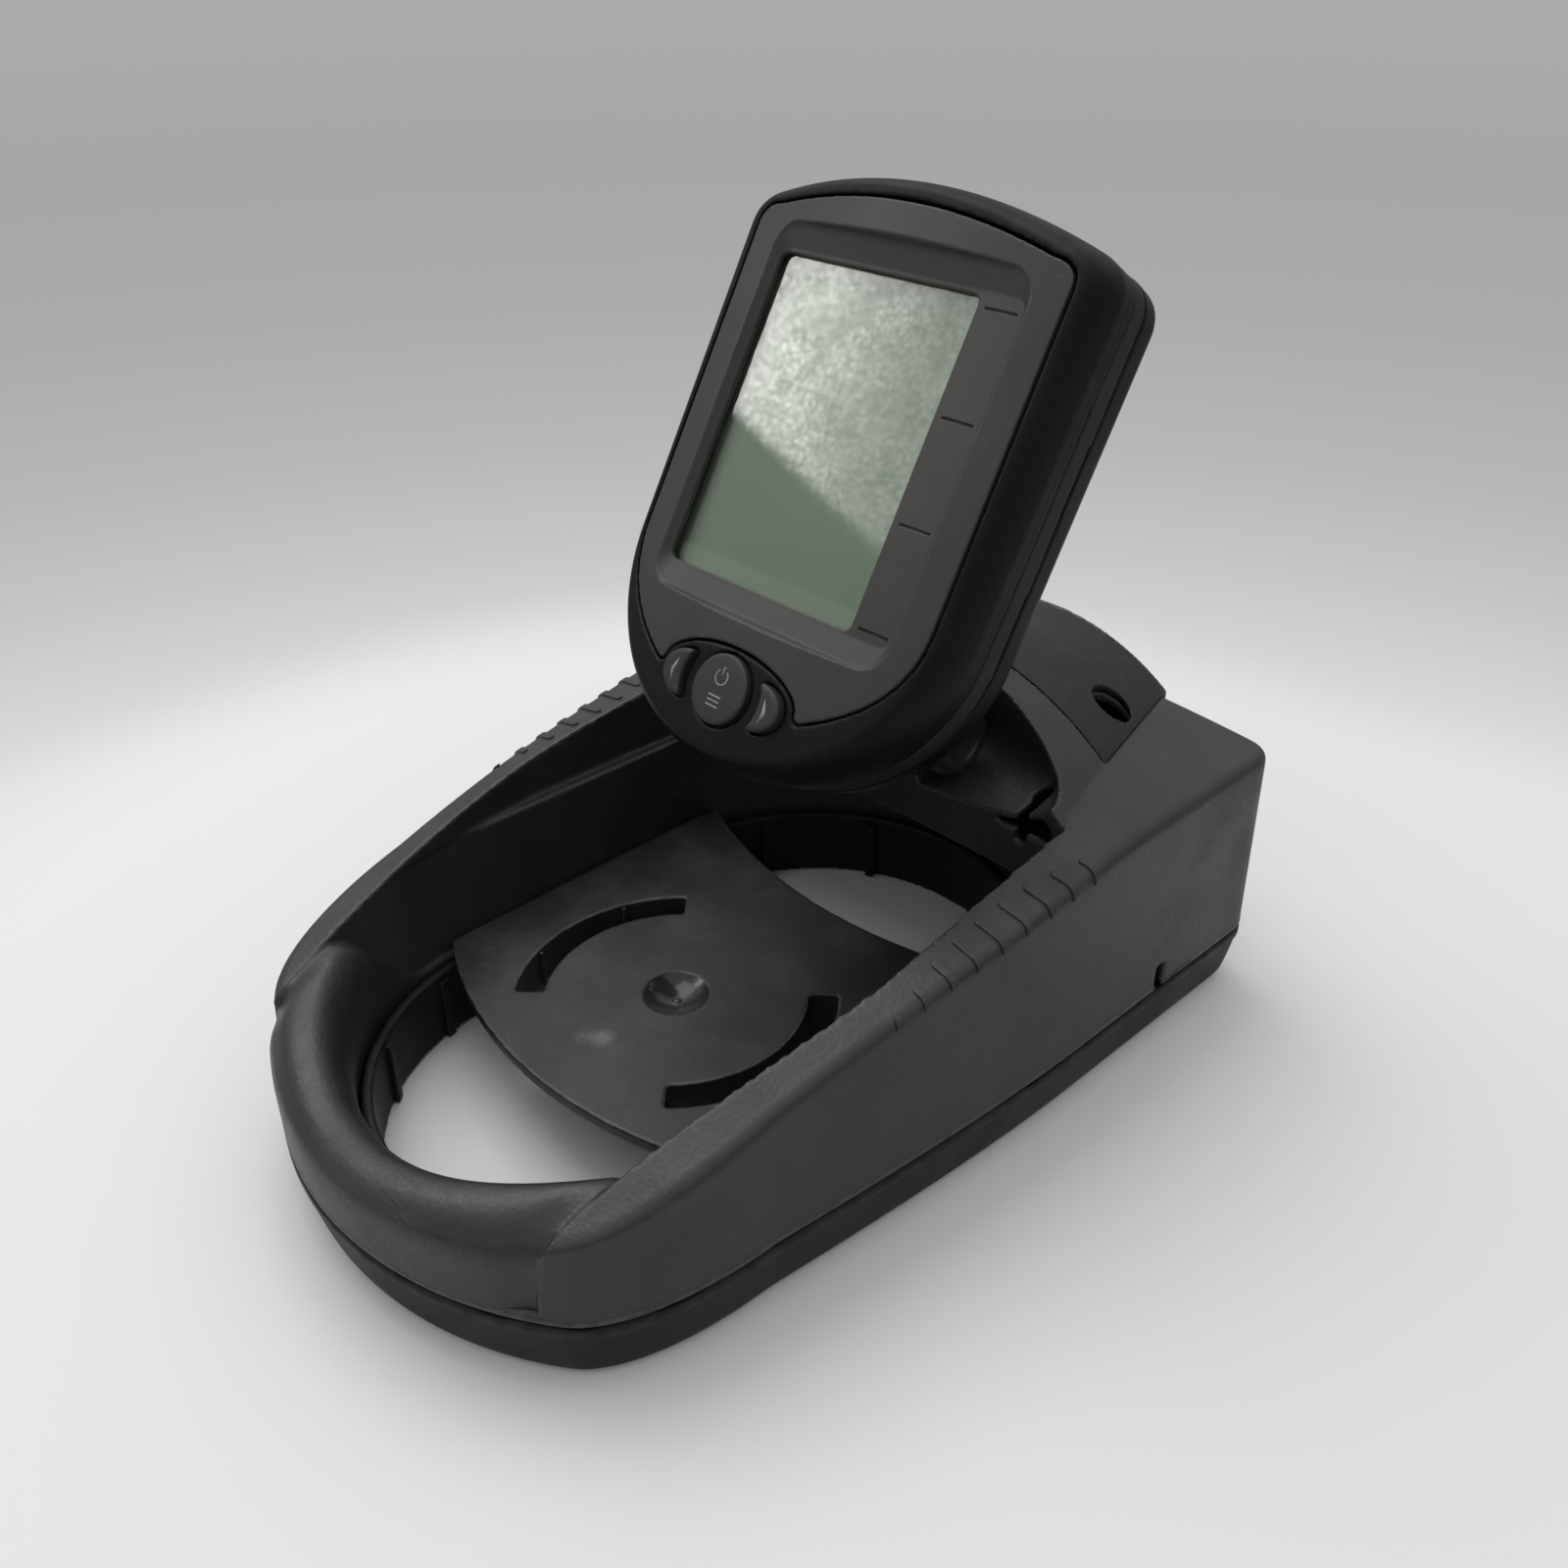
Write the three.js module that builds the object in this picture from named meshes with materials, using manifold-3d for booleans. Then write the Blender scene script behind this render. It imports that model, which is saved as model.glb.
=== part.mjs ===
// Portable fish finder: a tilting display head on a battery base with a carry ring.
// Millimetres, +Z up, +Y to the rear, origin on the floor under the middle of the base.
import * as THREE from 'three';
import { mergeVertices } from 'three/addons/utils/BufferGeometryUtils.js';
import Module from 'manifold-3d';

const wasm = await Module();
wasm.setup();

// Clearances shared by every piece
const gap = 0.3;
const overrun = 2;
const vertexTolerance = 0.001;

// Heights of the base above the floor
const level = {
  panBottom: 0.7, panRim: 18.4, seam: 20, ledge: 22.5, plateTop: 28, stepLedge: 56.5, deck: 78,
};

// Base casing, seen from above; x is half a width, y runs from the carry ring to the rear
const base = {
  wall: 2.5, edgeRadius: 3.6, sideInset: 1.2, noseY: -130.5, noseRadius: 100, noseEndX: 60,
  shoulderX: 75.6, shoulderY: -61.5, waistX: 84, waistY: 39.5, rearX: 84.8, rearY: 130.5,
  rearCorner: 9.5, rearBow: 6.8,
};
const outlineShares = {
  noseBend: 0.38, shoulderAcross: 0.04, shoulderAlong: 1.7, flareAcross: 0.33, flareAlong: 0.23,
  waistAcross: 0.06, waistAlong: 0.34, rearCorner: 1.12,
};
const blockShares = { hiddenRounding: 0.6, ridge: 0.9 };

// Rails beside the head: plan line of the inner edge and height of the top along y
const rail = {
  tipX: 57.3, tipY: -122.5, tipZ: 36, bulgeX: 68.9, bulgeY: -21.5, endX: 66.6, knee: { y: -73.5, z: 66.5 },
  pullY: 37, pullX: 66.2, pullRearY: 38, outwardDrop: 1.9, wallInset: 2.2,
};

// Hand opening and well under the head
const well = {
  halfWidth: 62.4, stepHalfWidth: 64.4, frontY: -50.5, frontReach: 63.5, rearY: 28.5, ledgeWidth: 3.5,
  wallThickness: 2.4, ribProud: 1.4, ribWidth: 2.4,
};
const wellRib = { frontAngles: [55.8, 78], rearAngles: [28, 62] };

// Carry ring round the front of the well
const ring = {
  sweepAngle: 96, outerEdge: 30, outerRise: 4.4, edgeWidth: 4.5, edgeHeight: 4.8, crest: 40, crestRise: 8,
  crestInset: 8.2, peakAngle: 53, fadeAngle: 76, fadeDrop: 12, fadeInset: 1.4,
};
const ringShares = { hiddenCrest: 0.7, edge: 0.7, slopes: [0.35, 0.7], roll: 0.3 };

// Cowl over the mount, its cover panel, and the niche that the mount stands in
const mouthY = 48.5;
const cowl = {
  frontHalf: 66.6, panelHalf: 55.6, rearHalf: 43.5, panelY: 81.5, rearY: 127.5,
  frontRise: 24, panelRise: 20, rearRise: 14, depth: 8,
};
const panel = { thickness: 2, holeX: 42, holeY: 102.5, holeRadius: 5.8 };
const niche = {
  halfWidth: 62.5, depth: 23.5, floor: 69, wallStart: 83, seatHalf: 17, seatDepth: 18.5, seatTop: 71.5,
  notchX: 53, notchWidth: 3.4, notchReach: 9.4, notchRadius: 2.8,
};

// Small finger notch in the right wall's lower edge
const sideNotch = { frontY: 74.5, rearY: 78.5, top: 28 };

// Grip ribs on the rails; the inner ends follow an arc
const grip = {
  count: 9, pitch: 8.3, firstY: -25.5, width: 2.2, height: 0.6, innerX: 72.1, outerInnerX: 77, wrap: 5,
};

// Pan under the casing, with its tongue, and the places of feet and case screws
const pan = { floor: 3, slopeInset: 2.8, rollInset: 3.6, bottomInset: 4.9, slopeShare: 0.16, rollShare: 0.05 };
const tongue = { width: 1.8, height: 3, depth: 5, clearance: 1.3 };
const foot = { radius: 6, rearX: 70.5, rearY: 104, frontAngle: 35, frontReach: 71, sink: 0.8, depth: 1.5 };
const bossScrew = {
  radius: 3.3, hole: 1.3, clearHole: 1.6, headRadius: 2.7, headHeight: 2, headZ: 8, reach: 12, x: 68.8,
  frontY: -35, rearX: 72, rearY: 70,
};
const screwShares = { faceRadius: 0.8, rimHeight: 0.4 };

// Battery bay at the rear: eight round cells in a rack above a screwed cover
const cell = {
  radius: 7.25, length: 49.2, nubRadius: 2.7, nubLength: 1.3, rowY: 100.7, rowPitch: 15.1, layerPitch: 16,
};
const rack = { web: 0.9, endWall: 1.5, rearY: 121.2, frontY: 95, contact: 0.5 };
const cover = {
  holeHalf: 53.5, frontY: 94, rearY: 121.5, rimX: 9.5, rimY: 2, thickness: 1.5, screwX: 59.2, headSink: 1,
  ribInset: 3.6, gripHalf: 16.4, gripSpacing: 3, gripWidth: 1.5,
};

// Cross plate over the well, with its curved slots and dimple
const plate = {
  thickness: 3.5, frontSide: -56.5, frontMiddle: -72.8, rearSide: 43.5, rearMiddle: 29.3, centreY: -26.5,
  slotInner: 35.6, slotOuter: 43.5, slotAngle: 44.5, slotWall: 1.6, slotDepth: 8.5, slotRib: 0.9, ribAngle: 20,
  dimpleRadius: 9, dimpleDepth: 3.2, dishWall: 2, skirtWidth: 2.6, nubRadius: 0.8, clearance: 0.6,
};

// Mount in the niche: a screwed foot with two ears, and the tilt bolt with a knob at each end
const pivot = { y: 55.5, z: 83.5 };
const yoke = {
  half: 16.4, earInner: 12.4, earRadius: 8, footFront: 0.6, footRear: 17.9, footThickness: 3, boltRadius: 2.4,
  screwX: 7, screwRear: 5,
};
const knob = {
  inner: 0.5, length: 11, radius: 10.5, hubRadius: 6, hubLength: 2, lobes: 10, lobeDepth: 0.7, cap: 2, flare: 1,
};
const knobShares = { shoulder: 0.6, crown: 0.86, dish: 0.55, dishDepth: 0.4 };
const barrel = { half: 11, radius: 7.6 };
const footScrew = { headRadius: 2.6, headHeight: 1.6, radius: 1.3, length: 7 };

// Display head, in its own frame: x to the right, z up the face, y into the depth
const head = {
  tilt: 30.64, reach: 68.8, rise: 6.8, half: 55, topV: 127.6, topBow: 9.2, cornerDrop: 9.1, corner: 9,
  bendV: 30, bottomV: -19, crownRadius: 290, wall: 2.4, frontDepth: 20.2, bandDepth: 5.5, backDepth: 36,
  frontWall: 7.5, partingInset: 0.2, innerInset: 1, shoulderInset: 4.9, shoulderDepth: 11, rearEdgeInset: 0.5,
  rearRollInset: 6.5, rearRollDepth: 5, rearInset: 2.6,
};
const headShares = { cornerFollow: 0.6, side: 0.7 };

// Faceplate in the front of the head; drops and insets run from the head's top and sides
const face = {
  inset: 5.75, topDrop: 4.5, topBow: 5.1, shoulderDrop: 9.7, cornerDrop: 15.6, cornerInset: 12.5, bendRise: 2,
  tipU: 25.2, tipV: 0.6, archTop: 11.2, archHalf: 23.8, archFootAngle: 12, thickness: 2.4, groove: 0.75,
};
const faceShares = { tipAcross: 0.46, tipAlong: 0.17, sideAlong: 0.47 };
const recess = {
  leftInset: 15, rightInset: 11.5, bottom: 18.3, topDrop: 13.6, corner: 7, floor: 4.6, back: 6, slopeSide: 2.2,
  slopeTop: 6, rim: 1.3,
};
const windowPane = { leftInset: 19, rightInset: 25, bottom: 25, topDrop: 22.6, corner: 2.5, margin: 3 };
const tick = { count: 4, start: 2.5, end: 1.5, lowInset: 1.7, highInset: 2.1, width: 0.7, depth: 0.5 };

// Layers behind the window, the boards' places, and the keys below it
const stack = { lens: 1.2, panel: 2, light: 2.5, board: 1.6 };
const board = { sideInset: 14, bottomRise: 9, topDrop: 10.6, edge: 5 };
const boardPost = { radius: 2.6, upperInset: 25, upperDrop: 8.8, lowerOut: 4, lowerRise: 15 };
const sounder = { radius: 6, height: 4, u: 26, topDrop: 35.6 };
const radio = { half: 9, height: 3.2, reach: 7, u: -26, topDrop: 35.6 };
const button = {
  radius: 9, innerRadius: 12.3, outerRadius: 19.7, low: -6.5, high: 5.2, proud: 1.5, travel: 1, clearance: 0.48,
  bevelWidth: 0.6, bevelHeight: 0.7, matDepth: 3, mat: 1.5, matHalf: 24, matLow: -12, matHigh: 12,
};
const crescentShare = 0.8;
const capShares = [[0, 0], [1, 0], [1, 0.86], [0.94, 0.97], [0.6, 1.02], [0, 1.04]];

// Screws that close the head, and the bracket on its back
const screwBoss = {
  radius: 3.2, hole: 1.2, headRadius: 2.5, headHeight: 1.6, sink: 2.6, clear: 1.5, holeDepth: 9,
  upperInset: 12, upperDrop: 19.6, lowerOut: 12, lowerRise: 20,
};
const bracket = {
  half: 19, low: -9, high: 23, thickness: 3, corner: 3, screwX: 15, screwLow: -5, screwHigh: 19,
  neckHalf: 6, neckWide: 9.5, neckCorner: 2, neckFlare: 1.5, neckLow: 9.6, neckHigh: 10.8,
};

// Facets along the curves of the outline, the well, the cowl, the niche and the head
const facets = {
  nose: 6, side: 5, railFront: 10, railRear: 5, well: 12, ring: 28, cowlArch: 10, cowlLength: 3, nicheTurn: 18,
  nicheRise: 4, head: 8, headTop: 4, crown: 6, arch: 6, archFoot: 3, faceSide: 8, faceTop: 5, corner: 4,
  crescent: 7, plateBow: 10, roll: 3, round: 16,
};

// Places worked out from the sizes above
const noseEndY = base.noseY + base.noseRadius - Math.sqrt(base.noseRadius ** 2 - base.noseEndX ** 2);
const screwSpots = [
  [bossScrew.x, bossScrew.frontY], [-bossScrew.x, bossScrew.frontY],
  [bossScrew.rearX, bossScrew.rearY], [-bossScrew.rearX, bossScrew.rearY],
];
const frontFoot = THREE.MathUtils.degToRad(foot.frontAngle);
const frontFootX = foot.frontReach * Math.sin(frontFoot);
const frontFootY = well.frontY - foot.frontReach * Math.cos(frontFoot);
const footSpots = [
  [frontFootX, frontFootY], [-frontFootX, frontFootY], [foot.rearX, foot.rearY], [-foot.rearX, foot.rearY],
];
const panFloorTop = level.panBottom + pan.floor;
const coverMiddleY = (cover.frontY + cover.rearY) / 2;
const rackBottom = panFloorTop + gap * 2;
const lowLayerZ = rackBottom + rack.web + gap + cell.radius;
const cellX = cell.length / 2 + cell.nubLength / 2 + rack.web + gap;
const rackEndX = cellX + cell.length / 2 + cell.nubLength + gap * 2 + rack.contact;
const boltReach = yoke.half + knob.inner + knob.length - knob.cap;

const bandFront = head.frontDepth + gap;
const bandBack = bandFront + head.bandDepth;
const lensFront = recess.back + gap;
const panelFront = lensFront + stack.lens + gap;
const lightFront = panelFront + stack.panel + gap;
const boardFront = lightFront + stack.light + gap;
const boardBack = boardFront + stack.board;
const faceHalf = head.half - face.inset;
const faceTop = head.topV - face.topDrop;
const faceBendV = head.bendV + face.bendRise;
const recessEdges = {
  left: recess.leftInset - head.half, right: head.half - recess.rightInset, bottom: recess.bottom,
  top: head.topV - recess.topDrop,
};
const paneEdges = {
  left: windowPane.leftInset - head.half, right: head.half - windowPane.rightInset, bottom: windowPane.bottom,
  top: head.topV - windowPane.topDrop,
};
const fourSpots = (upper, upperV, lower, lowerV) => (
  [[upper, upperV], [-upper, upperV], [lower, lowerV], [-lower, lowerV]]);
const bossSpots = fourSpots(head.half - screwBoss.upperInset, head.topV - screwBoss.upperDrop,
  button.matHalf + screwBoss.lowerOut, head.bottomV + screwBoss.lowerRise);
const postSpots = fourSpots(head.half - boardPost.upperInset, head.topV - boardPost.upperDrop,
  button.matHalf + boardPost.lowerOut, head.bottomV + boardPost.lowerRise);
const bracketSpots = fourSpots(bracket.screwX, bracket.screwHigh, bracket.screwX, bracket.screwLow);

const matte = (colour, roughness, metalness = 0) =>
  new THREE.MeshStandardMaterial({ color: colour, roughness, metalness });

// Solid from a closed geometry, and back again
function solid(geometry) {
  const clean = geometry.clone();
  clean.deleteAttribute('normal');
  clean.deleteAttribute('uv');
  const merged = mergeVertices(clean, vertexTolerance);
  const order = merged.index.array;
  const kept = [];
  for (let i = 0; i < order.length; i += 3) {
    const [a, b, c] = [order[i], order[i + 1], order[i + 2]];
    if (a !== b && b !== c && c !== a) kept.push(a, b, c);
  }
  const mesh = new wasm.Mesh({
    numProp: 3,
    vertProperties: new Float32Array(merged.attributes.position.array),
    triVerts: new Uint32Array(kept),
  });
  return new wasm.Manifold(mesh);
}

function geometryOf(body) {
  const mesh = body.getMesh();
  const geometry = new THREE.BufferGeometry();
  geometry.setAttribute('position', new THREE.BufferAttribute(new Float32Array(mesh.vertProperties), 3));
  geometry.setIndex(new THREE.BufferAttribute(new Uint32Array(mesh.triVerts), 1));
  geometry.computeVertexNormals();
  return geometry;
}

const joined = (bodies) => bodies.reduce((sum, body) => sum.add(body));

// The largest of a body's separate lumps, without the slivers that a cut leaves
function mainLump(body) {
  return body.decompose().reduce((best, lump) => (lump.volume() > best.volume() ? lump : best));
}

// Closed body from rings of equal counts, stacked from first to last, each ring counter-clockwise
// when seen from the side of the last ring
function loft(rings) {
  const count = rings[0].length;
  const positions = rings.flat().flatMap((point) => [point.x, point.y, point.z]);
  const order = [];
  for (let k = 0; k + 1 < rings.length; k += 1) {
    for (let i = 0; i < count; i += 1) {
      const [a, b] = [k * count + i, k * count + (i + 1) % count];
      order.push(a, b, b + count, a, b + count, a + count);
    }
  }
  const cap = (ringPoints, offset, flip) => {
    const flat = flatten(ringPoints);
    const faces = THREE.ShapeUtils.triangulateShape(flat, []);
    const turned = faces.reduce((sum, face) => sum + THREE.ShapeUtils.area(face.map((i) => flat[i])), 0) < 0;
    faces.forEach(([a, b, c]) => {
      const face = turned === flip ? [a, b, c] : [a, c, b];
      order.push(...face.map((index) => index + offset));
    });
  };
  cap(rings[0], 0, true);
  cap(rings.at(-1), count * (rings.length - 1), false);
  const geometry = new THREE.BufferGeometry();
  geometry.setAttribute('position', new THREE.Float32BufferAttribute(positions, 3));
  geometry.setIndex(order);
  return solid(geometry);
}

// A ring's points in its own plane, turned so that the ring runs counter-clockwise
function flatten(points) {
  const normal = new THREE.Vector3();
  points.forEach((point, i) => normal.add(point.clone().cross(points[(i + 1) % points.length])));
  normal.normalize();
  const turn = new THREE.Quaternion().setFromUnitVectors(normal, new THREE.Vector3(0, 0, 1));
  return points.map((point) => {
    const flat = point.clone().applyQuaternion(turn);
    return new THREE.Vector2(flat.x, flat.y);
  });
}

function extruded(shape, from, to, steps = 8) {
  const settings = { depth: to - from, bevelEnabled: false, curveSegments: steps };
  return solid(new THREE.ExtrudeGeometry(shape, settings).translate(0, 0, from));
}

function cylinder(radius, length, sides = 24) {
  return solid(new THREE.CylinderGeometry(radius, radius, length, sides));
}

const alongX = (body) => body.rotate([0, 0, 90]);
const alongZ = (body) => body.rotate([90, 0, 0]);

function block(x0, x1, y0, y1, z0, z1) {
  const geometry = new THREE.BoxGeometry(x1 - x0, y1 - y0, z1 - z0);
  return solid(geometry.translate((x0 + x1) / 2, (y0 + y1) / 2, (z0 + z1) / 2));
}

const mirrored = (body) => body.mirror([1, 0, 0]);
const bothSides = (body) => body.add(mirrored(body));
const atSpots = (spots, make) => joined(spots.map(([x, y]) => make(x, y)));

// Outline of the casing: right half from the nose to the rear, then mirrored
function halfOutline() {
  const path = new THREE.Path();
  const noseCentreY = base.noseY + base.noseRadius;
  const start = -Math.PI / 2;
  const sweep = Math.asin(base.noseEndX / base.noseRadius);
  path.absarc(0, noseCentreY, base.noseRadius, start, start + sweep, false);
  const corner = base.shoulderX - base.noseEndX;
  path.bezierCurveTo(
    base.noseEndX + corner / 2, noseEndY + corner * outlineShares.noseBend,
    base.shoulderX - corner * outlineShares.shoulderAcross, base.shoulderY - corner * outlineShares.shoulderAlong,
    base.shoulderX, base.shoulderY,
  );
  const flare = base.waistX - base.shoulderX;
  const run = base.waistY - base.shoulderY;
  path.bezierCurveTo(
    base.shoulderX + flare * outlineShares.flareAcross, base.shoulderY + run * outlineShares.flareAlong,
    base.waistX - flare * outlineShares.waistAcross, base.waistY - run * outlineShares.waistAlong,
    base.waistX, base.waistY,
  );
  const cornerY = base.rearY - base.rearBow - base.rearCorner;
  const points = [];
  const [nose, shoulder, side] = path.curves;
  points.push(...nose.getPoints(facets.nose), ...shoulder.getPoints(facets.side).slice(1));
  points.push(...side.getPoints(facets.side).slice(1));
  points.push(new THREE.Vector2((base.waistX + base.rearX) / 2, (base.waistY + cornerY) / 2));
  const bend = new THREE.QuadraticBezierCurve(
    new THREE.Vector2(base.rearX, cornerY),
    new THREE.Vector2(base.rearX, cornerY + base.rearCorner),
    new THREE.Vector2(base.rearX - base.rearCorner, cornerY + base.rearCorner * outlineShares.rearCorner),
  );
  points.push(...bend.getPoints(facets.side));
  const rearSpan = base.rearX - base.rearCorner;
  const sag = base.rearBow - base.rearCorner * (outlineShares.rearCorner - 1);
  for (let i = 1; i <= facets.side; i += 1) {
    const x = rearSpan * (1 - i / facets.side);
    points.push(new THREE.Vector2(x, base.rearY - sag * (x / rearSpan) ** 2));
  }
  return points;
}

const rightOutline = halfOutline();

// Whole outline, counter-clockwise, moved inwards by an inset; hidden faces take every second point
function outlinePoints(inset, stride = 1) {
  const right = rightOutline.filter((_, i) => i % stride === 0 || i === rightOutline.length - 1);
  const left = right.slice(1, -1).reverse().map((point) => new THREE.Vector2(-point.x, point.y));
  return insetLoop([...right, ...left], inset);
}

function insetLoop(points, inset) {
  return points.map((point, i) => {
    const before = points[(i + points.length - 1) % points.length];
    const after = points[(i + 1) % points.length];
    const [a, b] = [point.clone().sub(before).normalize(), after.clone().sub(point).normalize()];
    const normal = new THREE.Vector2(-a.y - b.y, a.x + b.x);
    const scale = inset * 2 / normal.lengthSq();
    return point.clone().add(normal.multiplyScalar(scale));
  });
}

const raised = (points, z) => points.map((point) => new THREE.Vector3(point.x, point.y, z));

// Height of a rail's top along y: a quadratic curve up to the flat deck
function railTop(y) {
  if (y >= mouthY) return level.deck;
  const a = rail.tipY - 2 * rail.knee.y + mouthY;
  const b = 2 * (rail.knee.y - rail.tipY);
  const share = (-b + Math.sqrt(Math.max(b * b - 4 * a * (rail.tipY - y), 0))) / (2 * a);
  const t = Math.max(share, 0);
  return (1 - t) ** 2 * rail.tipZ + 2 * t * (1 - t) * rail.knee.z + t ** 2 * level.deck;
}

// Inner edge of the right rail in plan, from its tip to the mouth
function railLine() {
  const front = new THREE.CubicBezierCurve(
    new THREE.Vector2(rail.tipX, rail.tipY), new THREE.Vector2(rail.tipX, rail.tipY + rail.pullY),
    new THREE.Vector2(rail.pullX, rail.bulgeY - rail.pullRearY), new THREE.Vector2(rail.bulgeX, rail.bulgeY),
  );
  const rear = new THREE.QuadraticBezierCurve(
    new THREE.Vector2(rail.bulgeX, rail.bulgeY), new THREE.Vector2(rail.bulgeX, (rail.bulgeY + mouthY) / 2),
    new THREE.Vector2(rail.endX, mouthY),
  );
  return [...front.getPoints(facets.railFront), ...rear.getPoints(facets.railRear).slice(1)];
}

const railEdge = railLine();

function railInnerX(y) {
  const next = railEdge.findIndex((point) => point.y > y);
  if (next === 0) return rail.tipX;
  if (next < 0) return rail.endX;
  const [a, b] = [railEdge[next - 1], railEdge[next]];
  return a.x + (b.x - a.x) * (y - a.y) / (b.y - a.y);
}

// Solid block under the rails' top surface, with rounded upper edges
function casingBlock(inset) {
  const rounding = base.edgeRadius - Math.min(inset, base.wall) * blockShares.hiddenRounding;
  const slope = (y) => rail.outwardDrop * THREE.MathUtils.smoothstep(y, rail.tipY, base.shoulderY)
    * (1 - THREE.MathUtils.smoothstep(y, 0, mouthY + niche.depth));
  const edge = (y) => railTop(y) - slope(y) - inset;
  const hidden = inset === base.wall;
  const turns = hidden ? [0, 90] : [0, 45, 90];
  const stride = hidden ? 2 : 1;
  const rings = [raised(outlinePoints(inset, stride), hidden ? level.seam - overrun : level.seam)];
  turns.forEach((degrees) => {
    const angle = THREE.MathUtils.degToRad(degrees);
    const points = outlinePoints(inset + base.sideInset + rounding * (1 - Math.cos(angle)), stride);
    rings.push(points.map((p) => new THREE.Vector3(p.x, p.y, edge(p.y) - rounding * (1 - Math.sin(angle)))));
  });
  const rim = rings.at(-1);
  const half = rim.length / 2;
  const count = rim.length;
  const positions = rings.flat();
  const order = [];
  for (let k = 0; k + 1 < rings.length; k += 1) {
    for (let i = 0; i < count; i += 1) {
      const [a, b] = [k * count + i, k * count + (i + 1) % count];
      order.push(a, b, b + count, a, b + count, a + count);
    }
  }
  const flat = rings[0].map((point) => new THREE.Vector2(point.x, point.y));
  THREE.ShapeUtils.triangulateShape(flat, []).forEach(([a, b, c]) => order.push(a, c, b));
  const rimStart = (rings.length - 1) * count;
  const ridge = [];
  for (let i = 0; i <= half; i += 1) {
    const { x, y } = rim[i];
    const inner = Math.min(railInnerX(y) - inset, x * blockShares.ridge);
    ridge.push([positions.length, positions.length + 1]);
    const top = railTop(y) - inset;
    positions.push(new THREE.Vector3(inner, y, top), new THREE.Vector3(-inner, y, top));
  }
  for (let i = 0; i < half; i += 1) {
    const columns = (k) => [rimStart + k, ridge[k][0], ridge[k][1], rimStart + (count - k) % count];
    const [near, far] = [columns(i), columns(i + 1)];
    for (let j = 0; j < 3; j += 1) {
      order.push(near[j], far[j], far[j + 1], near[j], far[j + 1], near[j + 1]);
    }
  }
  const geometry = new THREE.BufferGeometry();
  const numbers = positions.flatMap((p) => [p.x, p.y, p.z]);
  geometry.setAttribute('position', new THREE.Float32BufferAttribute(numbers, 3));
  geometry.setIndex(order);
  return solid(geometry);
}

// Room between the rails, above the step ledge, grown by an inset
function upperRoom(inset) {
  const edge = railEdge.map((point) => new THREE.Vector2(point.x + inset, point.y));
  const front = base.noseY - overrun;
  const right = [new THREE.Vector2(rail.tipX + inset, front), ...edge];
  right.push(new THREE.Vector2(rail.endX + inset, mouthY + inset));
  const left = [...right].reverse().map((point) => new THREE.Vector2(-point.x, point.y));
  return extruded(new THREE.Shape([...right, ...left]), level.stepLedge - inset, level.deck + cowl.frontRise);
}

// Room between the front ends of the rails, whose inner faces have draft
function frontRoom(inset) {
  const rear = well.frontY - rail.wallInset;
  const lowest = level.seam - overrun * 2;
  const highest = level.stepLedge + overrun;
  const line = railEdge.filter((point) => point.y < rear);
  line.unshift(new THREE.Vector2(rail.tipX, base.noseY - overrun));
  line.push(new THREE.Vector2(railInnerX(rear), rear));
  const ringAt = (z) => {
    const lean = rail.wallInset * (level.stepLedge - z) / (level.stepLedge - level.ledge);
    const right = line.map((point) => new THREE.Vector3(point.x + inset - lean, point.y, z));
    const left = [...right].reverse().map((point) => new THREE.Vector3(-point.x, point.y, z));
    return [...right, ...left];
  };
  return loft([ringAt(lowest), ringAt(highest)]);
}

// Outline of the well: half an ellipse in front, half a circle behind
function wellOutline(halfWidth, grow = 0) {
  const points = [];
  const side = halfWidth + grow;
  for (let i = 0; i <= facets.well; i += 1) {
    const angle = Math.PI * (1 + i / facets.well);
    const reach = well.frontReach + grow;
    points.push(new THREE.Vector2(side * Math.cos(angle), well.frontY + reach * Math.sin(angle)));
  }
  for (let i = 0; i <= facets.well; i += 1) {
    const angle = Math.PI * i / facets.well;
    points.push(new THREE.Vector2(side * Math.cos(angle), well.rearY + side * Math.sin(angle)));
  }
  return points;
}

// The well's room with drafted sides, up to the step ledge
function wellRoom(inset) {
  const low = raised(wellOutline(well.halfWidth, inset), level.seam - overrun * 2);
  const foot = raised(wellOutline(well.halfWidth, inset), level.ledge);
  const high = raised(wellOutline(well.stepHalfWidth, inset), level.stepLedge - (inset > 0 ? -inset : 0));
  return loft([low, foot, high]);
}

// Distance from the well's front centre to the casing's outline along a direction
function reachToOutline(angle, inset) {
  const direction = new THREE.Vector2(Math.sin(angle), -Math.cos(angle));
  const points = outlinePoints(inset, inset > 0 ? 2 : 1);
  for (let i = 0; i < points.length; i += 1) {
    const start = points[i].clone().sub(new THREE.Vector2(0, well.frontY));
    const side = points[(i + 1) % points.length].clone().sub(points[i]);
    const scale = direction.x * side.y - direction.y * side.x;
    const along = (start.x * side.y - start.y * side.x) / scale;
    const share = (start.x * direction.y - start.y * direction.x) / scale;
    if (along > 0 && share >= 0 && share <= 1) return along;
  }
  return base.noseRadius;
}

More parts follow.
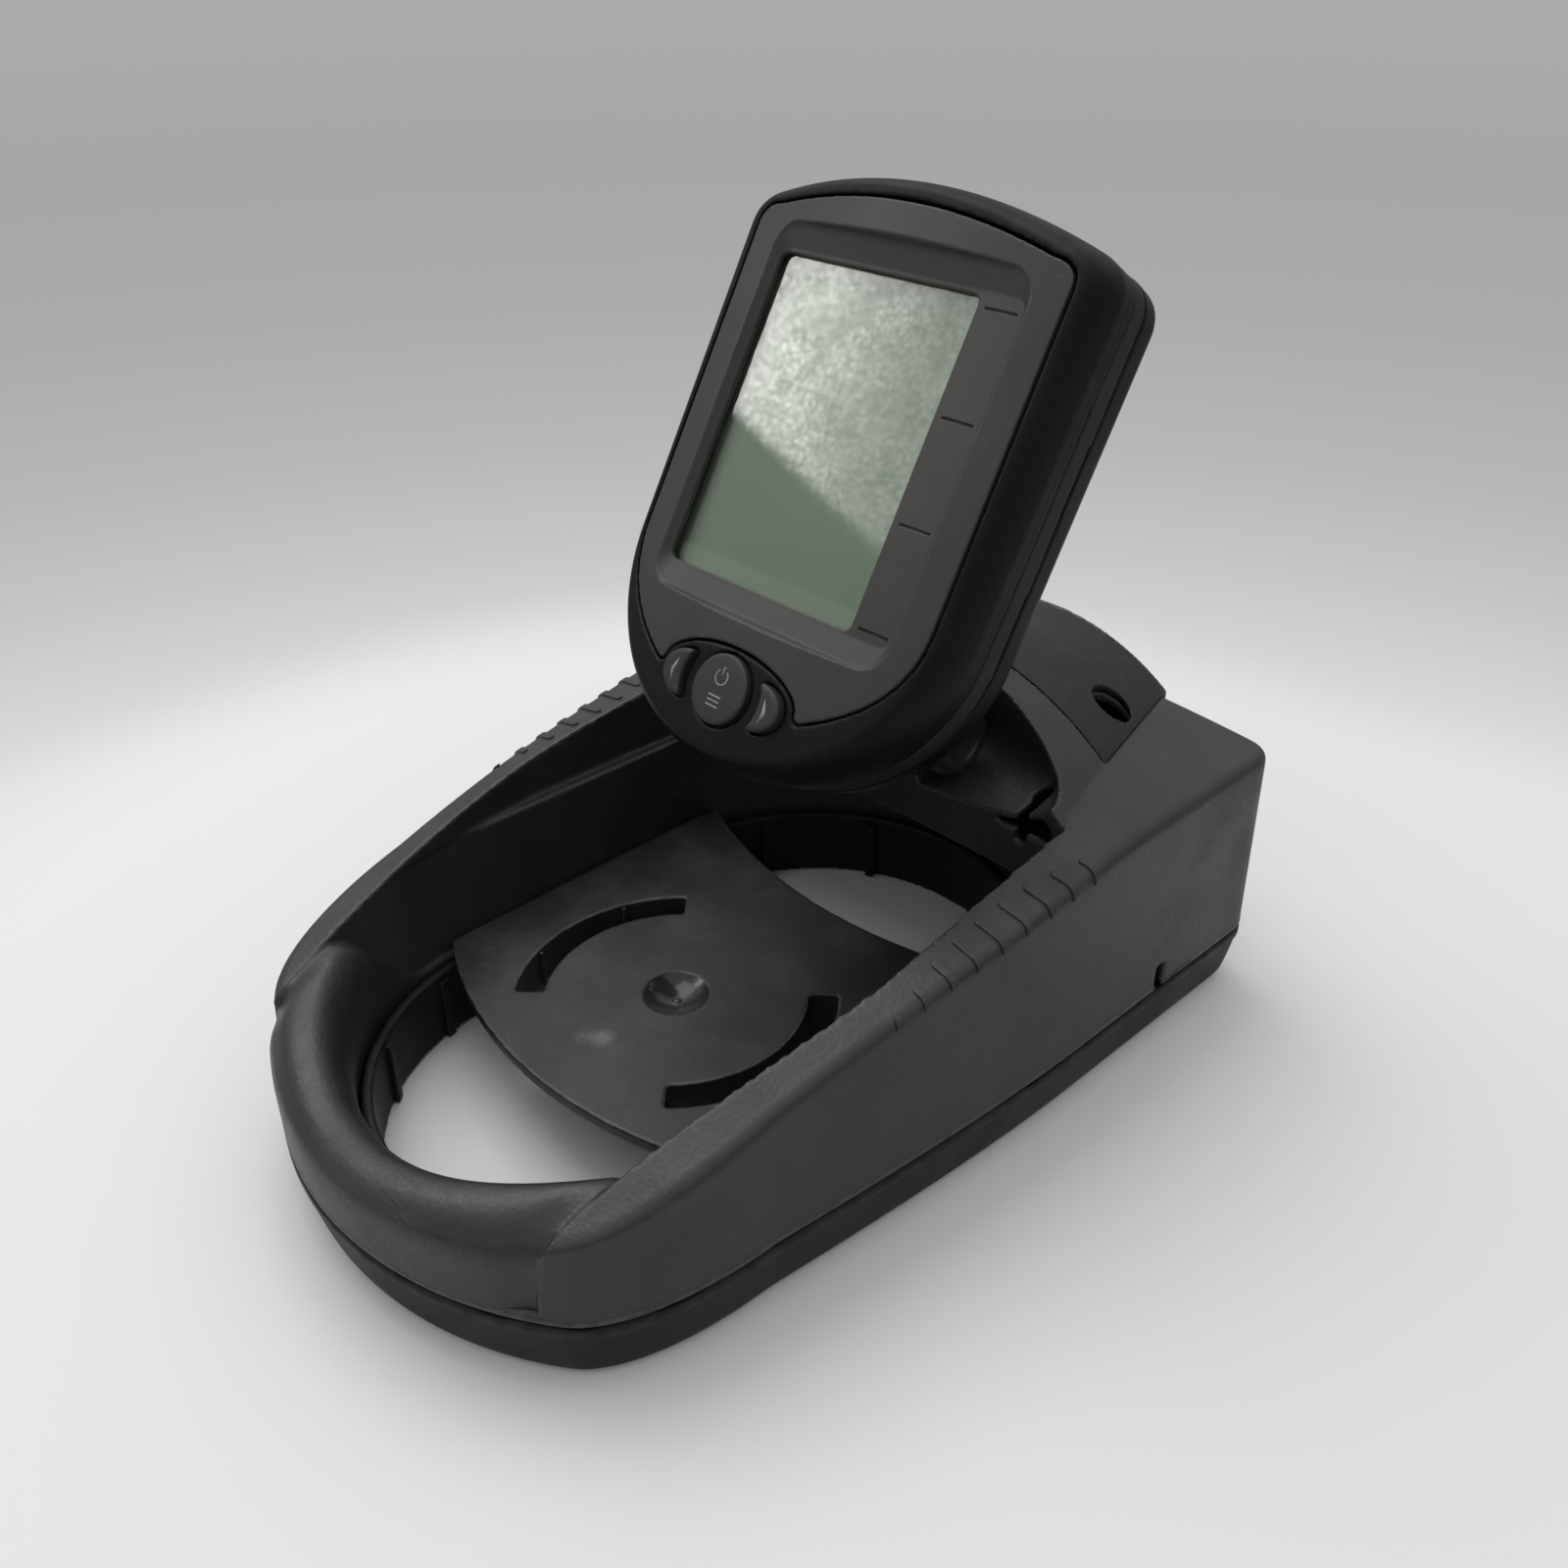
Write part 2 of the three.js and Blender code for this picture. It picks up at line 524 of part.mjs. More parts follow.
// Carry ring: a rounded section swept round the front of the well, highest beside the rails
function carryRing(inset) {
  const limit = THREE.MathUtils.degToRad(ring.sweepAngle);
  const rings = [];
  const stations = inset > 0 ? facets.ring / 2 : facets.ring;
  for (let i = 0; i <= stations; i += 1) {
    const angle = limit * (1 - 2 * i / stations);
    const degrees = Math.abs(THREE.MathUtils.radToDeg(angle));
    const climb = THREE.MathUtils.smoothstep(degrees, 0, ring.peakAngle);
    const fade = THREE.MathUtils.smoothstep(degrees, ring.peakAngle, ring.fadeAngle);
    const outer = reachToOutline(angle, inset);
    const wellReach = Math.hypot(well.halfWidth * Math.sin(angle), well.frontReach * Math.cos(angle));
    const innerReach = wellReach + inset;
    const edge = ring.outerEdge + ring.outerRise * climb - inset;
    const crest = ring.crest + ring.crestRise * climb - ring.fadeDrop * fade - inset;
    const crestShare = inset > 0 ? ringShares.hiddenCrest : 1;
    const crestAt = innerReach + THREE.MathUtils.lerp(ring.crestInset, ring.fadeInset, fade) * crestShare;
    const bottom = inset > 0 ? level.seam - overrun : level.seam;
    const section = [[innerReach, bottom], [outer, bottom], [outer, edge]];
    const edgeTop = edge + Math.min(ring.edgeHeight, (crest - edge) * ringShares.edge);
    const turns = inset > 0 ? [90] : [45, 90];
    turns.forEach((turn) => {
      const round = THREE.MathUtils.degToRad(turn);
      const across = outer - ring.edgeWidth * (1 - Math.cos(round));
      section.push([across, edge + (edgeTop - edge) * Math.sin(round)]);
    });
    const shoulder = outer - ring.edgeWidth;
    ringShares.slopes.forEach((share) => {
      const rise = Math.sin(share * Math.PI / 2);
      section.push([shoulder + (crestAt - shoulder) * share, edgeTop + (crest - edgeTop) * rise]);
    });
    const rollBottom = level.ledge + (crest - level.ledge) * ringShares.roll;
    (inset > 0 ? [0, 45, 90] : [0, 30, 60, 90]).forEach((turn) => {
      const round = THREE.MathUtils.degToRad(turn);
      const across = crestAt - (crestAt - innerReach) * Math.sin(round);
      section.push([across, rollBottom + (crest - rollBottom) * Math.cos(round)]);
    });
    const direction = new THREE.Vector2(Math.sin(angle), -Math.cos(angle));
    rings.push(section.map(([reach, z]) => (
      new THREE.Vector3(direction.x * reach, well.frontY + direction.y * reach, z))));
  }
  return loft(rings);
}

// Cowl: arches that shrink to the rear, standing on the deck
function cowlForm(inset, fromY, toY, depth) {
  const stations = [mouthY - overrun, cowl.panelY, cowl.rearY + overrun];
  const halves = [cowl.frontHalf, cowl.panelHalf, cowl.rearHalf];
  const rises = [cowl.frontRise, cowl.panelRise, cowl.rearRise];
  const at = (y, values) => {
    const spot = y < stations[1] ? 0 : 1;
    const share = (y - stations[spot]) / (stations[spot + 1] - stations[spot]);
    return values[spot] + (values[spot + 1] - values[spot]) * share;
  };
  const rings = [];
  for (let k = 0; k <= facets.cowlLength; k += 1) {
    const y = toY + (fromY - toY) * k / facets.cowlLength;
    const half = at(y, halves);
    const rise = at(y, rises);
    const radius = (half ** 2 + rise ** 2) / (2 * rise);
    const spread = Math.asin(half / radius);
    const arch = (lower) => Array.from({ length: facets.cowlArch + 1 }, (_, i) => {
      const turn = spread * (1 - 2 * i / facets.cowlArch);
      const reach = radius - lower;
      const height = level.deck + rise - radius + reach * Math.cos(turn);
      return new THREE.Vector3(reach * Math.sin(turn), y, height);
    });
    const top = arch(inset);
    const bottom = depth > cowl.depth / 2
      ? top.map((point) => new THREE.Vector3(point.x, y, level.deck - depth))
      : arch(inset + depth);
    rings.push([...top, ...bottom.reverse()]);
  }
  return loft(rings);
}

// Room of the niche: a shallow dish below an upright half-elliptic wall, grown by an inset
function nicheRoom(inset) {
  const [side, depth] = [niche.halfWidth + inset, niche.depth + inset];
  const dishDepth = niche.wallStart - niche.floor + inset;
  const coarse = inset > 0 ? 2 : 1;
  const bands = facets.nicheRise / coarse;
  const sides = facets.nicheTurn * 2 / coarse;
  const profile = Array.from({ length: bands + 1 }, (_, i) => {
    const turn = Math.PI / 2 * i / bands;
    return new THREE.Vector2(Math.sin(turn), -dishDepth * Math.cos(turn));
  });
  const rise = cowl.frontRise + overrun;
  profile.push(new THREE.Vector2(1, rise), new THREE.Vector2(0, rise));
  const room = alongZ(solid(new THREE.LatheGeometry(profile, sides))).scale([side, depth, 1]);
  const front = block(-side, side, -overrun, depth + overrun, -dishDepth - overrun, rise + overrun);
  return room.intersect(front).translate([0, mouthY, niche.wallStart]);
}

// The level seat for the mount's foot in the niche's floor
function seatRoom(from, to, grow) {
  const half = niche.seatHalf + grow;
  return block(-half, half, mouthY + (grow > 0 ? grow : 0), mouthY + niche.seatDepth + grow, from, to);
}

// Outer form, or with the wall as inset the hollow inside it
function casingForm(inset) {
  let form = casingBlock(inset).subtract(upperRoom(inset)).subtract(frontRoom(inset)).subtract(wellRoom(inset));
  const cowlEnd = inset > 0 ? cowl.rearY - inset : cowl.rearY + base.edgeRadius / 2;
  form = form.add(cowlForm(inset * 2, mouthY, cowlEnd, cowl.depth));
  form = form.subtract(nicheRoom(inset)).add(carryRing(inset));
  if (inset === 0) {
    const seat = seatRoom(niche.floor - base.wall, niche.seatTop, 0);
    const above = seatRoom(niche.seatTop, niche.wallStart, gap);
    return form.add(seat).subtract(above);
  }
  return form.subtract(seatRoom(niche.floor - base.wall * 2, niche.wallStart, base.wall));
}

// Nine ribs across each rail: slices of a slightly larger casing
function gripRibs() {
  const skin = casingBlock(-grip.height);
  const middle = (grip.count - 1) / 2;
  const bars = Array.from({ length: grip.count }, (_, i) => {
    const y = grip.firstY + grip.pitch * i;
    const spread = ((i - middle) / middle) ** 2;
    const inner = grip.innerX + (grip.outerInnerX - grip.innerX) * spread;
    const bottom = railTop(y) - grip.wrap;
    return block(inner, base.rearX + overrun, y - grip.width / 2, y + grip.width / 2, bottom, level.deck);
  });
  return bothSides(skin.intersect(joined(bars)));
}

// Pocket that the cowl's cover panel lies in, and the panel itself
function panelForm(clearance) {
  const deep = panel.thickness + clearance * 2;
  const lift = clearance > 0 ? overrun : 0;
  return cowlForm(-lift, cowl.panelY - clearance, cowl.rearY - gap + clearance, deep + lift - clearance);
}

function panelHole(radius) {
  return alongZ(cylinder(radius, cowl.frontRise * 2)).translate([panel.holeX, panel.holeY, level.deck]);
}

function notchRoom() {
  const half = niche.notchWidth / 2;
  const slot = block(-half, half, -overrun, niche.notchReach, 0, niche.wallStart);
  const end = alongZ(cylinder(niche.notchRadius, niche.wallStart, 16));
  const key = slot.add(end.translate([0, niche.notchReach, niche.wallStart / 2]));
  return key.translate([niche.notchX, mouthY, level.stepLedge + base.wall]);
}

function upperShell() {
  const outer = casingForm(0);
  const bosses = atSpots(screwSpots, (x, y) => (
    pillar(bossScrew.radius, x, y, level.seam + gap, level.deck, 12)));
  const pilots = atSpots(screwSpots, (x, y) => (
    pillar(bossScrew.hole, x, y, 0, level.seam + bossScrew.reach, 8)));
  const mountScrewY = mouthY + yoke.footRear - yoke.screwRear;
  const mountPilots = bothSides(pillar(
    footScrew.radius + gap, yoke.screwX, mountScrewY, niche.floor - base.wall * 2, niche.wallStart, 8));
  const body = outer.add(gripRibs()).subtract(casingForm(base.wall)).add(bosses.intersect(outer))
    .subtract(pilots).subtract(mountPilots);
  const notch = block(
    base.shoulderX, base.rearX + overrun, sideNotch.frontY, sideNotch.rearY, 0, sideNotch.top);
  return mainLump(body.subtract(panelForm(gap)).subtract(panelHole(panel.holeRadius))
    .subtract(notchRoom()).subtract(notch));
}

function coverPanel() {
  return panelForm(0).subtract(panelHole(panel.holeRadius));
}

function panRing(z, inset, stride = 1) {
  return raised(outlinePoints(inset, stride), z);
}

function aroundWell(shapeAt) {
  const front = wellRib.frontAngles.flatMap((angle) => [angle, -angle]).map((angle) => (
    shapeAt(well.frontReach - well.ledgeWidth, 180 + angle).translate([0, well.frontY, 0])));
  const rear = wellRib.rearAngles.flatMap((angle) => [angle, -angle]).map((angle) => (
    shapeAt(well.halfWidth - well.ledgeWidth, angle).translate([0, well.rearY, 0])));
  return joined([...front, ...rear]);
}

function pillar(radius, x, y, from, to, sides = 16) {
  return alongZ(cylinder(radius, to - from, sides)).translate([x, y, (from + to) / 2]);
}

function bottomPan() {
  const height = level.panRim - level.panBottom;
  const outer = loft([
    panRing(level.panBottom, pan.bottomInset),
    panRing(level.panBottom + height * pan.rollShare, pan.rollInset),
    panRing(level.panBottom + height * pan.slopeShare, pan.slopeInset),
    panRing(level.panRim, 0),
  ]);
  const inner = loft([
    panRing(panFloorTop, pan.bottomInset, 2),
    panRing(panFloorTop + pan.floor, pan.slopeInset + base.wall, 2),
    panRing(level.panRim + overrun, base.wall, 2),
  ]);
  const lipInset = base.wall + tongue.clearance;
  const lip = loft([
    panRing(level.panRim - tongue.depth, base.wall - gap, 2),
    panRing(level.panRim - tongue.clearance, base.wall - gap, 2),
    panRing(level.panRim, lipInset, 2),
    panRing(level.seam + tongue.height, lipInset, 2),
  ]);
  const noLip = block(
    -base.rearX, base.rearX, base.noseY, base.shoulderY, panFloorTop, level.ledge + tongue.height);
  const lipRoom = loft([
    panRing(level.panRim - tongue.depth - overrun, lipInset + tongue.width, 2),
    panRing(level.seam + tongue.height + overrun, lipInset + tongue.width, 2),
  ]).add(noLip);
  const bay = block(-cover.holeHalf - cover.rimX, cover.holeHalf + cover.rimX, well.rearY + well.halfWidth,
    base.rearY + overrun, panFloorTop, level.deck);
  const ledgeTop = level.ledge - gap;
  const hole = loft([raised(wellOutline(well.halfWidth, -well.ledgeWidth), -overrun),
    raised(wellOutline(well.halfWidth, -well.ledgeWidth), level.deck)]);
  const wallForm = loft([
    raised(wellOutline(well.halfWidth, well.wallThickness - well.ledgeWidth), level.panBottom),
    raised(wellOutline(well.halfWidth, well.wallThickness - well.ledgeWidth), level.seam),
    raised(wellOutline(well.halfWidth, -gap * 2), level.seam + gap),
    raised(wellOutline(well.halfWidth, -gap * 2), ledgeTop),
  ]);
  const ribHalf = well.ribWidth / 2;
  const ribs = aroundWell((reach, angle) => (
    block(-ribHalf, ribHalf, reach - well.ribProud, reach + gap, level.panBottom, level.seam)
      .rotate([0, 0, -angle])));
  const posts = atSpots(screwSpots, (x, y) => pillar(bossScrew.radius, x, y, level.panBottom, level.seam, 10));
  const sockets = atSpots(screwSpots, (x, y) => pillar(bossScrew.clearHole, x, y, 0, level.deck, 8)
    .add(pillar(bossScrew.headRadius + gap, x, y, 0, bossScrew.headZ, 10)));
  const footSeats = atSpots(footSpots, (x, y) => (
    pillar(foot.radius + gap, x, y, 0, level.panBottom + foot.sink, 12)));
  const postTop = level.seam / 2;
  const coverPosts = bothSides(
    pillar(bossScrew.radius, cover.screwX, coverMiddleY, panFloorTop - gap, postTop, 10));
  const coverHoles = bothSides(
    pillar(bossScrew.hole + gap, cover.screwX, coverMiddleY, 0, postTop - overrun, 8));
  const coverSeat = block(-cover.holeHalf - cover.rimX, cover.holeHalf + cover.rimX,
    cover.frontY - cover.rimY, cover.rearY + cover.rimY, 0, level.panBottom + cover.thickness);
  const coverHole = block(
    -cover.holeHalf, cover.holeHalf, cover.frontY, cover.rearY, 0, panFloorTop + overrun);
  let body = outer.subtract(inner).add(lip.subtract(lipRoom).subtract(bay)).add(wallForm).subtract(hole);
  body = body.add(ribs).add(posts).add(coverPosts);
  return body.subtract(sockets).subtract(footSeats).subtract(coverSeat).subtract(coverHole).subtract(coverHoles);
}

function batteryCover() {
  const reach = cover.holeHalf + cover.rimX - gap;
  const [front, rear] = [cover.frontY - cover.rimY + gap, cover.rearY + cover.rimY - gap];
  const bottom = level.panBottom;
  const sheet = block(-reach, reach, front, rear, bottom, bottom + cover.thickness - gap);
  const pad = block(-cover.holeHalf + gap, cover.holeHalf - gap, cover.frontY + gap, cover.rearY - gap,
    bottom, panFloorTop - cover.thickness);
  const ribTop = rackBottom - gap;
  const ribs = bothSides(block(cell.length / 2, cell.length / 2 + rack.endWall, cover.frontY + cover.ribInset,
    cover.rearY - cover.ribInset, bottom, ribTop));
  const holes = bothSides(pillar(bossScrew.clearHole, cover.screwX, coverMiddleY, 0, panFloorTop, 8));
  const sinks = bothSides(
    pillar(bossScrew.headRadius + gap, cover.screwX, coverMiddleY, 0, bottom + cover.headSink, 10));
  const grips = [-1, 0, 1].map((place) => {
    const y = coverMiddleY + cover.gripSpacing * place;
    const half = cover.gripWidth / 2;
    return block(-cover.gripHalf, cover.gripHalf, y - half, y + half, 0, bottom + gap);
  });
  return sheet.add(pad).add(ribs).subtract(holes).subtract(sinks).subtract(joined(grips));
}

// Screw along Z with its head at the origin
function screw(headRadius, headHeight, shankRadius, length) {
  const profile = [
    new THREE.Vector2(0, 0), new THREE.Vector2(headRadius * screwShares.faceRadius, 0),
    new THREE.Vector2(headRadius, headHeight * screwShares.rimHeight),
    new THREE.Vector2(headRadius, headHeight), new THREE.Vector2(shankRadius, headHeight),
    new THREE.Vector2(0, length),
  ];
  return alongZ(solid(new THREE.LatheGeometry(profile, 6)));
}

// Battery cells, each row turned the other way
const cellSpots = [-1, 1].flatMap((side) => [0, 1].flatMap((layer) => [0, 1].map((row) => ({
  x: side * cellX, y: cell.rowY + row * cell.rowPitch, z: lowLayerZ + layer * cell.layerPitch, row,
}))));

function batteryRack() {
  const webs = [0, 1, 2].map((i) => block(-rackEndX, rackEndX, rack.frontY, rack.rearY,
    rackBottom + i * cell.layerPitch, rackBottom + i * cell.layerPitch + rack.web));
  const top = rackBottom + cell.layerPitch * 2 + rack.web;
  const ends = bothSides(block(rackEndX, rackEndX + rack.endWall, rack.frontY, rack.rearY, rackBottom, top));
  const middle = block(-rack.web / 2, rack.web / 2, rack.frontY, rack.rearY, rackBottom, top);
  return joined(webs).add(ends).add(middle);
}

function batteryCell() {
  const half = cell.length / 2;
  const profile = [
    [0, -half], [cell.radius, -half], [cell.radius, half], [cell.nubRadius, half],
    [cell.nubRadius, half + cell.nubLength], [0, half + cell.nubLength],
  ].map(([x, y]) => new THREE.Vector2(x, y));
  return alongX(solid(new THREE.LatheGeometry(profile, 10)));
}

function contactPlate() {
  const x = rackEndX - gap / 2;
  const low = rackBottom + rack.web + gap;
  const high = rackBottom + cell.layerPitch - gap;
  const strip = (y) => block(x - rack.contact, x, y - cell.nubRadius, y + cell.nubRadius, low, high);
  return strip(cell.rowY).add(strip(cell.rowY + cell.rowPitch)).add(
    block(x - rack.contact, x, cell.rowY, cell.rowY + cell.rowPitch, low, low + cell.nubRadius));
}

function rubberFoot() {
  const top = level.panBottom + foot.sink - gap;
  const profile = [[0, 0], [foot.radius - gap, 0], [foot.radius, gap], [foot.radius, top], [0, top]];
  return alongZ(solid(new THREE.LatheGeometry(profile.map(([x, y]) => new THREE.Vector2(x, y)), 12)));
}

// Circular arc through three points that are symmetric about x = 0, as a list of points
function bow(half, sideY, middleY, steps) {
  const rise = sideY - middleY;
  const radius = (half ** 2 + rise ** 2) / (2 * rise);
  const spread = Math.asin(half / radius);
  return Array.from({ length: steps + 1 }, (_, i) => {
    const turn = spread * (2 * i / steps - 1);
    return new THREE.Vector2(radius * Math.sin(turn), middleY + radius * (1 - Math.cos(turn)));
  });
}

function slotForm(grow, from, to) {
  const spread = THREE.MathUtils.degToRad(plate.slotAngle) + grow / plate.slotOuter;
  const shape = new THREE.Shape();
  shape.absarc(0, 0, plate.slotOuter + grow, -spread, spread, false);
  shape.absarc(0, 0, plate.slotInner - grow, spread, -spread, true);
  return bothSides(extruded(shape, from, to)).translate([0, plate.centreY, 0]);
}

function crossPlate() {
  const half = well.halfWidth - plate.clearance;
  const outline = [...bow(half, plate.frontSide, plate.frontMiddle, facets.plateBow),
    ...bow(half, plate.rearSide, plate.rearMiddle, facets.plateBow).reverse()];
  const bottom = level.plateTop - plate.thickness;
  const flat = extruded(new THREE.Shape(outline), bottom, level.plateTop);
  const skirts = bothSides(
    block(half - plate.skirtWidth, half, plate.frontSide, plate.rearSide, level.ledge, bottom + gap));
  const fit = extruded(new THREE.Shape(wellOutline(well.halfWidth, -plate.clearance)), level.ledge, level.plateTop);
  const collars = slotForm(plate.slotWall, level.plateTop - plate.slotDepth, bottom + gap);
  const ribAngles = [plate.ribAngle, -plate.ribAngle, 180 + plate.ribAngle, 180 - plate.ribAngle];
  const ribs = joined(ribAngles.map((angle) => (
    block(plate.slotOuter - plate.slotRib, plate.slotOuter + gap, -plate.slotRib / 2, plate.slotRib / 2,
      level.plateTop - plate.slotDepth, level.plateTop - plate.slotRib)
      .rotate([0, 0, angle]).translate([0, plate.centreY, 0]))));
  const ballRadius = (plate.dimpleRadius ** 2 + plate.dimpleDepth ** 2) / (2 * plate.dimpleDepth);
  const dimpleBottom = level.plateTop - plate.dimpleDepth;
  const ball = solid(new THREE.SphereGeometry(ballRadius, 20, 12))
    .translate([0, plate.centreY, dimpleBottom + ballRadius]);
  const dishBottom = dimpleBottom - plate.dishWall;
  const dish = pillar(plate.dimpleRadius + plate.dishWall, 0, plate.centreY, dishBottom, level.plateTop - gap, 16);
  const nub = pillar(plate.nubRadius, 0, plate.centreY, dishBottom + gap, dimpleBottom + plate.nubRadius, 8);
  const slots = slotForm(0, level.plateTop - plate.slotDepth - overrun, level.plateTop + overrun);
  return flat.add(skirts).intersect(fit).add(collars).add(dish).subtract(slots).add(ribs).subtract(ball).add(nub);
}

function mountYoke() {
  const [front, rear] = [mouthY + yoke.footFront, mouthY + yoke.footRear];
  const bottom = niche.seatTop + gap;
  const top = bottom + yoke.footThickness;
  const footPlate = block(-yoke.half, yoke.half, front, rear, bottom, top);
  const shape = new THREE.Shape();
  shape.moveTo(front, bottom);
  shape.lineTo(pivot.y - yoke.earRadius, pivot.z);
  shape.absarc(pivot.y, pivot.z, yoke.earRadius, Math.PI, 0, true);
  shape.lineTo(rear, bottom);
  const geometry = new THREE.ExtrudeGeometry(shape, {
    depth: yoke.half - yoke.earInner, bevelEnabled: false, curveSegments: 10,
  });
  geometry.rotateX(Math.PI / 2).rotateZ(Math.PI / 2).translate(yoke.earInner, 0, 0);
  const ears = bothSides(solid(geometry));
  const bore = alongX(cylinder(yoke.boltRadius + gap, yoke.half * 3, 10)).translate([0, pivot.y, pivot.z]);
  const holes = bothSides(
    pillar(footScrew.radius + gap, yoke.screwX, rear - yoke.screwRear, bottom - gap, top + gap, 12));
  return footPlate.add(ears).subtract(bore).subtract(holes);
}

function tiltBolt() {
  return alongX(cylinder(yoke.boltRadius, boltReach * 2 - gap * 2, 12));
}

function frictionWasher() {
  const disc = cylinder(barrel.radius - gap, yoke.earInner - barrel.half - gap * 2, 20);
  return alongX(disc.subtract(cylinder(yoke.boltRadius + gap, barrel.half, 12)));
}

// Knob with scalloped rim, turning about X, its inner end at x = 0
function tiltKnob() {
  const shape = new THREE.Shape();
  const steps = knob.lobes * 2;
  const points = Array.from({ length: steps }, (_, i) => {
    const turn = 2 * Math.PI * i / steps;
    const reach = knob.radius - knob.lobeDepth * (1 - Math.cos(turn * knob.lobes)) / 2;
    return new THREE.Vector2(reach * Math.cos(turn), reach * Math.sin(turn));
  });
  shape.setFromPoints(points);
  const rimLength = knob.length - knob.hubLength;
  const rim = extruded(shape, 0, rimLength).translate([0, 0, knob.hubLength]);
  const dome = alongZ(solid(new THREE.LatheGeometry([
    [0, 0], [knob.radius + knob.flare, 0], [knob.radius + knob.flare, rimLength * knobShares.shoulder],
    [knob.radius * knobShares.crown, rimLength], [0, rimLength],
  ].map(([x, y]) => new THREE.Vector2(x, y)), 12))).translate([0, 0, knob.hubLength]);
  const hub = pillar(knob.hubRadius, 0, 0, 0, knob.hubLength + gap, 12);
  const bore = pillar(yoke.boltRadius + gap, 0, 0, -overrun, knob.length - knob.cap, 10);
  const dishBottom = knob.length - knob.cap * knobShares.dishDepth;
  const dish = pillar(knob.radius * knobShares.dish, 0, 0, dishBottom, knob.length + overrun, 12);
  return rim.intersect(dome).add(hub).subtract(bore).subtract(dish).rotate([0, 90, 0]);
}

// Depth of the head's crowned face at a distance from its middle
const crown = (u) => u ** 2 / (2 * head.crownRadius);

// Outline of the head: round below, a slightly bowed top with rounded corners
function headOutline(inset, depth) {
  const half = head.half - inset;
  const drop = head.bendV - head.bottomV - inset;
  const cornerV = head.topV - head.cornerDrop;
  const topAt = (u) => head.topV - inset - head.topBow * (u / half) ** 2;
  const points = [];
  for (let i = 0; i <= facets.head; i += 1) {
    const angle = -Math.PI / 2 + Math.PI / 2 * i / facets.head;
    points.push([half * Math.cos(angle), head.bendV + drop * Math.sin(angle)]);
  }
  const corner = new THREE.QuadraticBezierCurve(
    new THREE.Vector2(half, cornerV - head.corner),
    new THREE.Vector2(half, cornerV - inset * headShares.cornerFollow),
    new THREE.Vector2(half - head.corner, topAt(half - head.corner)),
  );
  corner.getPoints(facets.corner).forEach((point) => points.push([point.x, point.y]));
  for (let i = 1; i <= facets.headTop; i += 1) {
    const u = (half - head.corner) * (1 - i / facets.headTop);
    points.push([u, topAt(u)]);
  }
  const left = points.slice(1, -1).reverse().map(([u, v]) => [-u, v]);
  return [...points, ...left].map(([u, v]) => new THREE.Vector3(u, depth(u), v));
}

const faceExtruded = (shape, near, far, steps = 8) => extruded(shape, -far, -near, steps).rotate([90, 0, 0]);

// Slab between the crowned face, moved back by an offset, and a depth behind or before it
function crownSlab(offset, flatDepth) {
  const reach = head.half + overrun;
  const points = Array.from({ length: facets.crown * 2 + 1 }, (_, i) => {
    const u = reach * (1 - i / facets.crown);
    return new THREE.Vector2(u, crown(u) + offset);
  });
  points.push(new THREE.Vector2(-reach, flatDepth), new THREE.Vector2(reach, flatDepth));
  return extruded(new THREE.Shape(points), head.bottomV - overrun, head.topV + overrun);
}

// Outline of the faceplate: it arches over the buttons and follows the head's sides and top
function faceShape(grow) {
  const shape = new THREE.Shape();
  const archFoot = THREE.MathUtils.degToRad(face.archFootAngle);
  const half = faceHalf + grow;
  const line = [];
  for (let i = 0; i <= facets.arch; i += 1) {
    const angle = Math.PI / 2 - (Math.PI / 2 - archFoot) * i / facets.arch;
    line.push(new THREE.Vector2((face.archHalf - grow) * Math.cos(angle),
      face.tipV + (face.archTop - face.tipV - grow) * Math.sin(angle)));
  }
  const last = line.at(-1);
  const tip = new THREE.Vector2(face.tipU, face.tipV - grow);
  const round = new THREE.QuadraticBezierCurve(last, new THREE.Vector2(last.x + grow / 2, tip.y), tip);
  line.push(...round.getPoints(facets.archFoot).slice(1));
  const bend = new THREE.CubicBezierCurve(
    tip, new THREE.Vector2(tip.x + (half - tip.x) * faceShares.tipAcross, tip.y + faceBendV * faceShares.tipAlong),
    new THREE.Vector2(half, faceBendV * faceShares.sideAlong), new THREE.Vector2(half, faceBendV),
  );
  line.push(...bend.getPoints(facets.faceSide).slice(1));
  const cornerHalf = head.half - face.cornerInset;
  const top = (u) => faceTop + grow - face.topBow * (u / cornerHalf) ** 2;
  const corner = new THREE.QuadraticBezierCurve(
    new THREE.Vector2(half, head.topV - face.cornerDrop),
    new THREE.Vector2(half, head.topV - face.shoulderDrop + grow),
    new THREE.Vector2(cornerHalf, top(cornerHalf)),
  );
  line.push(...corner.getPoints(facets.corner));
  for (let i = 1; i <= facets.faceTop; i += 1) {
    const u = cornerHalf * (1 - i / facets.faceTop);
    line.push(new THREE.Vector2(u, top(u)));
  }
  const left = line.slice(1, -1).reverse().map((point) => new THREE.Vector2(-point.x, point.y));
  shape.setFromPoints([...line, ...left]);
  return shape;
}

// Rectangle with rounded corners; its edges are moved outwards by grow
function roundedRect(edges, corner, grow = 0) {
  const [left, right] = [edges.left - grow, edges.right + grow];
  const [bottom, top] = [edges.bottom - grow, edges.top + grow];
  const points = [];
  [[right, bottom, -90], [right, top, 0], [left, top, 90], [left, bottom, 180]].forEach(([x, y, from]) => {
    const cx = x - Math.sign(x - (left + right) / 2) * corner;
    const cy = y - Math.sign(y - (bottom + top) / 2) * corner;
    for (let i = 0; i <= facets.corner; i += 1) {
      const angle = THREE.MathUtils.degToRad(from + 90 * i / facets.corner);
      points.push(new THREE.Vector2(cx + corner * Math.cos(angle), cy + corner * Math.sin(angle)));
    }
  });
  return points;
}

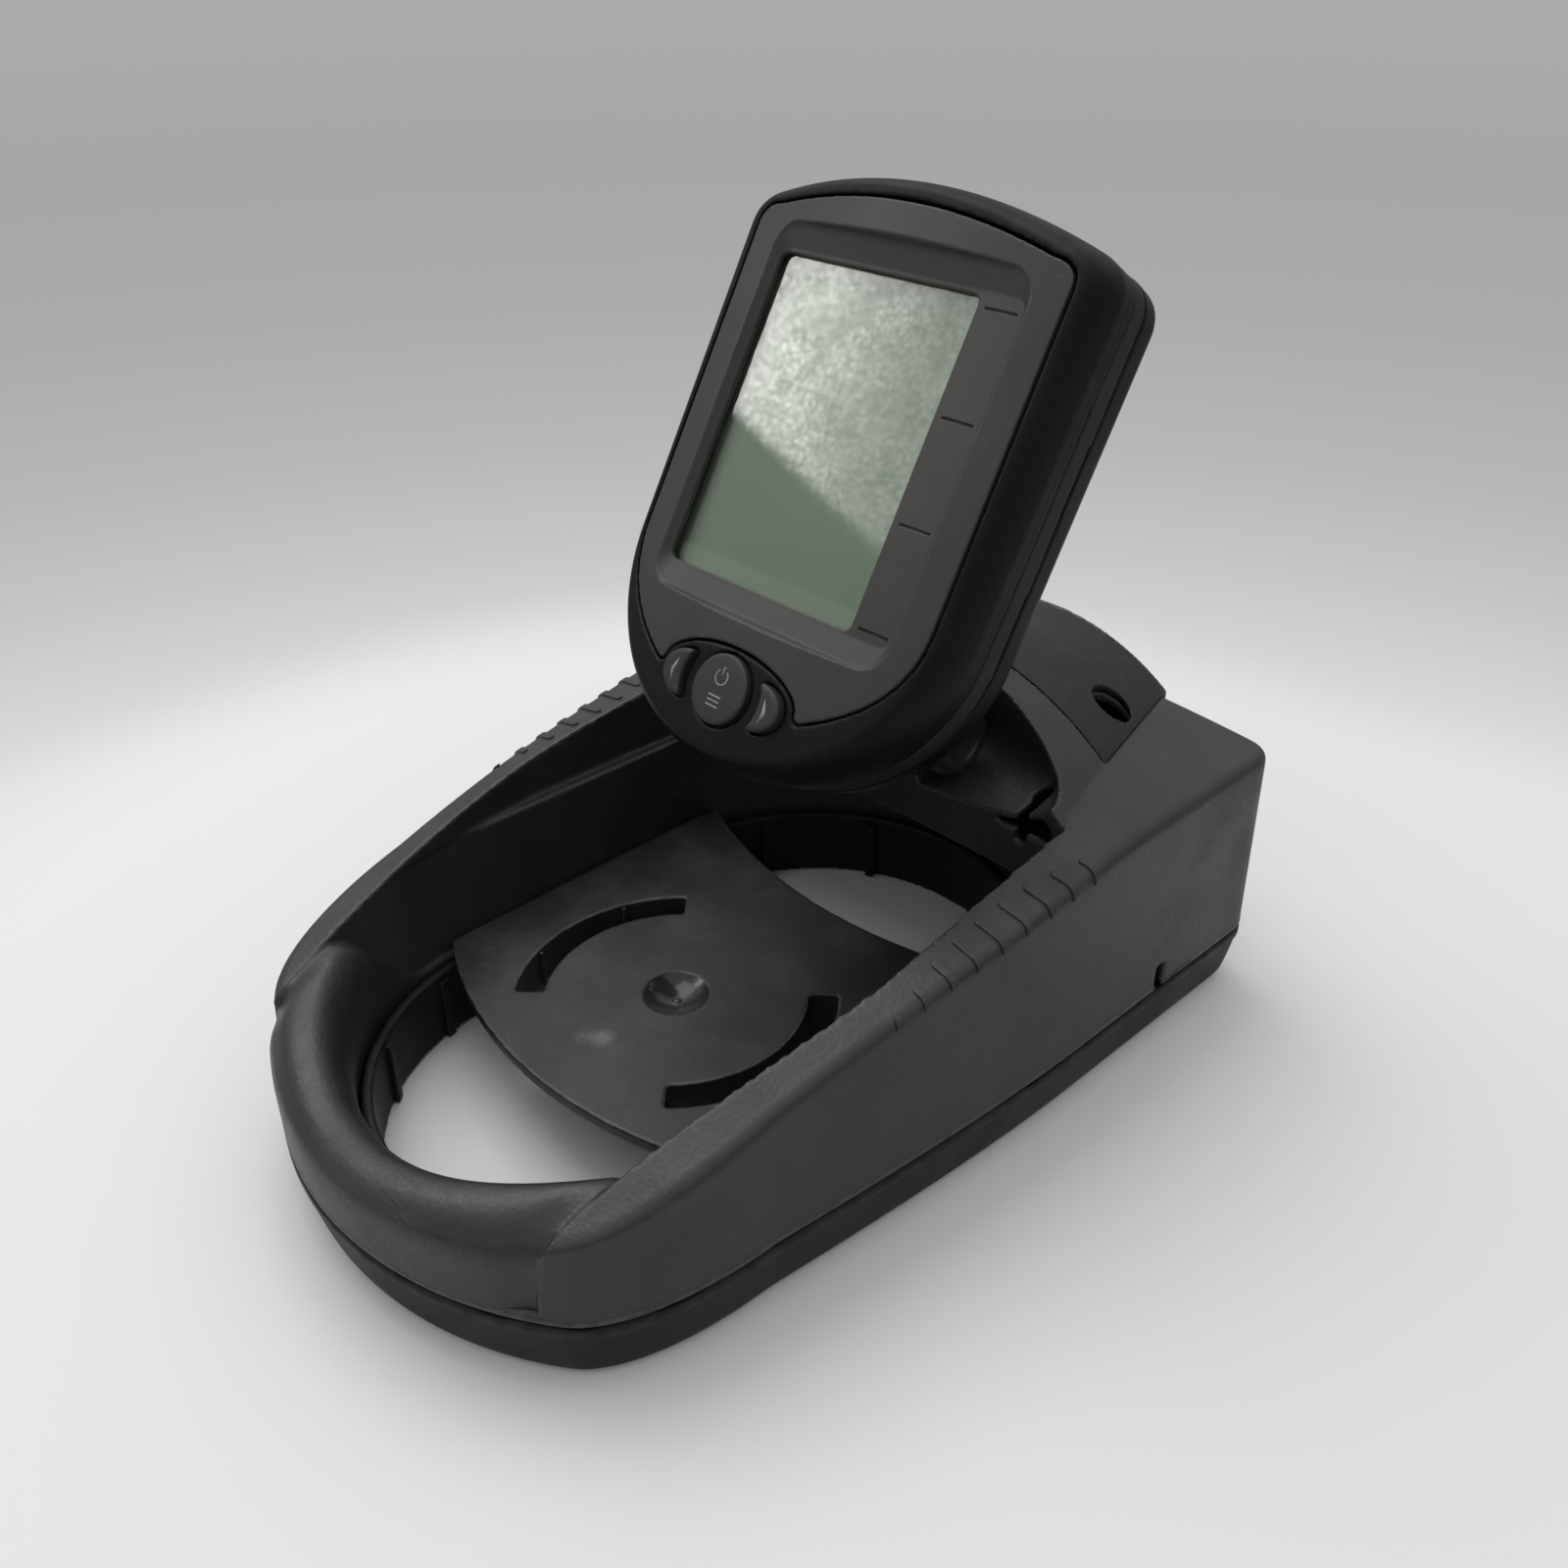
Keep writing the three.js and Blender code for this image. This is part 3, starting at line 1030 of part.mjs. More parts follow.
const atDepth = (points, depth) => points.map((point) => new THREE.Vector3(point.x, depth, point.y));

function recessBack(grow) {
  return roundedRect(recessEdges, recess.corner, recess.rim + grow);
}

// Crescent button in the face's plane, on the right of the round one
function crescentShape(grow) {
  const shape = new THREE.Shape();
  const [inner, outer] = [button.innerRadius - grow, button.outerRadius + grow];
  const [low, high] = [button.low - grow, button.high + grow];
  const arc = (radius, from, to) => Array.from({ length: facets.crescent + 1 }, (_, i) => {
    const v = from + (to - from) * i / facets.crescent;
    return new THREE.Vector2(Math.sqrt(radius ** 2 - v ** 2), v);
  });
  shape.setFromPoints([...arc(outer, low * crescentShare, high * crescentShare), ...arc(inner, high, low)]);
  return shape;
}

const inFace = (body, u, v, depth) => body.translate([u, depth, v]);

function facePillar(radius, u, v, from, to, sides = 16) {
  return inFace(cylinder(radius, to - from, sides), u, v, (from + to) / 2);
}

// Rings of a rounded edge: the inset grows and the depth runs out together
function rolledRings(inset, depth, ringAt) {
  return Array.from({ length: facets.roll + 1 }, (_, i) => {
    const turn = Math.PI / 2 * i / facets.roll;
    return ringAt(inset * (1 - Math.cos(turn)), depth * (1 - Math.sin(turn)));
  });
}

function frontHousing() {
  const shoulder = rolledRings(head.shoulderInset, head.shoulderDepth, (inset, depth) => (
    headOutline(inset, (u) => depth + crown(u))));
  const outer = loft([
    headOutline(head.partingInset, () => head.frontDepth),
    headOutline(0, () => head.frontDepth * headShares.side),
    ...shoulder,
    headOutline(head.shoulderInset + head.partingInset, () => -overrun),
  ]).subtract(crownSlab(0, -overrun * 4));
  const inner = loft([headOutline(head.wall, () => head.frontDepth + overrun),
    headOutline(head.wall + head.innerInset, () => head.frontWall - overrun)]);
  const pocket = faceExtruded(faceShape(face.groove), -overrun, head.frontWall * 2)
    .subtract(crownSlab(face.thickness + gap, head.frontDepth));
  const through = faceExtruded(new THREE.Shape(recessBack(gap * 2)), 0, head.frontDepth);
  const buttonHole = facePillar(button.radius + button.clearance, 0, 0, -overrun, head.frontWall * 2, 32);
  const crescentHole = bothSides(faceExtruded(crescentShape(button.clearance), -overrun, head.frontWall * 2));
  const matRoom = block(-button.matHalf - gap, button.matHalf + gap,
    button.matDepth + gap * 2, head.frontDepth, button.matLow - gap, button.matHigh + gap);
  const bosses = atSpots(bossSpots, (u, v) => (
    facePillar(screwBoss.radius, u, v, head.frontWall, bandBack, 12)));
  const holes = atSpots(bossSpots, (u, v) => (
    facePillar(screwBoss.hole, u, v, screwBoss.holeDepth, bandBack + overrun, 8)));
  const posts = atSpots(postSpots, (u, v) => (
    facePillar(boardPost.radius, u, v, head.frontWall, boardFront - gap, 12)));
  const shell = outer.subtract(inner.subtract(crownSlab(head.frontWall, -overrun * 4)));
  return shell.add(bosses).add(posts).subtract(pocket).subtract(through).subtract(buttonHole)
    .subtract(crescentHole).subtract(matRoom).subtract(holes);
}

function rearHousing() {
  const edge = rolledRings(head.rearRollInset, head.rearRollDepth, (inset, depth) => (
    headOutline(head.rearEdgeInset + inset, () => head.backDepth - depth)));
  const outer = loft([...edge.reverse(), headOutline(head.partingInset, () => bandBack + gap)]);
  const inner = loft([headOutline(head.wall + head.rearInset, () => head.backDepth - head.wall),
    headOutline(head.wall, () => bandBack - overrun)]);
  const back = head.backDepth + overrun;
  const posts = atSpots(bossSpots, (u, v) => (
    facePillar(screwBoss.radius + screwBoss.clear, u, v, bandBack + gap, head.backDepth - head.wall / 2, 10)));
  const clear = atSpots(bossSpots, (u, v) => facePillar(screwBoss.clear, u, v, 0, back, 8));
  const sinks = atSpots(bossSpots, (u, v) => (
    facePillar(screwBoss.headRadius + gap, u, v, head.backDepth - screwBoss.sink, back, 12)));
  const bracketHoles = atSpots(bracketSpots, (u, v) => facePillar(screwBoss.hole + gap, u, v, 0, back, 8));
  return outer.subtract(inner).add(posts.intersect(outer)).subtract(clear).subtract(sinks)
    .subtract(bracketHoles);
}

function gasketBand() {
  const outer = loft([headOutline(gap, () => bandBack), headOutline(gap, () => bandFront)]);
  const inner = loft([
    headOutline(head.wall + gap, () => bandBack + overrun),
    headOutline(head.wall + gap, () => bandFront - overrun),
  ]);
  return outer.subtract(inner);
}

function faceplate() {
  const sheet = faceExtruded(faceShape(0), -overrun, head.frontWall * 2)
    .subtract(crownSlab(0, -overrun * 4)).subtract(crownSlab(face.thickness, head.frontDepth));
  const floorPan = faceExtruded(new THREE.Shape(recessBack(0)), 0, recess.back)
    .subtract(crownSlab(gap, -overrun * 4));
  const mouth = roundedRect(recessEdges, recess.corner);
  const floorEdges = {
    left: recessEdges.left + recess.slopeSide, right: recessEdges.right - recess.slopeSide / 2,
    bottom: recessEdges.bottom + recess.slopeTop, top: recessEdges.top - recess.slopeTop,
  };
  const floor = roundedRect(floorEdges, recess.corner / 2);
  const mouthDepth = crown(recessEdges.left);
  const spread = overrun / (recess.floor - mouthDepth);
  const above = mouth.map((point, i) => point.clone().add(point.clone().sub(floor[i]).multiplyScalar(spread)));
  const room = loft([
    atDepth(floor, recess.floor), atDepth(mouth, mouthDepth), atDepth(above, mouthDepth - overrun),
  ]);
  const pane = faceExtruded(new THREE.Shape(roundedRect(paneEdges, windowPane.corner)), 0, head.frontDepth);
  const lowest = paneEdges.bottom + tick.lowInset;
  const pitch = (paneEdges.top - tick.highInset - lowest) / (tick.count - 1);
  const ticks = joined(Array.from({ length: tick.count }, (_, i) => {
    const v = lowest + pitch * i;
    return block(paneEdges.right + tick.start, recessEdges.right - tick.end, recess.floor - overrun,
      recess.floor + tick.depth, v - tick.width / 2, v + tick.width / 2);
  }));
  return sheet.add(floorPan).subtract(room).subtract(pane).subtract(ticks);
}

// Sheet behind the window's opening: the lens, the display or its light
function windowSheet(near, thickness) {
  const corners = roundedRect(paneEdges, windowPane.corner, windowPane.margin);
  return faceExtruded(new THREE.Shape(corners), near, near + thickness);
}

function circuitBoard() {
  const half = head.half - board.sideInset;
  const edges = {
    left: -half, right: half, bottom: head.bottomV + board.bottomRise, top: head.topV - board.topDrop,
  };
  const corners = roundedRect(edges, windowPane.corner);
  const inside = loft([headOutline(board.edge, () => head.frontDepth), headOutline(board.edge, () => 0)]);
  const sheet = faceExtruded(new THREE.Shape(corners), boardFront, boardBack).intersect(inside);
  const clear = atSpots(bossSpots, (u, v) => facePillar(screwBoss.radius + gap, u, v, 0, head.frontDepth));
  const rests = atSpots(postSpots, (u, v) => facePillar(boardPost.radius, u, v, boardFront, boardBack, 12));
  return sheet.add(rests).subtract(clear);
}

function keypadMat() {
  const depth = button.matDepth + gap * 2 + gap;
  return block(-button.matHalf, button.matHalf, depth, depth + button.mat, button.matLow, button.matHigh);
}

function powerButton() {
  const back = button.matDepth - button.travel - gap;
  const length = back + button.proud;
  const profile = capShares.map(([across, along]) => new THREE.Vector2(button.radius * across, length * along));
  return solid(new THREE.LatheGeometry(profile, 28)).rotate([180, 0, 0]).translate([0, back, 0]);
}

function crescentButton() {
  const inward = crescentShape(-button.bevelWidth).getPoints();
  const outward = crescentShape(0).getPoints();
  const back = button.matDepth - button.travel - gap;
  const top = -button.proud;
  return loft([atDepth(outward, back), atDepth(outward, top + button.bevelHeight), atDepth(inward, top)]);
}

// Bracket: plate on the head's back, a tapering neck and the barrel that tilts on the bolt
function headBracket() {
  const near = head.backDepth + gap;
  const edges = { left: -bracket.half, right: bracket.half, bottom: bracket.low, top: bracket.high };
  const corners = roundedRect(edges, bracket.corner);
  const plateForm = faceExtruded(new THREE.Shape(corners), near, near + bracket.thickness);
  const section = (half, below, above, depth) => atDepth(roundedRect({
    left: -half, right: half, bottom: head.rise - below, top: head.rise + above,
  }, bracket.neckCorner), depth);
  const neck = loft([
    section(bracket.neckWide, bracket.neckHalf, bracket.neckHalf, head.reach),
    section(bracket.neckWide, bracket.neckHalf, bracket.neckHalf, head.reach - barrel.radius * 2),
    section(bracket.neckWide + bracket.neckFlare, bracket.neckLow, bracket.neckHigh, near + bracket.thickness / 2),
  ]);
  const drum = alongX(cylinder(barrel.radius, barrel.half * 2, 20)).translate([0, head.reach, head.rise]);
  const bore = alongX(cylinder(yoke.boltRadius + gap, barrel.half * 3, 10))
    .translate([0, head.reach, head.rise]);
  const holes = atSpots(bracketSpots, (u, v) => facePillar(screwBoss.clear, u, v, near - gap, head.reach, 8));
  return plateForm.add(neck).add(drum).subtract(bore).subtract(holes);
}

function soundDisc() {
  return facePillar(sounder.radius, sounder.u, head.topV - sounder.topDrop, boardBack + gap,
    boardBack + gap + sounder.height, 20);
}

function radioModule() {
  const v = head.topV - radio.topDrop;
  return block(radio.u - radio.half, radio.u + radio.half, boardBack + gap, boardBack + gap + radio.height,
    v - radio.reach, v + radio.reach);
}

// Finishes
const shellFinish = () => matte(0x3c3e3e, 0.55);
const panFinish = () => matte(0x343636, 0.6);
const plateFinish = () => matte(0x414343, 0.45);
const housingFinish = () => matte(0x24262a, 0.6);
const faceFinish = () => matte(0x33332f, 0.5);
const rubberFinish = () => matte(0x1c1c1c, 0.85);
const keyFinish = () => matte(0x4a4b4a, 0.7);
const steelFinish = () => matte(0xa8a8a8, 0.35, 1);
const darkSteelFinish = () => matte(0x3a3a3c, 0.4, 1);

const finder = new THREE.Group();
const headGroup = new THREE.Group();
finder.add(headGroup);

function place(parent, name, body, material, spot = [0, 0, 0], turn = [0, 0, 0]) {
  const mesh = new THREE.Mesh(geometryOf(body), material);
  mesh.name = name;
  mesh.position.set(...spot);
  mesh.rotation.set(...turn);
  parent.add(mesh);
}

place(finder, 'upper_shell', upperShell(), shellFinish());
place(finder, 'bottom_pan', bottomPan(), panFinish());
place(finder, 'cross_plate', crossPlate(), plateFinish());
place(finder, 'cowl_panel', coverPanel(), matte(0x363a39, 0.4));
place(finder, 'battery_cover', batteryCover(), panFinish());
place(finder, 'battery_rack', batteryRack(), matte(0x202020, 0.6));
cellSpots.forEach(({ x, y, z, row }, i) => {
  const shift = (row === 0 ? -1 : 1) * cell.nubLength / 2;
  place(finder, `battery_cell_${i + 1}`, batteryCell(), matte(0x6d7278, 0.4, 0.3), [x + shift, y, z],
    [0, 0, row === 0 ? Math.PI : 0]);
});
[0, cell.layerPitch].forEach((lift, i) => {
  place(finder, `contact_plate_${i * 2 + 1}`, contactPlate(), steelFinish(), [0, 0, lift]);
  place(finder, `contact_plate_${i * 2 + 2}`, mirrored(contactPlate()), steelFinish(), [0, 0, lift]);
});
footSpots.forEach(([x, y], i) => {
  place(finder, `rubber_foot_${i + 1}`, rubberFoot(), rubberFinish(), [x, y, 0]);
});
screwSpots.forEach(([x, y], i) => {
  const body = screw(bossScrew.headRadius, bossScrew.headHeight, bossScrew.hole - gap,
    bossScrew.reach + bossScrew.headHeight * 2);
  const top = bossScrew.headZ - bossScrew.headHeight - gap;
  place(finder, `case_screw_${i + 1}`, body, darkSteelFinish(), [x, y, top]);
});
[1, -1].forEach((side, i) => {
  const body = screw(bossScrew.headRadius, cover.headSink - gap, bossScrew.hole - gap, bossScrew.headZ - gap);
  const spot = [side * cover.screwX, coverMiddleY, level.panBottom];
  place(finder, `cover_screw_${i + 1}`, body, darkSteelFinish(), spot);
});

place(finder, 'mount_yoke', mountYoke(), matte(0x1d1e1f, 0.55));
[1, -1].forEach((side, i) => {
  const body = screw(footScrew.headRadius, footScrew.headHeight, footScrew.radius, footScrew.length);
  const top = niche.seatTop + gap * 2 + yoke.footThickness + footScrew.headHeight;
  const spot = [side * yoke.screwX, mouthY + yoke.footRear - yoke.screwRear, top];
  place(finder, `mount_screw_${i + 1}`, body, darkSteelFinish(), spot, [Math.PI, 0, 0]);
});
place(finder, 'tilt_bolt', tiltBolt(), steelFinish(), [0, pivot.y, pivot.z]);
const washerX = (barrel.half + yoke.earInner) / 2;
place(finder, 'washer_right', frictionWasher(), rubberFinish(), [washerX, pivot.y, pivot.z]);
place(finder, 'washer_left', frictionWasher(), rubberFinish(), [-washerX, pivot.y, pivot.z]);
const knobX = yoke.half + knob.inner;
place(finder, 'tilt_knob_right', tiltKnob(), matte(0x1b1b1c, 0.6), [knobX, pivot.y, pivot.z]);
place(finder, 'tilt_knob_left', mirrored(tiltKnob()), matte(0x1b1b1c, 0.6), [-knobX, pivot.y, pivot.z]);

// The head leans back about the bolt, so its own frame is set from the barrel
const lean = THREE.MathUtils.degToRad(head.tilt);
headGroup.rotation.x = -lean;
headGroup.position.set(0, pivot.y - head.reach * Math.cos(lean) - head.rise * Math.sin(lean),
  pivot.z + head.reach * Math.sin(lean) - head.rise * Math.cos(lean));

place(headGroup, 'front_housing', frontHousing(), housingFinish());
place(headGroup, 'rear_housing', rearHousing(), housingFinish());
place(headGroup, 'gasket_band', gasketBand(), matte(0x55575a, 0.6));
place(headGroup, 'faceplate', faceplate(), faceFinish());
place(headGroup, 'window_lens', windowSheet(lensFront, stack.lens), matte(0xbfc6bd, 0.1));
place(headGroup, 'display_panel', windowSheet(panelFront, stack.panel), matte(0x6f7f70, 0.4));
place(headGroup, 'back_light', windowSheet(lightFront, stack.light), matte(0xe8ead8, 0.5));
place(headGroup, 'circuit_board', circuitBoard(), matte(0x1f4a2c, 0.5));
place(headGroup, 'sounder_disc', soundDisc(), matte(0x101010, 0.5));
place(headGroup, 'radio_module', radioModule(), matte(0xb0b3b5, 0.3, 0.8));
place(headGroup, 'keypad_mat', keypadMat(), rubberFinish());
place(headGroup, 'power_button', powerButton(), keyFinish());
place(headGroup, 'right_button', crescentButton(), keyFinish());
place(headGroup, 'left_button', mirrored(crescentButton()), keyFinish());
place(headGroup, 'head_bracket', headBracket(), matte(0x1d1e1f, 0.55));
bracketSpots.forEach(([u, v], i) => {
  const length = bracket.thickness + head.wall + screwBoss.headHeight + overrun;
  const body = screw(screwBoss.headRadius, screwBoss.headHeight, screwBoss.hole - gap, length);
  const spot = [u, head.backDepth + bracket.thickness + gap * 2 + screwBoss.headHeight, v];
  place(headGroup, `bracket_screw_${i + 1}`, body, darkSteelFinish(), spot, [Math.PI / 2, 0, 0]);
});
bossSpots.forEach(([u, v], i) => {
  const length = head.backDepth - screwBoss.sink - screwBoss.holeDepth - overrun;
  const body = screw(screwBoss.headRadius, screwBoss.headHeight, screwBoss.hole - gap, length);
  const spot = [u, head.backDepth - screwBoss.sink + screwBoss.headHeight + gap, v];
  place(headGroup, `housing_screw_${i + 1}`, body, darkSteelFinish(), spot, [Math.PI / 2, 0, 0]);
});

export default finder;
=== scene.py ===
from math import asin, copysign, cos, degrees, hypot, pi, radians, sin, sqrt, tau

import bmesh
import bpy
from mathutils import Matrix, Vector


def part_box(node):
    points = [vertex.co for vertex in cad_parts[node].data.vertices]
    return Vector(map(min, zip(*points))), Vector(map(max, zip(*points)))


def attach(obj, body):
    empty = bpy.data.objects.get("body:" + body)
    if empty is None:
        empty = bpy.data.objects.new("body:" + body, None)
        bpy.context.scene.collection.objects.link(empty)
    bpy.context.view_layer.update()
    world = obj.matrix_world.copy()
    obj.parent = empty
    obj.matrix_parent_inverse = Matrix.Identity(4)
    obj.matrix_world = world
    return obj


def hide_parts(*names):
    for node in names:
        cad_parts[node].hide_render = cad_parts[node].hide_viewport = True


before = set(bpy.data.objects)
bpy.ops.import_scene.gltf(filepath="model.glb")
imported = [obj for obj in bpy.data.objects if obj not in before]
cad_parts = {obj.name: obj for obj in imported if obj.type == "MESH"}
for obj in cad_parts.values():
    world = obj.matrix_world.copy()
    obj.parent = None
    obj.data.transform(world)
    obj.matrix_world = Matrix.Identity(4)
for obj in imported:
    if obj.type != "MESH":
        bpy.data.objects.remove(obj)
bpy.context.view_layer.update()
mm = 0.001  # every size below is in millimetres
gap = 0.3
overrun = 2


def boxOf(node):
    low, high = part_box(node)
    return low / mm, high / mm


def newObject(name, data):
    body = bpy.data.objects.new(name, data)
    bpy.context.scene.collection.objects.link(body)
    return body


shellLow, shellHigh = boxOf("upper_shell")
panLow = boxOf("bottom_pan")[0]
plateHigh = boxOf("cross_plate")[1]
mirror = Matrix.Scale(-1, 4, (1, 0, 0))

# camera, from the photograph
photoCamera = {
    "place": (245.449, -223.582, 286.822),
    "azimuth": 45.921,
    "pitch": 31.646,
    "roll": -0.233,
    "focalPixels": 1531.05,
    "framePixels": 1600,
    "sensor": 36,
}


def addCamera():
    turn, pitch, roll = (radians(photoCamera[key]) for key in ("azimuth", "pitch", "roll"))
    right = Vector((cos(turn), sin(turn), 0))
    forward = Vector((-sin(turn) * cos(pitch), cos(turn) * cos(pitch), -sin(pitch)))
    up = right.cross(forward)
    side = right * cos(roll) + up * sin(roll)
    top = up * cos(roll) - right * sin(roll)
    data = bpy.data.cameras.new("photoCamera")
    data.sensor_width = photoCamera["sensor"]
    data.lens = photoCamera["sensor"] * photoCamera["focalPixels"] / photoCamera["framePixels"]
    data.clip_start = 0.01
    camera = newObject("photoCamera", data)
    camera.matrix_world = Matrix.Translation(Vector(photoCamera["place"]) * mm) @ Matrix(
        (side, top, -forward)).transposed().to_4x4()
    bpy.context.scene.camera = camera


addCamera()
print("camera set")


# mesh helpers
def even(start, end, steps):  # evenly spaced values with both ends
    return [start + (end - start) * i / steps for i in range(steps + 1)]


weldReach, slimReach = 0.001, 0.0005


def solidFrom(name, points, faces):
    mesh = bpy.data.meshes.new(name)
    mesh.from_pydata([tuple(point) for point in points], [], faces)
    work = bmesh.new()
    work.from_mesh(mesh)
    bmesh.ops.remove_doubles(work, verts=work.verts, dist=weldReach)
    bmesh.ops.dissolve_degenerate(work, edges=work.edges, dist=slimReach)
    bmesh.ops.recalc_face_normals(work, faces=work.faces)
    work.to_mesh(mesh)
    work.free()
    return newObject(name, mesh)


def loft(name, rings):  # closed body through rings of equal counts
    count = len(rings[0])
    points = [point for loop in rings for point in loop]
    faces = []
    for k in range(len(rings) - 1):
        for i in range(count):
            a, b = k * count + i, k * count + (i + 1) % count
            faces.append((a, b, b + count, a + count))
    faces.append(tuple(reversed(range(count))))
    faces.append(tuple(range(len(points) - count, len(points))))
    return solidFrom(name, points, faces)


def raised(outline, z):
    return [Vector((point[0], point[1], z)) for point in outline]


def extruded(name, outline, low, high):
    return loft(name, [raised(outline, low), raised(outline, high)])


def corners(x0, x1, y0, y1):
    return [(x0, y0), (x1, y0), (x1, y1), (x0, y1)]


def block(name, x0, x1, y0, y1, z0, z1):
    return extruded(name, corners(x0, x1, y0, y1), z0, z1)


def circle(radius, steps, x=0, y=0):
    return [Vector((x + radius * cos(t), y + radius * sin(t))) for t in even(0, tau, steps)[:-1]]


def pillar(name, radius, x, y, low, high, steps=32):
    return extruded(name, circle(radius, steps, x, y), low, high)


def turned(name, profile, steps=64):  # profile of (radius, height) about Z, both ends on the axis
    turns = even(0, tau, steps)[:-1]
    return loft(name, [[Vector((r * cos(t), r * sin(t), z)) for t in turns] for r, z in profile])


def moved(body, matrix):
    body.data.transform(matrix)
    if matrix.determinant() < 0:
        body.data.flip_normals()
    return body


def copyOf(body, name):
    twin = body.copy()
    twin.data = body.data.copy()
    twin.name = name
    bpy.context.scene.collection.objects.link(twin)
    return twin


def bothSides(body):
    return joined(body, moved(copyOf(body, body.name + "Mirror"), mirror))


def bake(body):
    bpy.context.view_layer.update()
    done = bpy.data.meshes.new_from_object(body.evaluated_get(bpy.context.evaluated_depsgraph_get()))
    old = body.data
    body.modifiers.clear()
    body.data = done
    bpy.data.meshes.remove(old)
    return body


def combined(body, tool, operation):
    step = body.modifiers.new(operation, "BOOLEAN")
    step.operation = operation
    step.solver = "MANIFOLD"
    step.object = tool
    bake(body)
    bpy.data.objects.remove(tool)
    return body


def joined(body, *others):
    for other in others:
        combined(body, other, "UNION")
    return body


def cut(body, *tools):
    for tool in tools:
        combined(body, tool, "DIFFERENCE")
    return body


def common(body, tool):
    return combined(body, tool, "INTERSECT")


def softened(body, voxel, passes):  # even mesh with rounded edges
    mesher = body.modifiers.new("mesher", "REMESH")
    mesher.mode = "VOXEL"
    mesher.voxel_size = voxel
    if passes:
        smoother = body.modifiers.new("smoother", "SMOOTH")
        smoother.factor = 0.5
        smoother.iterations = passes
    return bake(body)


def finished(body, name, material, host, slot, *nodes):  # to metres, shaded, riding and standing for its nodes
    body.data.transform(Matrix.Scale(mm, 4))
    body.data.shade_smooth()
    body.data.materials.clear()
    body.data.materials.append(material)
    body.name = name
    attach(body, host)
    if nodes:
        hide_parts(*nodes)
    print("made", name, len(body.data.polygons), "faces")


def bezier(controls, steps):
    line = []
    for i in range(steps + 1):
        row = [Vector(control) for control in controls]
        while len(row) > 1:
            row = [a.lerp(b, i / steps) for a, b in zip(row, row[1:])]
        line.append(row[0])
    return line


def mirroredLoop(right):  # closed loop from its right half, both ends on the middle line
    return right + [Vector((-point.x, point.y)) for point in reversed(right[1:-1])]


def smoothStep(value, low, high):
    share = min(max((value - low) / (high - low), 0), 1)
    return share * share * (3 - 2 * share)


# shader helpers
def addNode(web, kind, settings, feeds):
    node = web.nodes.new("ShaderNode" + kind)
    for key, value in settings.items():
        setattr(node, key, value)
    for key, value in feeds.items():
        if isinstance(value, bpy.types.NodeSocket):
            web.links.new(value, node.inputs[key])
        else:
            node.inputs[key].default_value = value
    return node


def sums(web, operation, a, b=0, clamp=False):
    return addNode(web, "Math", {"operation": operation, "use_clamp": clamp}, {0: a, 1: b}).outputs[0]


def times(web, a, b):
    return sums(web, "MULTIPLY", a, b)


def plus(web, a, b, clamp=False):
    return sums(web, "ADD", a, b, clamp)


def minus(web, a, b, clamp=False):
    return sums(web, "SUBTRACT", a, b, clamp)


def span(web, value, low, high, start=0, end=1):  # smooth ramp from start to end between low and high
    return addNode(web, "MapRange", {"interpolation_type": "SMOOTHSTEP"},
                   {0: value, 1: low, 2: high, 3: start, 4: end}).outputs[0]


def blendOf(web, share, a, b):
    return addNode(web, "Mix", {"data_type": "RGBA"}, {0: share, 6: a, 7: b}).outputs[2]


def noiseOf(web, coords, scale, detail=2, roughness=0.5, distortion=0):
    return addNode(web, "TexNoise", {}, {"Vector": coords, "Scale": scale, "Detail": detail, "Roughness": roughness,
                                         "Distortion": distortion}).outputs[0]


def addBump(web, shader, height, depth, strength=1):  # depth in millimetres
    bump = addNode(web, "Bump", {}, {"Height": height, "Strength": strength, "Distance": depth * mm})
    web.links.new(bump.outputs[0], shader["Normal"])


patches = {  # scale, detail, roughness and distortion of a noise, then the ramp that it goes through
    "fade": ((26, 4, 0.55, 0.4), (0.3, 0.72)),
    "brokenEdge": ((300, 3, 0.6), (0.35, 0.62)),
    "scratchPlace": ((60, 2, 0.5), (0.5, 0.66)),
    "dustSpeck": ((900, 4, 0.7), (0.6, 0.75)),
    "dustFilm": ((45, 4, 0.6), (0.4, 0.8, 0.15, 0.7)),
    "glareMottle": ((0.75, 2, 0.6), (0.3, 0.7, 0.72, 1.32)),
    "glareCloud": ((0.08, 3, 0.6), (0.3, 0.66, 0.8, 1.12)),
}


def patchesOf(web, coords, name):
    noise, ramp = patches[name]
    return span(web, noiseOf(web, coords, *noise), *ramp)


def ownCoords(web):
    return addNode(web, "TexCoord", {}, {}).outputs["Object"]


def newGroup(name, inputs, outputs):
    web = bpy.data.node_groups.new(name, "ShaderNodeTree")
    for label, value in inputs.items():
        web.interface.new_socket(label, in_out="INPUT", socket_type="NodeSocketFloat").default_value = value
    for label in outputs:
        web.interface.new_socket(label, in_out="OUTPUT", socket_type="NodeSocketFloat")
    return web, web.nodes.new("NodeGroupInput").outputs, web.nodes.new("NodeGroupOutput").inputs


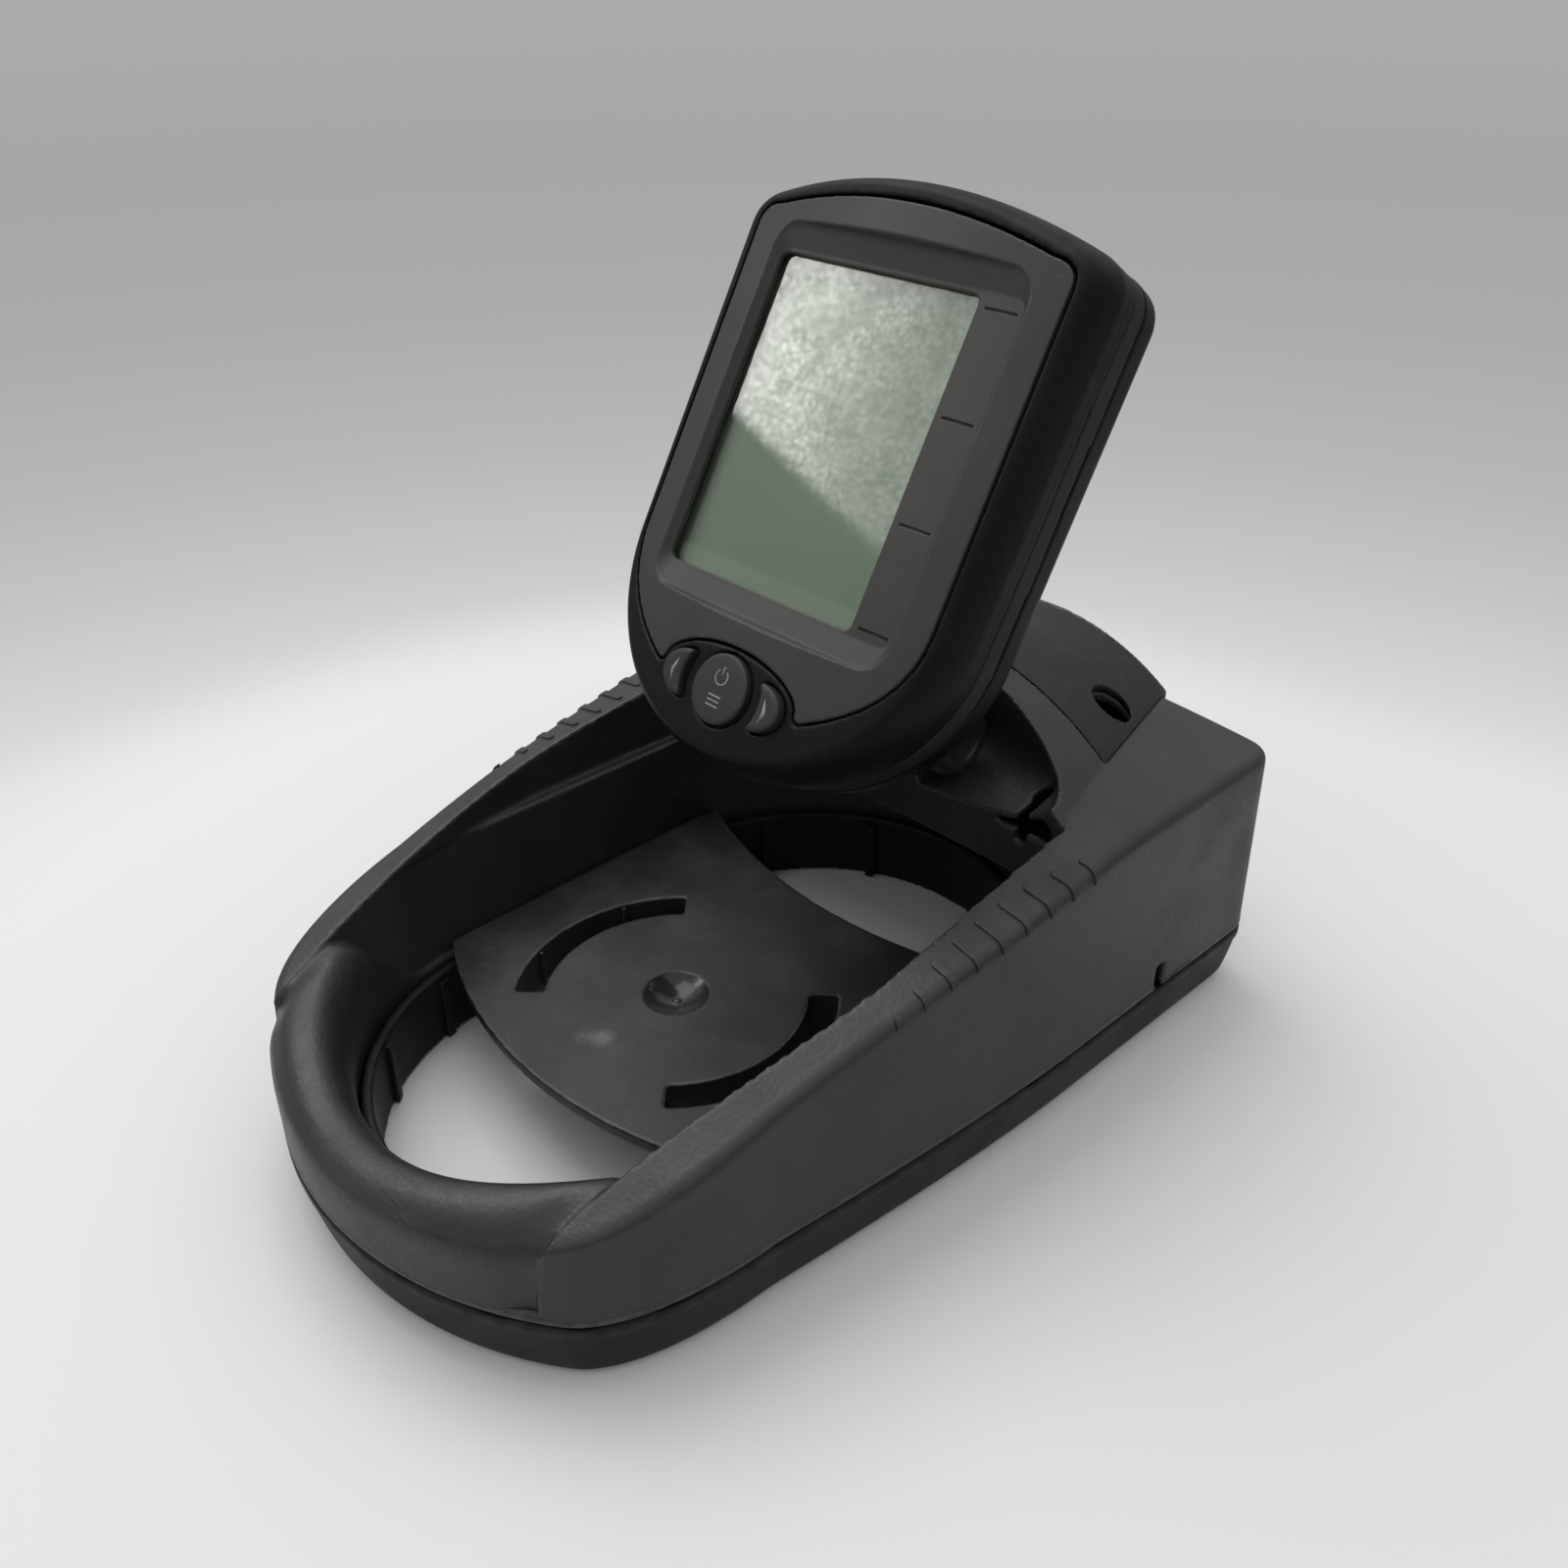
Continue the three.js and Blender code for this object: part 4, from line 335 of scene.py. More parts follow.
def makeMouldGrain():  # spark-eroded tool texture, size in mm
    web, given, out = newGroup("mouldGrain", {"Size": 0.5, "Pebble": 0.5}, ["Height", "Patch", "Speck"])
    coords = ownCoords(web)
    scale = sums(web, "DIVIDE", 1000, given["Size"])
    fine = noiseOf(web, coords, scale, 3, 0.6)
    cells = addNode(web, "TexVoronoi", {"feature": "SMOOTH_F1"},
                    {"Vector": coords, "Scale": times(web, scale, 0.7), "Smoothness": 0.6}).outputs["Distance"]
    pebbles = minus(web, 1, cells)
    share = given["Pebble"]
    height = plus(web, times(web, fine, minus(web, 1, share)),
                  times(web, pebbles, share))
    web.links.new(height, out["Height"])
    web.links.new(patchesOf(web, coords, "fade"), out["Patch"])
    web.links.new(span(web, noiseOf(web, coords, times(web, scale, 0.6), 1, 0.5), 0.62, 0.72), out["Speck"])
    return web


def makeEdgeWear():  # bright rubbed edges, broken up
    web, given, out = newGroup("edgeWear", {"Start": 0.51, "End": 0.56}, ["Mask"])
    bend = addNode(web, "NewGeometry", {}, {}).outputs["Pointiness"]
    ridge = span(web, bend, given["Start"], given["End"])
    broken = patchesOf(web, ownCoords(web), "brokenEdge")
    web.links.new(times(web, ridge, broken), out["Mask"])
    return web


def makeHandMarks():  # smudges, fine scratches and dust that settles on what faces up
    web, given, out = newGroup("handMarks", {"Smudge Size": 40, "Scratch Share": 0.5}, ["Smudge", "Scratch", "Dust"])
    coords = ownCoords(web)
    smudge = noiseOf(web, coords, sums(web, "DIVIDE", 1000, given["Smudge Size"]), 5, 0.6, 0.8)
    web.links.new(span(web, smudge, 0.38, 0.68), out["Smudge"])
    strokes = []
    for turn, stretch in ((0.5, (1, 0.07, 0.4)), (-0.9, (0.06, 1, 0.5))):
        drawn = addNode(web, "Mapping", {}, {"Vector": coords, "Rotation": (0.2, 0.1, turn), "Scale": stretch})
        line = sums(web, "ABSOLUTE", minus(web, noiseOf(web, drawn.outputs[0], 900, 1, 0.4), 0.5))
        strokes.append(span(web, line, 0.002, 0.011, 1, 0))
    places = patchesOf(web, coords, "scratchPlace")
    scratch = times(web, sums(web, "MAXIMUM", *strokes), times(web, places, given["Scratch Share"]))
    web.links.new(scratch, out["Scratch"])
    up = addNode(web, "SeparateXYZ", {}, {0: addNode(web, "NewGeometry", {}, {}).outputs["Normal"]}).outputs["Z"]
    specks = patchesOf(web, coords, "dustSpeck")
    film = patchesOf(web, coords, "dustFilm")
    dust = times(web, span(web, up, 0.35, 1), plus(web, times(web, specks, 0.5), film))
    web.links.new(dust, out["Dust"])
    return web


mouldGrain, edgeWear, handMarks = makeMouldGrain(), makeEdgeWear(), makeHandMarks()


def placed(web, group, feeds):
    node = web.nodes.new("ShaderNodeGroup")
    node.node_tree = group
    for key, value in feeds.items():
        node.inputs[key].default_value = value
    return node.outputs


def newFinish(name):
    material = bpy.data.materials.new(name)
    material.use_nodes = True
    return material, material.node_tree, material.node_tree.nodes["Principled BSDF"].inputs


dustColour = (0.3, 0.29, 0.27, 1)
scuffColour = (0.3, 0.3, 0.29, 1)


def mouldedFinish(name, look):  # plastics and rubbers
    material, web, shader = newFinish(name)
    grain = placed(web, mouldGrain, {"Size": look["grain"], "Pebble": look["pebble"]})
    wear = placed(web, edgeWear, {"Start": look.get("edgeStart", 0.51), "End": look.get("edgeEnd", 0.57)})["Mask"]
    marks = placed(web, handMarks, {"Smudge Size": look.get("smudge", 40), "Scratch Share": look.get("scratch", 0.4)})
    colour = blendOf(web, grain["Patch"], (*look["colour"], 1), (*look["faded"], 1))
    colour = blendOf(web, times(web, wear, look["wear"]), colour, (*look["worn"], 1))
    colour = blendOf(web, times(web, marks["Scratch"], 0.5), colour, (*look["worn"], 1))
    colour = blendOf(web, times(web, marks["Dust"], look["dust"]), colour, dustColour)
    web.links.new(colour, shader["Base Color"])
    rough = plus(web, look["roughness"], times(web, marks["Smudge"], look["smear"]))
    rough = minus(web, rough, times(web, wear, look["polish"]))
    rough = plus(web, rough, times(web, grain["Speck"], look.get("sparkle", -0.05)), True)
    web.links.new(rough, shader["Roughness"])
    height = minus(web, grain["Height"], times(web, marks["Scratch"], 0.6))
    addBump(web, shader, height, look["depth"])
    shader["Specular IOR Level"].default_value = look.get("specular", 0.5)
    shader["Sheen Weight"].default_value = look.get("sheen", 0)
    shader["Sheen Roughness"].default_value = 0.5
    return material


def addSpots(material, spots):  # round places (x, y, radius) that differ: rubbed bright by paint, glossy by polish
    web = material.node_tree
    shader = web.nodes["Principled BSDF"].inputs
    colour, rough = (shader[key].links[0].from_socket for key in ("Base Color", "Roughness"))
    coords = ownCoords(web)
    flat = addNode(web, "VectorMath", {"operation": "MULTIPLY"}, {0: coords, 1: (1, 1, 0)}).outputs[0]
    for spot in spots:
        middle = (spot["x"] * mm, spot["y"] * mm, 0)
        far = addNode(web, "VectorMath", {"operation": "DISTANCE"}, {0: flat, 1: middle}).outputs["Value"]
        ragged = span(web, noiseOf(web, coords, spot["scale"], 3, 0.6), 0.38, 0.66, 1 - spot["broken"], 1)
        share = times(web, span(web, far, spot["core"] * mm, spot["reach"] * mm, 1, 0), ragged)
        colour = blendOf(web, times(web, share, spot["paint"]), colour, scuffColour)
        rough = minus(web, rough, times(web, share, spot["polish"]), True)
    web.links.new(colour, shader["Base Color"])
    web.links.new(rough, shader["Roughness"])


def metalFinish(name, look):
    material, web, shader = newFinish(name)
    marks = placed(web, handMarks, {"Smudge Size": 6, "Scratch Share": 1})
    grain = placed(web, mouldGrain, {"Size": look["grain"], "Pebble": 0.1})
    colour = blendOf(web, grain["Patch"], (*look["colour"], 1), (*look["dull"], 1))
    web.links.new(colour, shader["Base Color"])
    web.links.new(plus(web, look["roughness"], times(web, marks["Smudge"], 0.2)), shader["Roughness"])
    shader["Metallic"].default_value = 1
    height = plus(web, grain["Height"], marks["Scratch"])
    addBump(web, shader, height, 0.01, 0.6)
    return material


# finishes, as seen under plain light
shellPlastic = mouldedFinish("shellPlastic", {
    "colour": (0.0115, 0.0128, 0.013), "faded": (0.0185, 0.0194, 0.0188), "worn": (0.1, 0.1, 0.096), "wear": 0.3,
    "dust": 0.09, "grain": 0.85, "pebble": 0.55, "depth": 0.13, "roughness": 0.42, "smear": 0.1, "polish": 0.08,
    "sparkle": -0.1, "specular": 0.46,
})
panPlastic = mouldedFinish("panPlastic", {
    "colour": (0.006, 0.0065, 0.0068), "faded": (0.009, 0.0094, 0.0094), "worn": (0.06, 0.06, 0.058), "wear": 0.25,
    "dust": 0.05, "grain": 0.6, "pebble": 0.4, "depth": 0.04, "roughness": 0.46, "smear": 0.1, "polish": 0.06,
    "specular": 0.18,
})
platePlastic = mouldedFinish("platePlastic", {
    "colour": (0.0118, 0.0126, 0.013), "faded": (0.0158, 0.0166, 0.0168), "worn": (0.14, 0.14, 0.14), "wear": 0.55,
    "dust": 0.13, "grain": 0.3, "pebble": 0.2, "depth": 0.014, "roughness": 0.34, "smear": 0.12, "polish": 0.1,
    "smudge": 24, "scratch": 0.35, "specular": 0.3,
})
panelPlastic = mouldedFinish("panelPlastic", {
    "colour": (0.0066, 0.0088, 0.0083), "faded": (0.0094, 0.0116, 0.011), "worn": (0.08, 0.085, 0.082), "wear": 0.25,
    "dust": 0.05, "grain": 0.3, "pebble": 0.2, "depth": 0.014, "roughness": 0.42, "smear": 0.08, "polish": 0.06,
    "specular": 0.26,
})
rackPlastic = mouldedFinish("rackPlastic", {
    "colour": (0.012, 0.012, 0.012), "faded": (0.018, 0.018, 0.018), "worn": (0.08, 0.08, 0.08), "wear": 0.2,
    "dust": 0.1, "grain": 0.4, "pebble": 0.2, "depth": 0.02, "roughness": 0.5, "smear": 0.08, "polish": 0.04,
})
mountPlastic = mouldedFinish("mountPlastic", {
    "colour": (0.011, 0.0115, 0.012), "faded": (0.017, 0.0175, 0.018), "worn": (0.08, 0.08, 0.08), "wear": 0.35,
    "dust": 0.1, "grain": 0.35, "pebble": 0.3, "depth": 0.02, "roughness": 0.4, "smear": 0.1, "polish": 0.08,
})
knobPlastic = mouldedFinish("knobPlastic", {
    "colour": (0.010, 0.0105, 0.0115), "faded": (0.015, 0.0155, 0.0165), "worn": (0.07, 0.07, 0.07), "wear": 0.4,
    "dust": 0.06, "grain": 0.3, "pebble": 0.3, "depth": 0.015, "roughness": 0.36, "smear": 0.1, "polish": 0.08,
})
housingSkin = mouldedFinish("housingSkin", {
    "colour": (0.0032, 0.0037, 0.005), "faded": (0.005, 0.0056, 0.0072), "worn": (0.035, 0.036, 0.04), "wear": 0.15,
    "dust": 0.06, "grain": 0.22, "pebble": 0.25, "depth": 0.012, "roughness": 0.42, "smear": 0.07, "polish": 0.05,
    "specular": 0.12,
})
facePlastic = mouldedFinish("facePlastic", {
    "colour": (0.027, 0.0262, 0.0236), "faded": (0.033, 0.032, 0.0294), "worn": (0.09, 0.088, 0.082), "wear": 0.3,
    "dust": 0.06, "grain": 0.2, "pebble": 0.2, "depth": 0.010, "roughness": 0.46, "smear": 0.06, "polish": 0.06,
    "specular": 0.32,
})
bandRubber = mouldedFinish("bandRubber", {
    "colour": (0.0115, 0.0117, 0.0118), "faded": (0.015, 0.0152, 0.015), "worn": (0.05, 0.05, 0.049), "wear": 0.1,
    "dust": 0.06, "grain": 0.28, "pebble": 0.3, "depth": 0.015, "roughness": 0.55, "smear": 0.06, "polish": 0.04,
    "specular": 0.2,
})
keyRubber = mouldedFinish("keyRubber", {
    "colour": (0.0155, 0.016, 0.016), "faded": (0.0205, 0.021, 0.021), "worn": (0.1, 0.1, 0.1), "wear": 0.4,
    "dust": 0.1, "specular": 0.38, "grain": 0.2, "pebble": 0.3, "depth": 0.012, "roughness": 0.52, "smear": 0.08,
    "polish": 0.08, "smudge": 5,
})
footRubber = mouldedFinish("footRubber", {
    "colour": (0.008, 0.008, 0.008), "faded": (0.014, 0.014, 0.014), "worn": (0.05, 0.05, 0.048), "wear": 0.3,
    "dust": 0.2, "grain": 0.5, "pebble": 0.6, "depth": 0.05, "roughness": 0.75, "smear": 0.1, "polish": 0,
    "smudge": 6,
})
glyphInk = mouldedFinish("glyphInk", {
    "colour": (0.2, 0.205, 0.2), "faded": (0.26, 0.26, 0.255), "worn": (0.08, 0.08, 0.08), "wear": 0.4,
    "dust": 0.05, "grain": 0.15, "pebble": 0.1, "depth": 0.006, "roughness": 0.5, "smear": 0.06, "polish": 0,
    "smudge": 3,
})
screwSteel = metalFinish("screwSteel", {
    "colour": (0.09, 0.09, 0.095), "dull": (0.05, 0.05, 0.052), "roughness": 0.3, "grain": 0.2})
contactSteel = metalFinish("contactSteel", {
    "colour": (0.6, 0.59, 0.57), "dull": (0.45, 0.44, 0.42), "roughness": 0.22, "grain": 0.3})


# voxel size and smoothing passes of each rounded piece
fineness = {
    "casing": (0.7, 3), "gripRibs": (0.2, 1), "panel": (0.4, 2), "wallRibs": (0.25, 1), "cover": (0.35, 2),
    "slotRibs": (0.12, 1), "plate": (0.42, 2), "yoke": (0.35, 3), "front": (0.45, 3), "rear": (0.5, 3),
    "band": (0.4, 3), "face": (0.35, 2), "bracket": (0.38, 3), "key": (0.16, 1),
}

# casing
casing = {
    "noseRadius": 100, "noseEndX": 60, "shoulderX": 75.6, "shoulderY": -61.5, "waistX": 84, "waistY": 39.5,
    "rearCorner": 9.5, "rearBow": 6.8, "wall": 2.5, "edgeRadius": 3.6, "draft": 1.2, "noseSteps": 22, "curveSteps": 16,
    "seam": 20, "ledge": 22.5, "stepLedge": 56.5, "deck": 78, "crispTip": (-112, -80), "tipShare": 0.35,
    "nosePull": (0.5, 0.38), "shoulderPull": (0.04, 1.7), "sideStart": (0.33, 0.23), "sideEnd": (0.06, 0.34),
    "cornerEase": 0.12,
}
rail = {
    "tip": (57.3, -122.5, 36), "bulge": (68.9, -21.5), "endX": 66.6, "knee": (-73.5, 66.5), "pullY": 37,
    "pull": (66.2, 38), "outwardDrop": 1.9, "wallDraft": 2.2,
}
well = {
    "halfWidth": 62.4, "stepHalfWidth": 64.4, "frontY": -50.5, "frontReach": 63.5, "rearY": 28.5, "ledgeWidth": 3.5,
    "wallThickness": 2.4, "frontGrow": 1.6, "ribProud": 2.1, "ribWidth": 2.8, "steps": 48, "frontAngles": (49.5, 77),
    "rearAngles": (28, 62),
}
ring = {
    "sweep": 96, "stations": 96, "outerEdge": 30, "outerRise": 4.4, "edgeHeight": 4.8, "crest": 40,
    "crestRise": 8, "crestInset": 8.2, "peakAngle": 53, "fadeAngle": 76, "fadeDrop": 25, "fadeInset": 1.4,
    "tuckStart": 34, "tuckEnd": 41, "tuck": 1.6, "step": 0.9, "stepSpan": (9, 0.5), "edgeShare": 0.7, "browShare": 0.45,
    "foldEnd": 0.24, "browStart": 0.55, "rollShare": 0.3, "innerShare": 0.7, "curveSteps": 7,
}
mouthY = 48.5
cowl = {
    "y": (mouthY - overrun, 81.5, 127.5 + overrun), "endY": 127.5, "half": (66.6, 55.6, 43.5), "rise": (24, 20, 14),
    "depth": 8,
}
niche = {
    "half": 62.5, "depth": 23.5, "floor": 69, "wallStart": 83, "seatHalf": 17, "seatDepth": 18.5, "seatTop": 71.5,
    "notchX": 53, "notchWidth": 3.4, "notchReach": 9.4, "notchRadius": 2.8,
}
panelSizes = {"thickness": 2, "lift": 0.5, "holeX": 42, "holeY": 102.5, "holeRadius": 5.8, "holeReach": 30}
sideNotch = {"y": (74.5, 78.5), "top": 28}


def halfOutline():
    radius, endX = casing["noseRadius"], casing["noseEndX"]
    sweep = asin(endX / radius)
    middle = shellLow.y + radius
    line = [Vector((radius * sin(t), middle - radius * cos(t))) for t in even(0, sweep, casing["noseSteps"])]
    endY, steps = line[-1].y, casing["curveSteps"]
    corner = casing["shoulderX"] - endX
    shoulder = Vector((casing["shoulderX"], casing["shoulderY"]))
    waist = Vector((casing["waistX"], casing["waistY"]))
    (noseX, noseY), (backX, backY) = casing["nosePull"], casing["shoulderPull"]
    line += bezier([(endX, endY), (endX + corner * noseX, endY + corner * noseY),
                    shoulder - Vector((corner * backX, corner * backY)), shoulder], steps)[1:]
    run = waist - shoulder
    (startX, startY), (stopX, stopY) = casing["sideStart"], casing["sideEnd"]
    line += bezier([shoulder, shoulder + Vector((run.x * startX, run.y * startY)),
                    waist - Vector((run.x * stopX, run.y * stopY)), waist], steps)[1:]
    rearX, turn, ease = shellHigh.x, casing["rearCorner"], casing["cornerEase"]
    cornerY = shellHigh.y - casing["rearBow"] - turn
    line += bezier([waist, Vector((rearX, cornerY))], 4)[1:-1]
    line += bezier([(rearX, cornerY), (rearX, cornerY + turn), (rearX - turn, cornerY + turn * (1 + ease))], 10)
    depth = casing["rearBow"] - turn * ease
    line += [Vector(((rearX - turn) * share, shellHigh.y - depth * share ** 2)) for share in even(1, 0, steps)[1:]]
    return line


rightOutline = halfOutline()


def insetLoop(points, inset):
    loop = []
    for i, point in enumerate(points):
        a = (point - points[i - 1]).normalized()
        b = (points[(i + 1) % len(points)] - point).normalized()
        normal = Vector((-a.y - b.y, a.x + b.x))
        loop.append(point + normal * (inset * 2 / normal.length_squared))
    return loop


def outline(inset):
    return insetLoop(mirroredLoop(rightOutline), inset)


def railTop(y):
    if y >= mouthY:
        return casing["deck"]
    kneeY, kneeZ = rail["knee"]
    tipY, tipZ = rail["tip"][1:]
    a, b = tipY - 2 * kneeY + mouthY, 2 * (kneeY - tipY)
    t = max((-b + sqrt(max(b * b - 4 * a * (tipY - y), 0))) / (2 * a), 0)
    return (1 - t) ** 2 * tipZ + 2 * t * (1 - t) * kneeZ + t * t * casing["deck"]


def railLine():
    (tipX, tipY, _), (bulgeX, bulgeY), (pullX, pullRearY) = rail["tip"], rail["bulge"], rail["pull"]
    front = bezier([(tipX, tipY), (tipX, tipY + rail["pullY"]), (pullX, bulgeY - pullRearY), (bulgeX, bulgeY)], 36)
    rear = bezier([(bulgeX, bulgeY), (bulgeX, (bulgeY + mouthY) / 2), (rail["endX"], mouthY)], 18)
    return front + rear[1:]


railEdge = railLine()


def railInnerX(y):
    if y <= railEdge[0].y:
        return rail["tip"][0]
    for a, b in zip(railEdge, railEdge[1:]):
        if b.y > y:
            return a.x + (b.x - a.x) * (y - a.y) / (b.y - a.y)
    return rail["endX"]


def mirroredOutline(right):
    return right + [Vector((-point.x, point.y)) for point in reversed(right)]


def casingBlock(name, inset):
    rounding = casing["edgeRadius"] - min(inset, casing["wall"]) * 0.6
    tipY, tipEnd = casing["crispTip"]

    def edge(y):
        slope = rail["outwardDrop"] * smoothStep(y, rail["tip"][1], casing["shoulderY"])
        return railTop(y) - slope * (1 - smoothStep(y, 0, mouthY + niche["depth"])) - inset

    rings = [raised(outline(inset), casing["seam"] - (overrun if inset > 0 else 0))]
    for angle in even(0, pi / 2, 8):
        loop = outline(inset + casing["draft"] + rounding * (1 - cos(angle)))
        rings.append([Vector((p.x, p.y, edge(p.y) - rounding * (1 - sin(angle)) * (
            casing["tipShare"] + (1 - casing["tipShare"]) * smoothStep(p.y, tipY, tipEnd)))) for p in loop])
    rim = rings[-1]
    count = len(rim)
    half = count // 2
    points = [point for loop in rings for point in loop]
    faces = [(k * count + i, k * count + (i + 1) % count, (k + 1) * count + (i + 1) % count, (k + 1) * count + i)
             for k in range(len(rings) - 1) for i in range(count)]
    faces.append(tuple(reversed(range(count))))
    top, ridge = (len(rings) - 1) * count, []
    for point in rim[:half + 1]:
        inner = min(railInnerX(point.y) - inset, point.x * 0.9)
        ridge.append(len(points))
        points += [Vector((side * inner, point.y, railTop(point.y) - inset)) for side in (1, -1)]
    for i in range(half):
        near, far = ([top + k, ridge[k], ridge[k] + 1, top + (count - k) % count] for k in (i, i + 1))
        faces += [(near[j], far[j], far[j + 1], near[j + 1]) for j in range(3)]
    return solidFrom(name, points, faces)


def upperRoom(inset):
    right = [Vector((rail["tip"][0] + inset, shellLow.y - overrun))]
    right += [Vector((point.x + inset, point.y)) for point in railEdge]
    right.append(Vector((rail["endX"] + inset, mouthY + inset)))
    return extruded("upperRoom", mirroredOutline(right), casing["stepLedge"] - inset, casing["deck"] * 1.5)


def frontRoom(inset):
    rear = well["frontY"] - rail["wallDraft"]
    line = [Vector((rail["tip"][0], shellLow.y - overrun))] + [point for point in railEdge if point.y < rear]
    line.append(Vector((railInnerX(rear), rear)))
    low, high = casing["seam"] - overrun * 2, casing["stepLedge"] + overrun
    rings = []
    for z in (low, high):
        slant = rail["wallDraft"] * (casing["stepLedge"] - z) / (casing["stepLedge"] - casing["ledge"])
        rings.append(raised(mirroredOutline([Vector((point.x + inset - slant, point.y)) for point in line]), z))
    return loft("frontRoom", rings)


def wellOutline(halfWidth, grow=0, frontGrow=0):
    side, steps = halfWidth + grow, well["steps"]
    front = [Vector(((side + frontGrow) * cos(t), well["frontY"] + (well["frontReach"] + grow) * sin(t)))
             for t in even(pi, tau, steps)]
    return front + [Vector((side * cos(t), well["rearY"] + side * sin(t))) for t in even(0, pi, steps)]


def wellRoom(inset):
    return loft("wellRoom", [
        raised(wellOutline(well["halfWidth"], inset), casing["seam"] - overrun * 2),
        raised(wellOutline(well["halfWidth"], inset), casing["ledge"]),
        raised(wellOutline(well["halfWidth"], inset, well["frontGrow"]), casing["ledge"] + gap),
        raised(wellOutline(well["stepHalfWidth"], inset, well["frontGrow"]), casing["stepLedge"] + inset),
    ])


def reachToOutline(angle, loop):
    direction = Vector((sin(angle), -cos(angle)))
    for i, point in enumerate(loop):
        start = point - Vector((0, well["frontY"]))
        side = loop[(i + 1) % len(loop)] - point
        scale = direction.x * side.y - direction.y * side.x
        along = (start.x * side.y - start.y * side.x) / scale
        share = (start.x * direction.y - start.y * direction.x) / scale
        if along > 0 and 0 <= share <= 1:
            return along
    return casing["noseRadius"]


def carryRing(inset):
    limit = radians(ring["sweep"])
    loop = outline(inset)
    rings = []
    for angle in even(limit, -limit, ring["stations"]):
        aside = abs(degrees(angle))
        climb = smoothStep(aside, 0, ring["peakAngle"])
        fade = smoothStep(aside, ring["peakAngle"], ring["fadeAngle"])
        tuck = ring["tuck"] * smoothStep(aside, ring["tuckStart"], ring["tuckEnd"])
        outer = reachToOutline(angle, loop) - tuck
        footReach = hypot(well["halfWidth"] * sin(angle), well["frontReach"] * cos(angle)) + inset
        edge = ring["outerEdge"] + ring["outerRise"] * climb - inset
        crest = ring["crest"] + ring["crestRise"] * climb - ring["fadeDrop"] * fade - inset
        crestAt = footReach + (ring["crestInset"] + (ring["fadeInset"] - ring["crestInset"]) * fade) * (
            ring["innerShare"] if inset > 0 else 1)
        bottom = casing["seam"] - (overrun if inset > 0 else 0)
        fold = Vector((outer, edge + min(ring["edgeHeight"], (crest - edge) * ring["edgeShare"])))
        brow = Vector((crestAt + (outer - crestAt) * ring["browShare"], crest))
        section = [(footReach, bottom), (outer, bottom)]
        section += bezier([(outer, edge), fold, fold.lerp(brow, ring["foldEnd"])], ring["curveSteps"])
        section += bezier([fold.lerp(brow, ring["browStart"]), brow, (crestAt, crest)], ring["curveSteps"])[:-1]
        rollBottom = casing["ledge"] + (crest - casing["ledge"]) * ring["rollShare"]
        for turn in even(0, pi / 2, 10):
            section.append((crestAt - (crestAt - footReach) * sin(turn),
                            rollBottom + (crest - rollBottom) * cos(turn)))
        across = Vector((sin(angle), -cos(angle)))
        loopPoints = []
        for reach, z in section:  # the ring passes a small step below the rail's edge
            x, y = across.x * reach, well["frontY"] + across.y * reach
            over = z - railTop(y) + ring["step"] + inset
            if aside > ring["tuckStart"] / 2 and over > 0:
                far, near = ring["stepSpan"]
                z -= over * smoothStep(abs(x), railInnerX(y) - far, railInnerX(y) - near)
            loopPoints.append(Vector((x, y, z)))
        rings.append(loopPoints)
    return loft("carryRing", rings)


def cowlForm(name, inset, fromY, toY, depth):
    def at(y, values):
        spot = 0 if y < cowl["y"][1] else 1
        share = (y - cowl["y"][spot]) / (cowl["y"][spot + 1] - cowl["y"][spot])
        return values[spot] + (values[spot + 1] - values[spot]) * share

    rings = []
    for y in even(toY, fromY, 8):
        half, rise = at(y, cowl["half"]), at(y, cowl["rise"])
        radius = (half ** 2 + rise ** 2) / (2 * rise)
        spread = asin(half / radius)

        def arch(lower):
            return [Vector(((radius - lower) * sin(t), y,
                            casing["deck"] + rise - radius + (radius - lower) * cos(t)))
                    for t in even(spread, -spread, 40)]

        top = arch(inset)
        if depth > cowl["depth"] / 2:
            bottom = [Vector((point.x, y, casing["deck"] - depth)) for point in top]
        else:
            bottom = arch(inset + depth)
        rings.append(top + bottom[::-1])
    return loft(name, rings)


def nicheRoom(inset):
    side, depth = niche["half"] + inset, niche["depth"] + inset
    dish = niche["wallStart"] - niche["floor"] + inset
    profile = [(sin(t), -dish * cos(t)) for t in even(0, pi / 2, 24)]
    rise = cowl["rise"][0] + overrun
    room = turned("nicheRoom", profile + [(1, rise), (0, rise)], 144)
    moved(room, Matrix.Diagonal((side, depth, 1, 1)))
    room = common(room, block("front", -side - 1, side + 1, -overrun, depth + 1, -dish - 1, rise + 1))
    return moved(room, Matrix.Translation((0, mouthY, niche["wallStart"])))


def seatRoom(low, high, grow):
    half = niche["seatHalf"] + grow
    return block("seat", -half, half, mouthY + grow, mouthY + niche["seatDepth"] + grow, low, high)


def casingForm(inset):
    body = cut(casingBlock("casing", inset), upperRoom(inset), frontRoom(inset), wellRoom(inset))
    end = cowl["endY"] + (casing["edgeRadius"] / 2 if inset == 0 else -inset)
    body = joined(body, cowlForm("cowl", inset * 2, mouthY, end, cowl["depth"]))
    body = joined(cut(body, nicheRoom(inset)), carryRing(inset))
    if inset > 0:
        return cut(body, seatRoom(niche["floor"] - casing["wall"] * 2, niche["wallStart"], casing["wall"]))
    body = joined(body, seatRoom(niche["floor"] - casing["wall"], niche["seatTop"], 0))
    return cut(body, seatRoom(niche["seatTop"], niche["wallStart"], gap))


def panelForm(name, clearance):
    deep = panelSizes["thickness"] + clearance * 2
    lift = panelSizes["lift"] if clearance > 0 else 0
    return cowlForm(name, -lift, cowl["y"][1] - clearance, cowl["endY"] - gap + clearance, deep + lift - clearance)


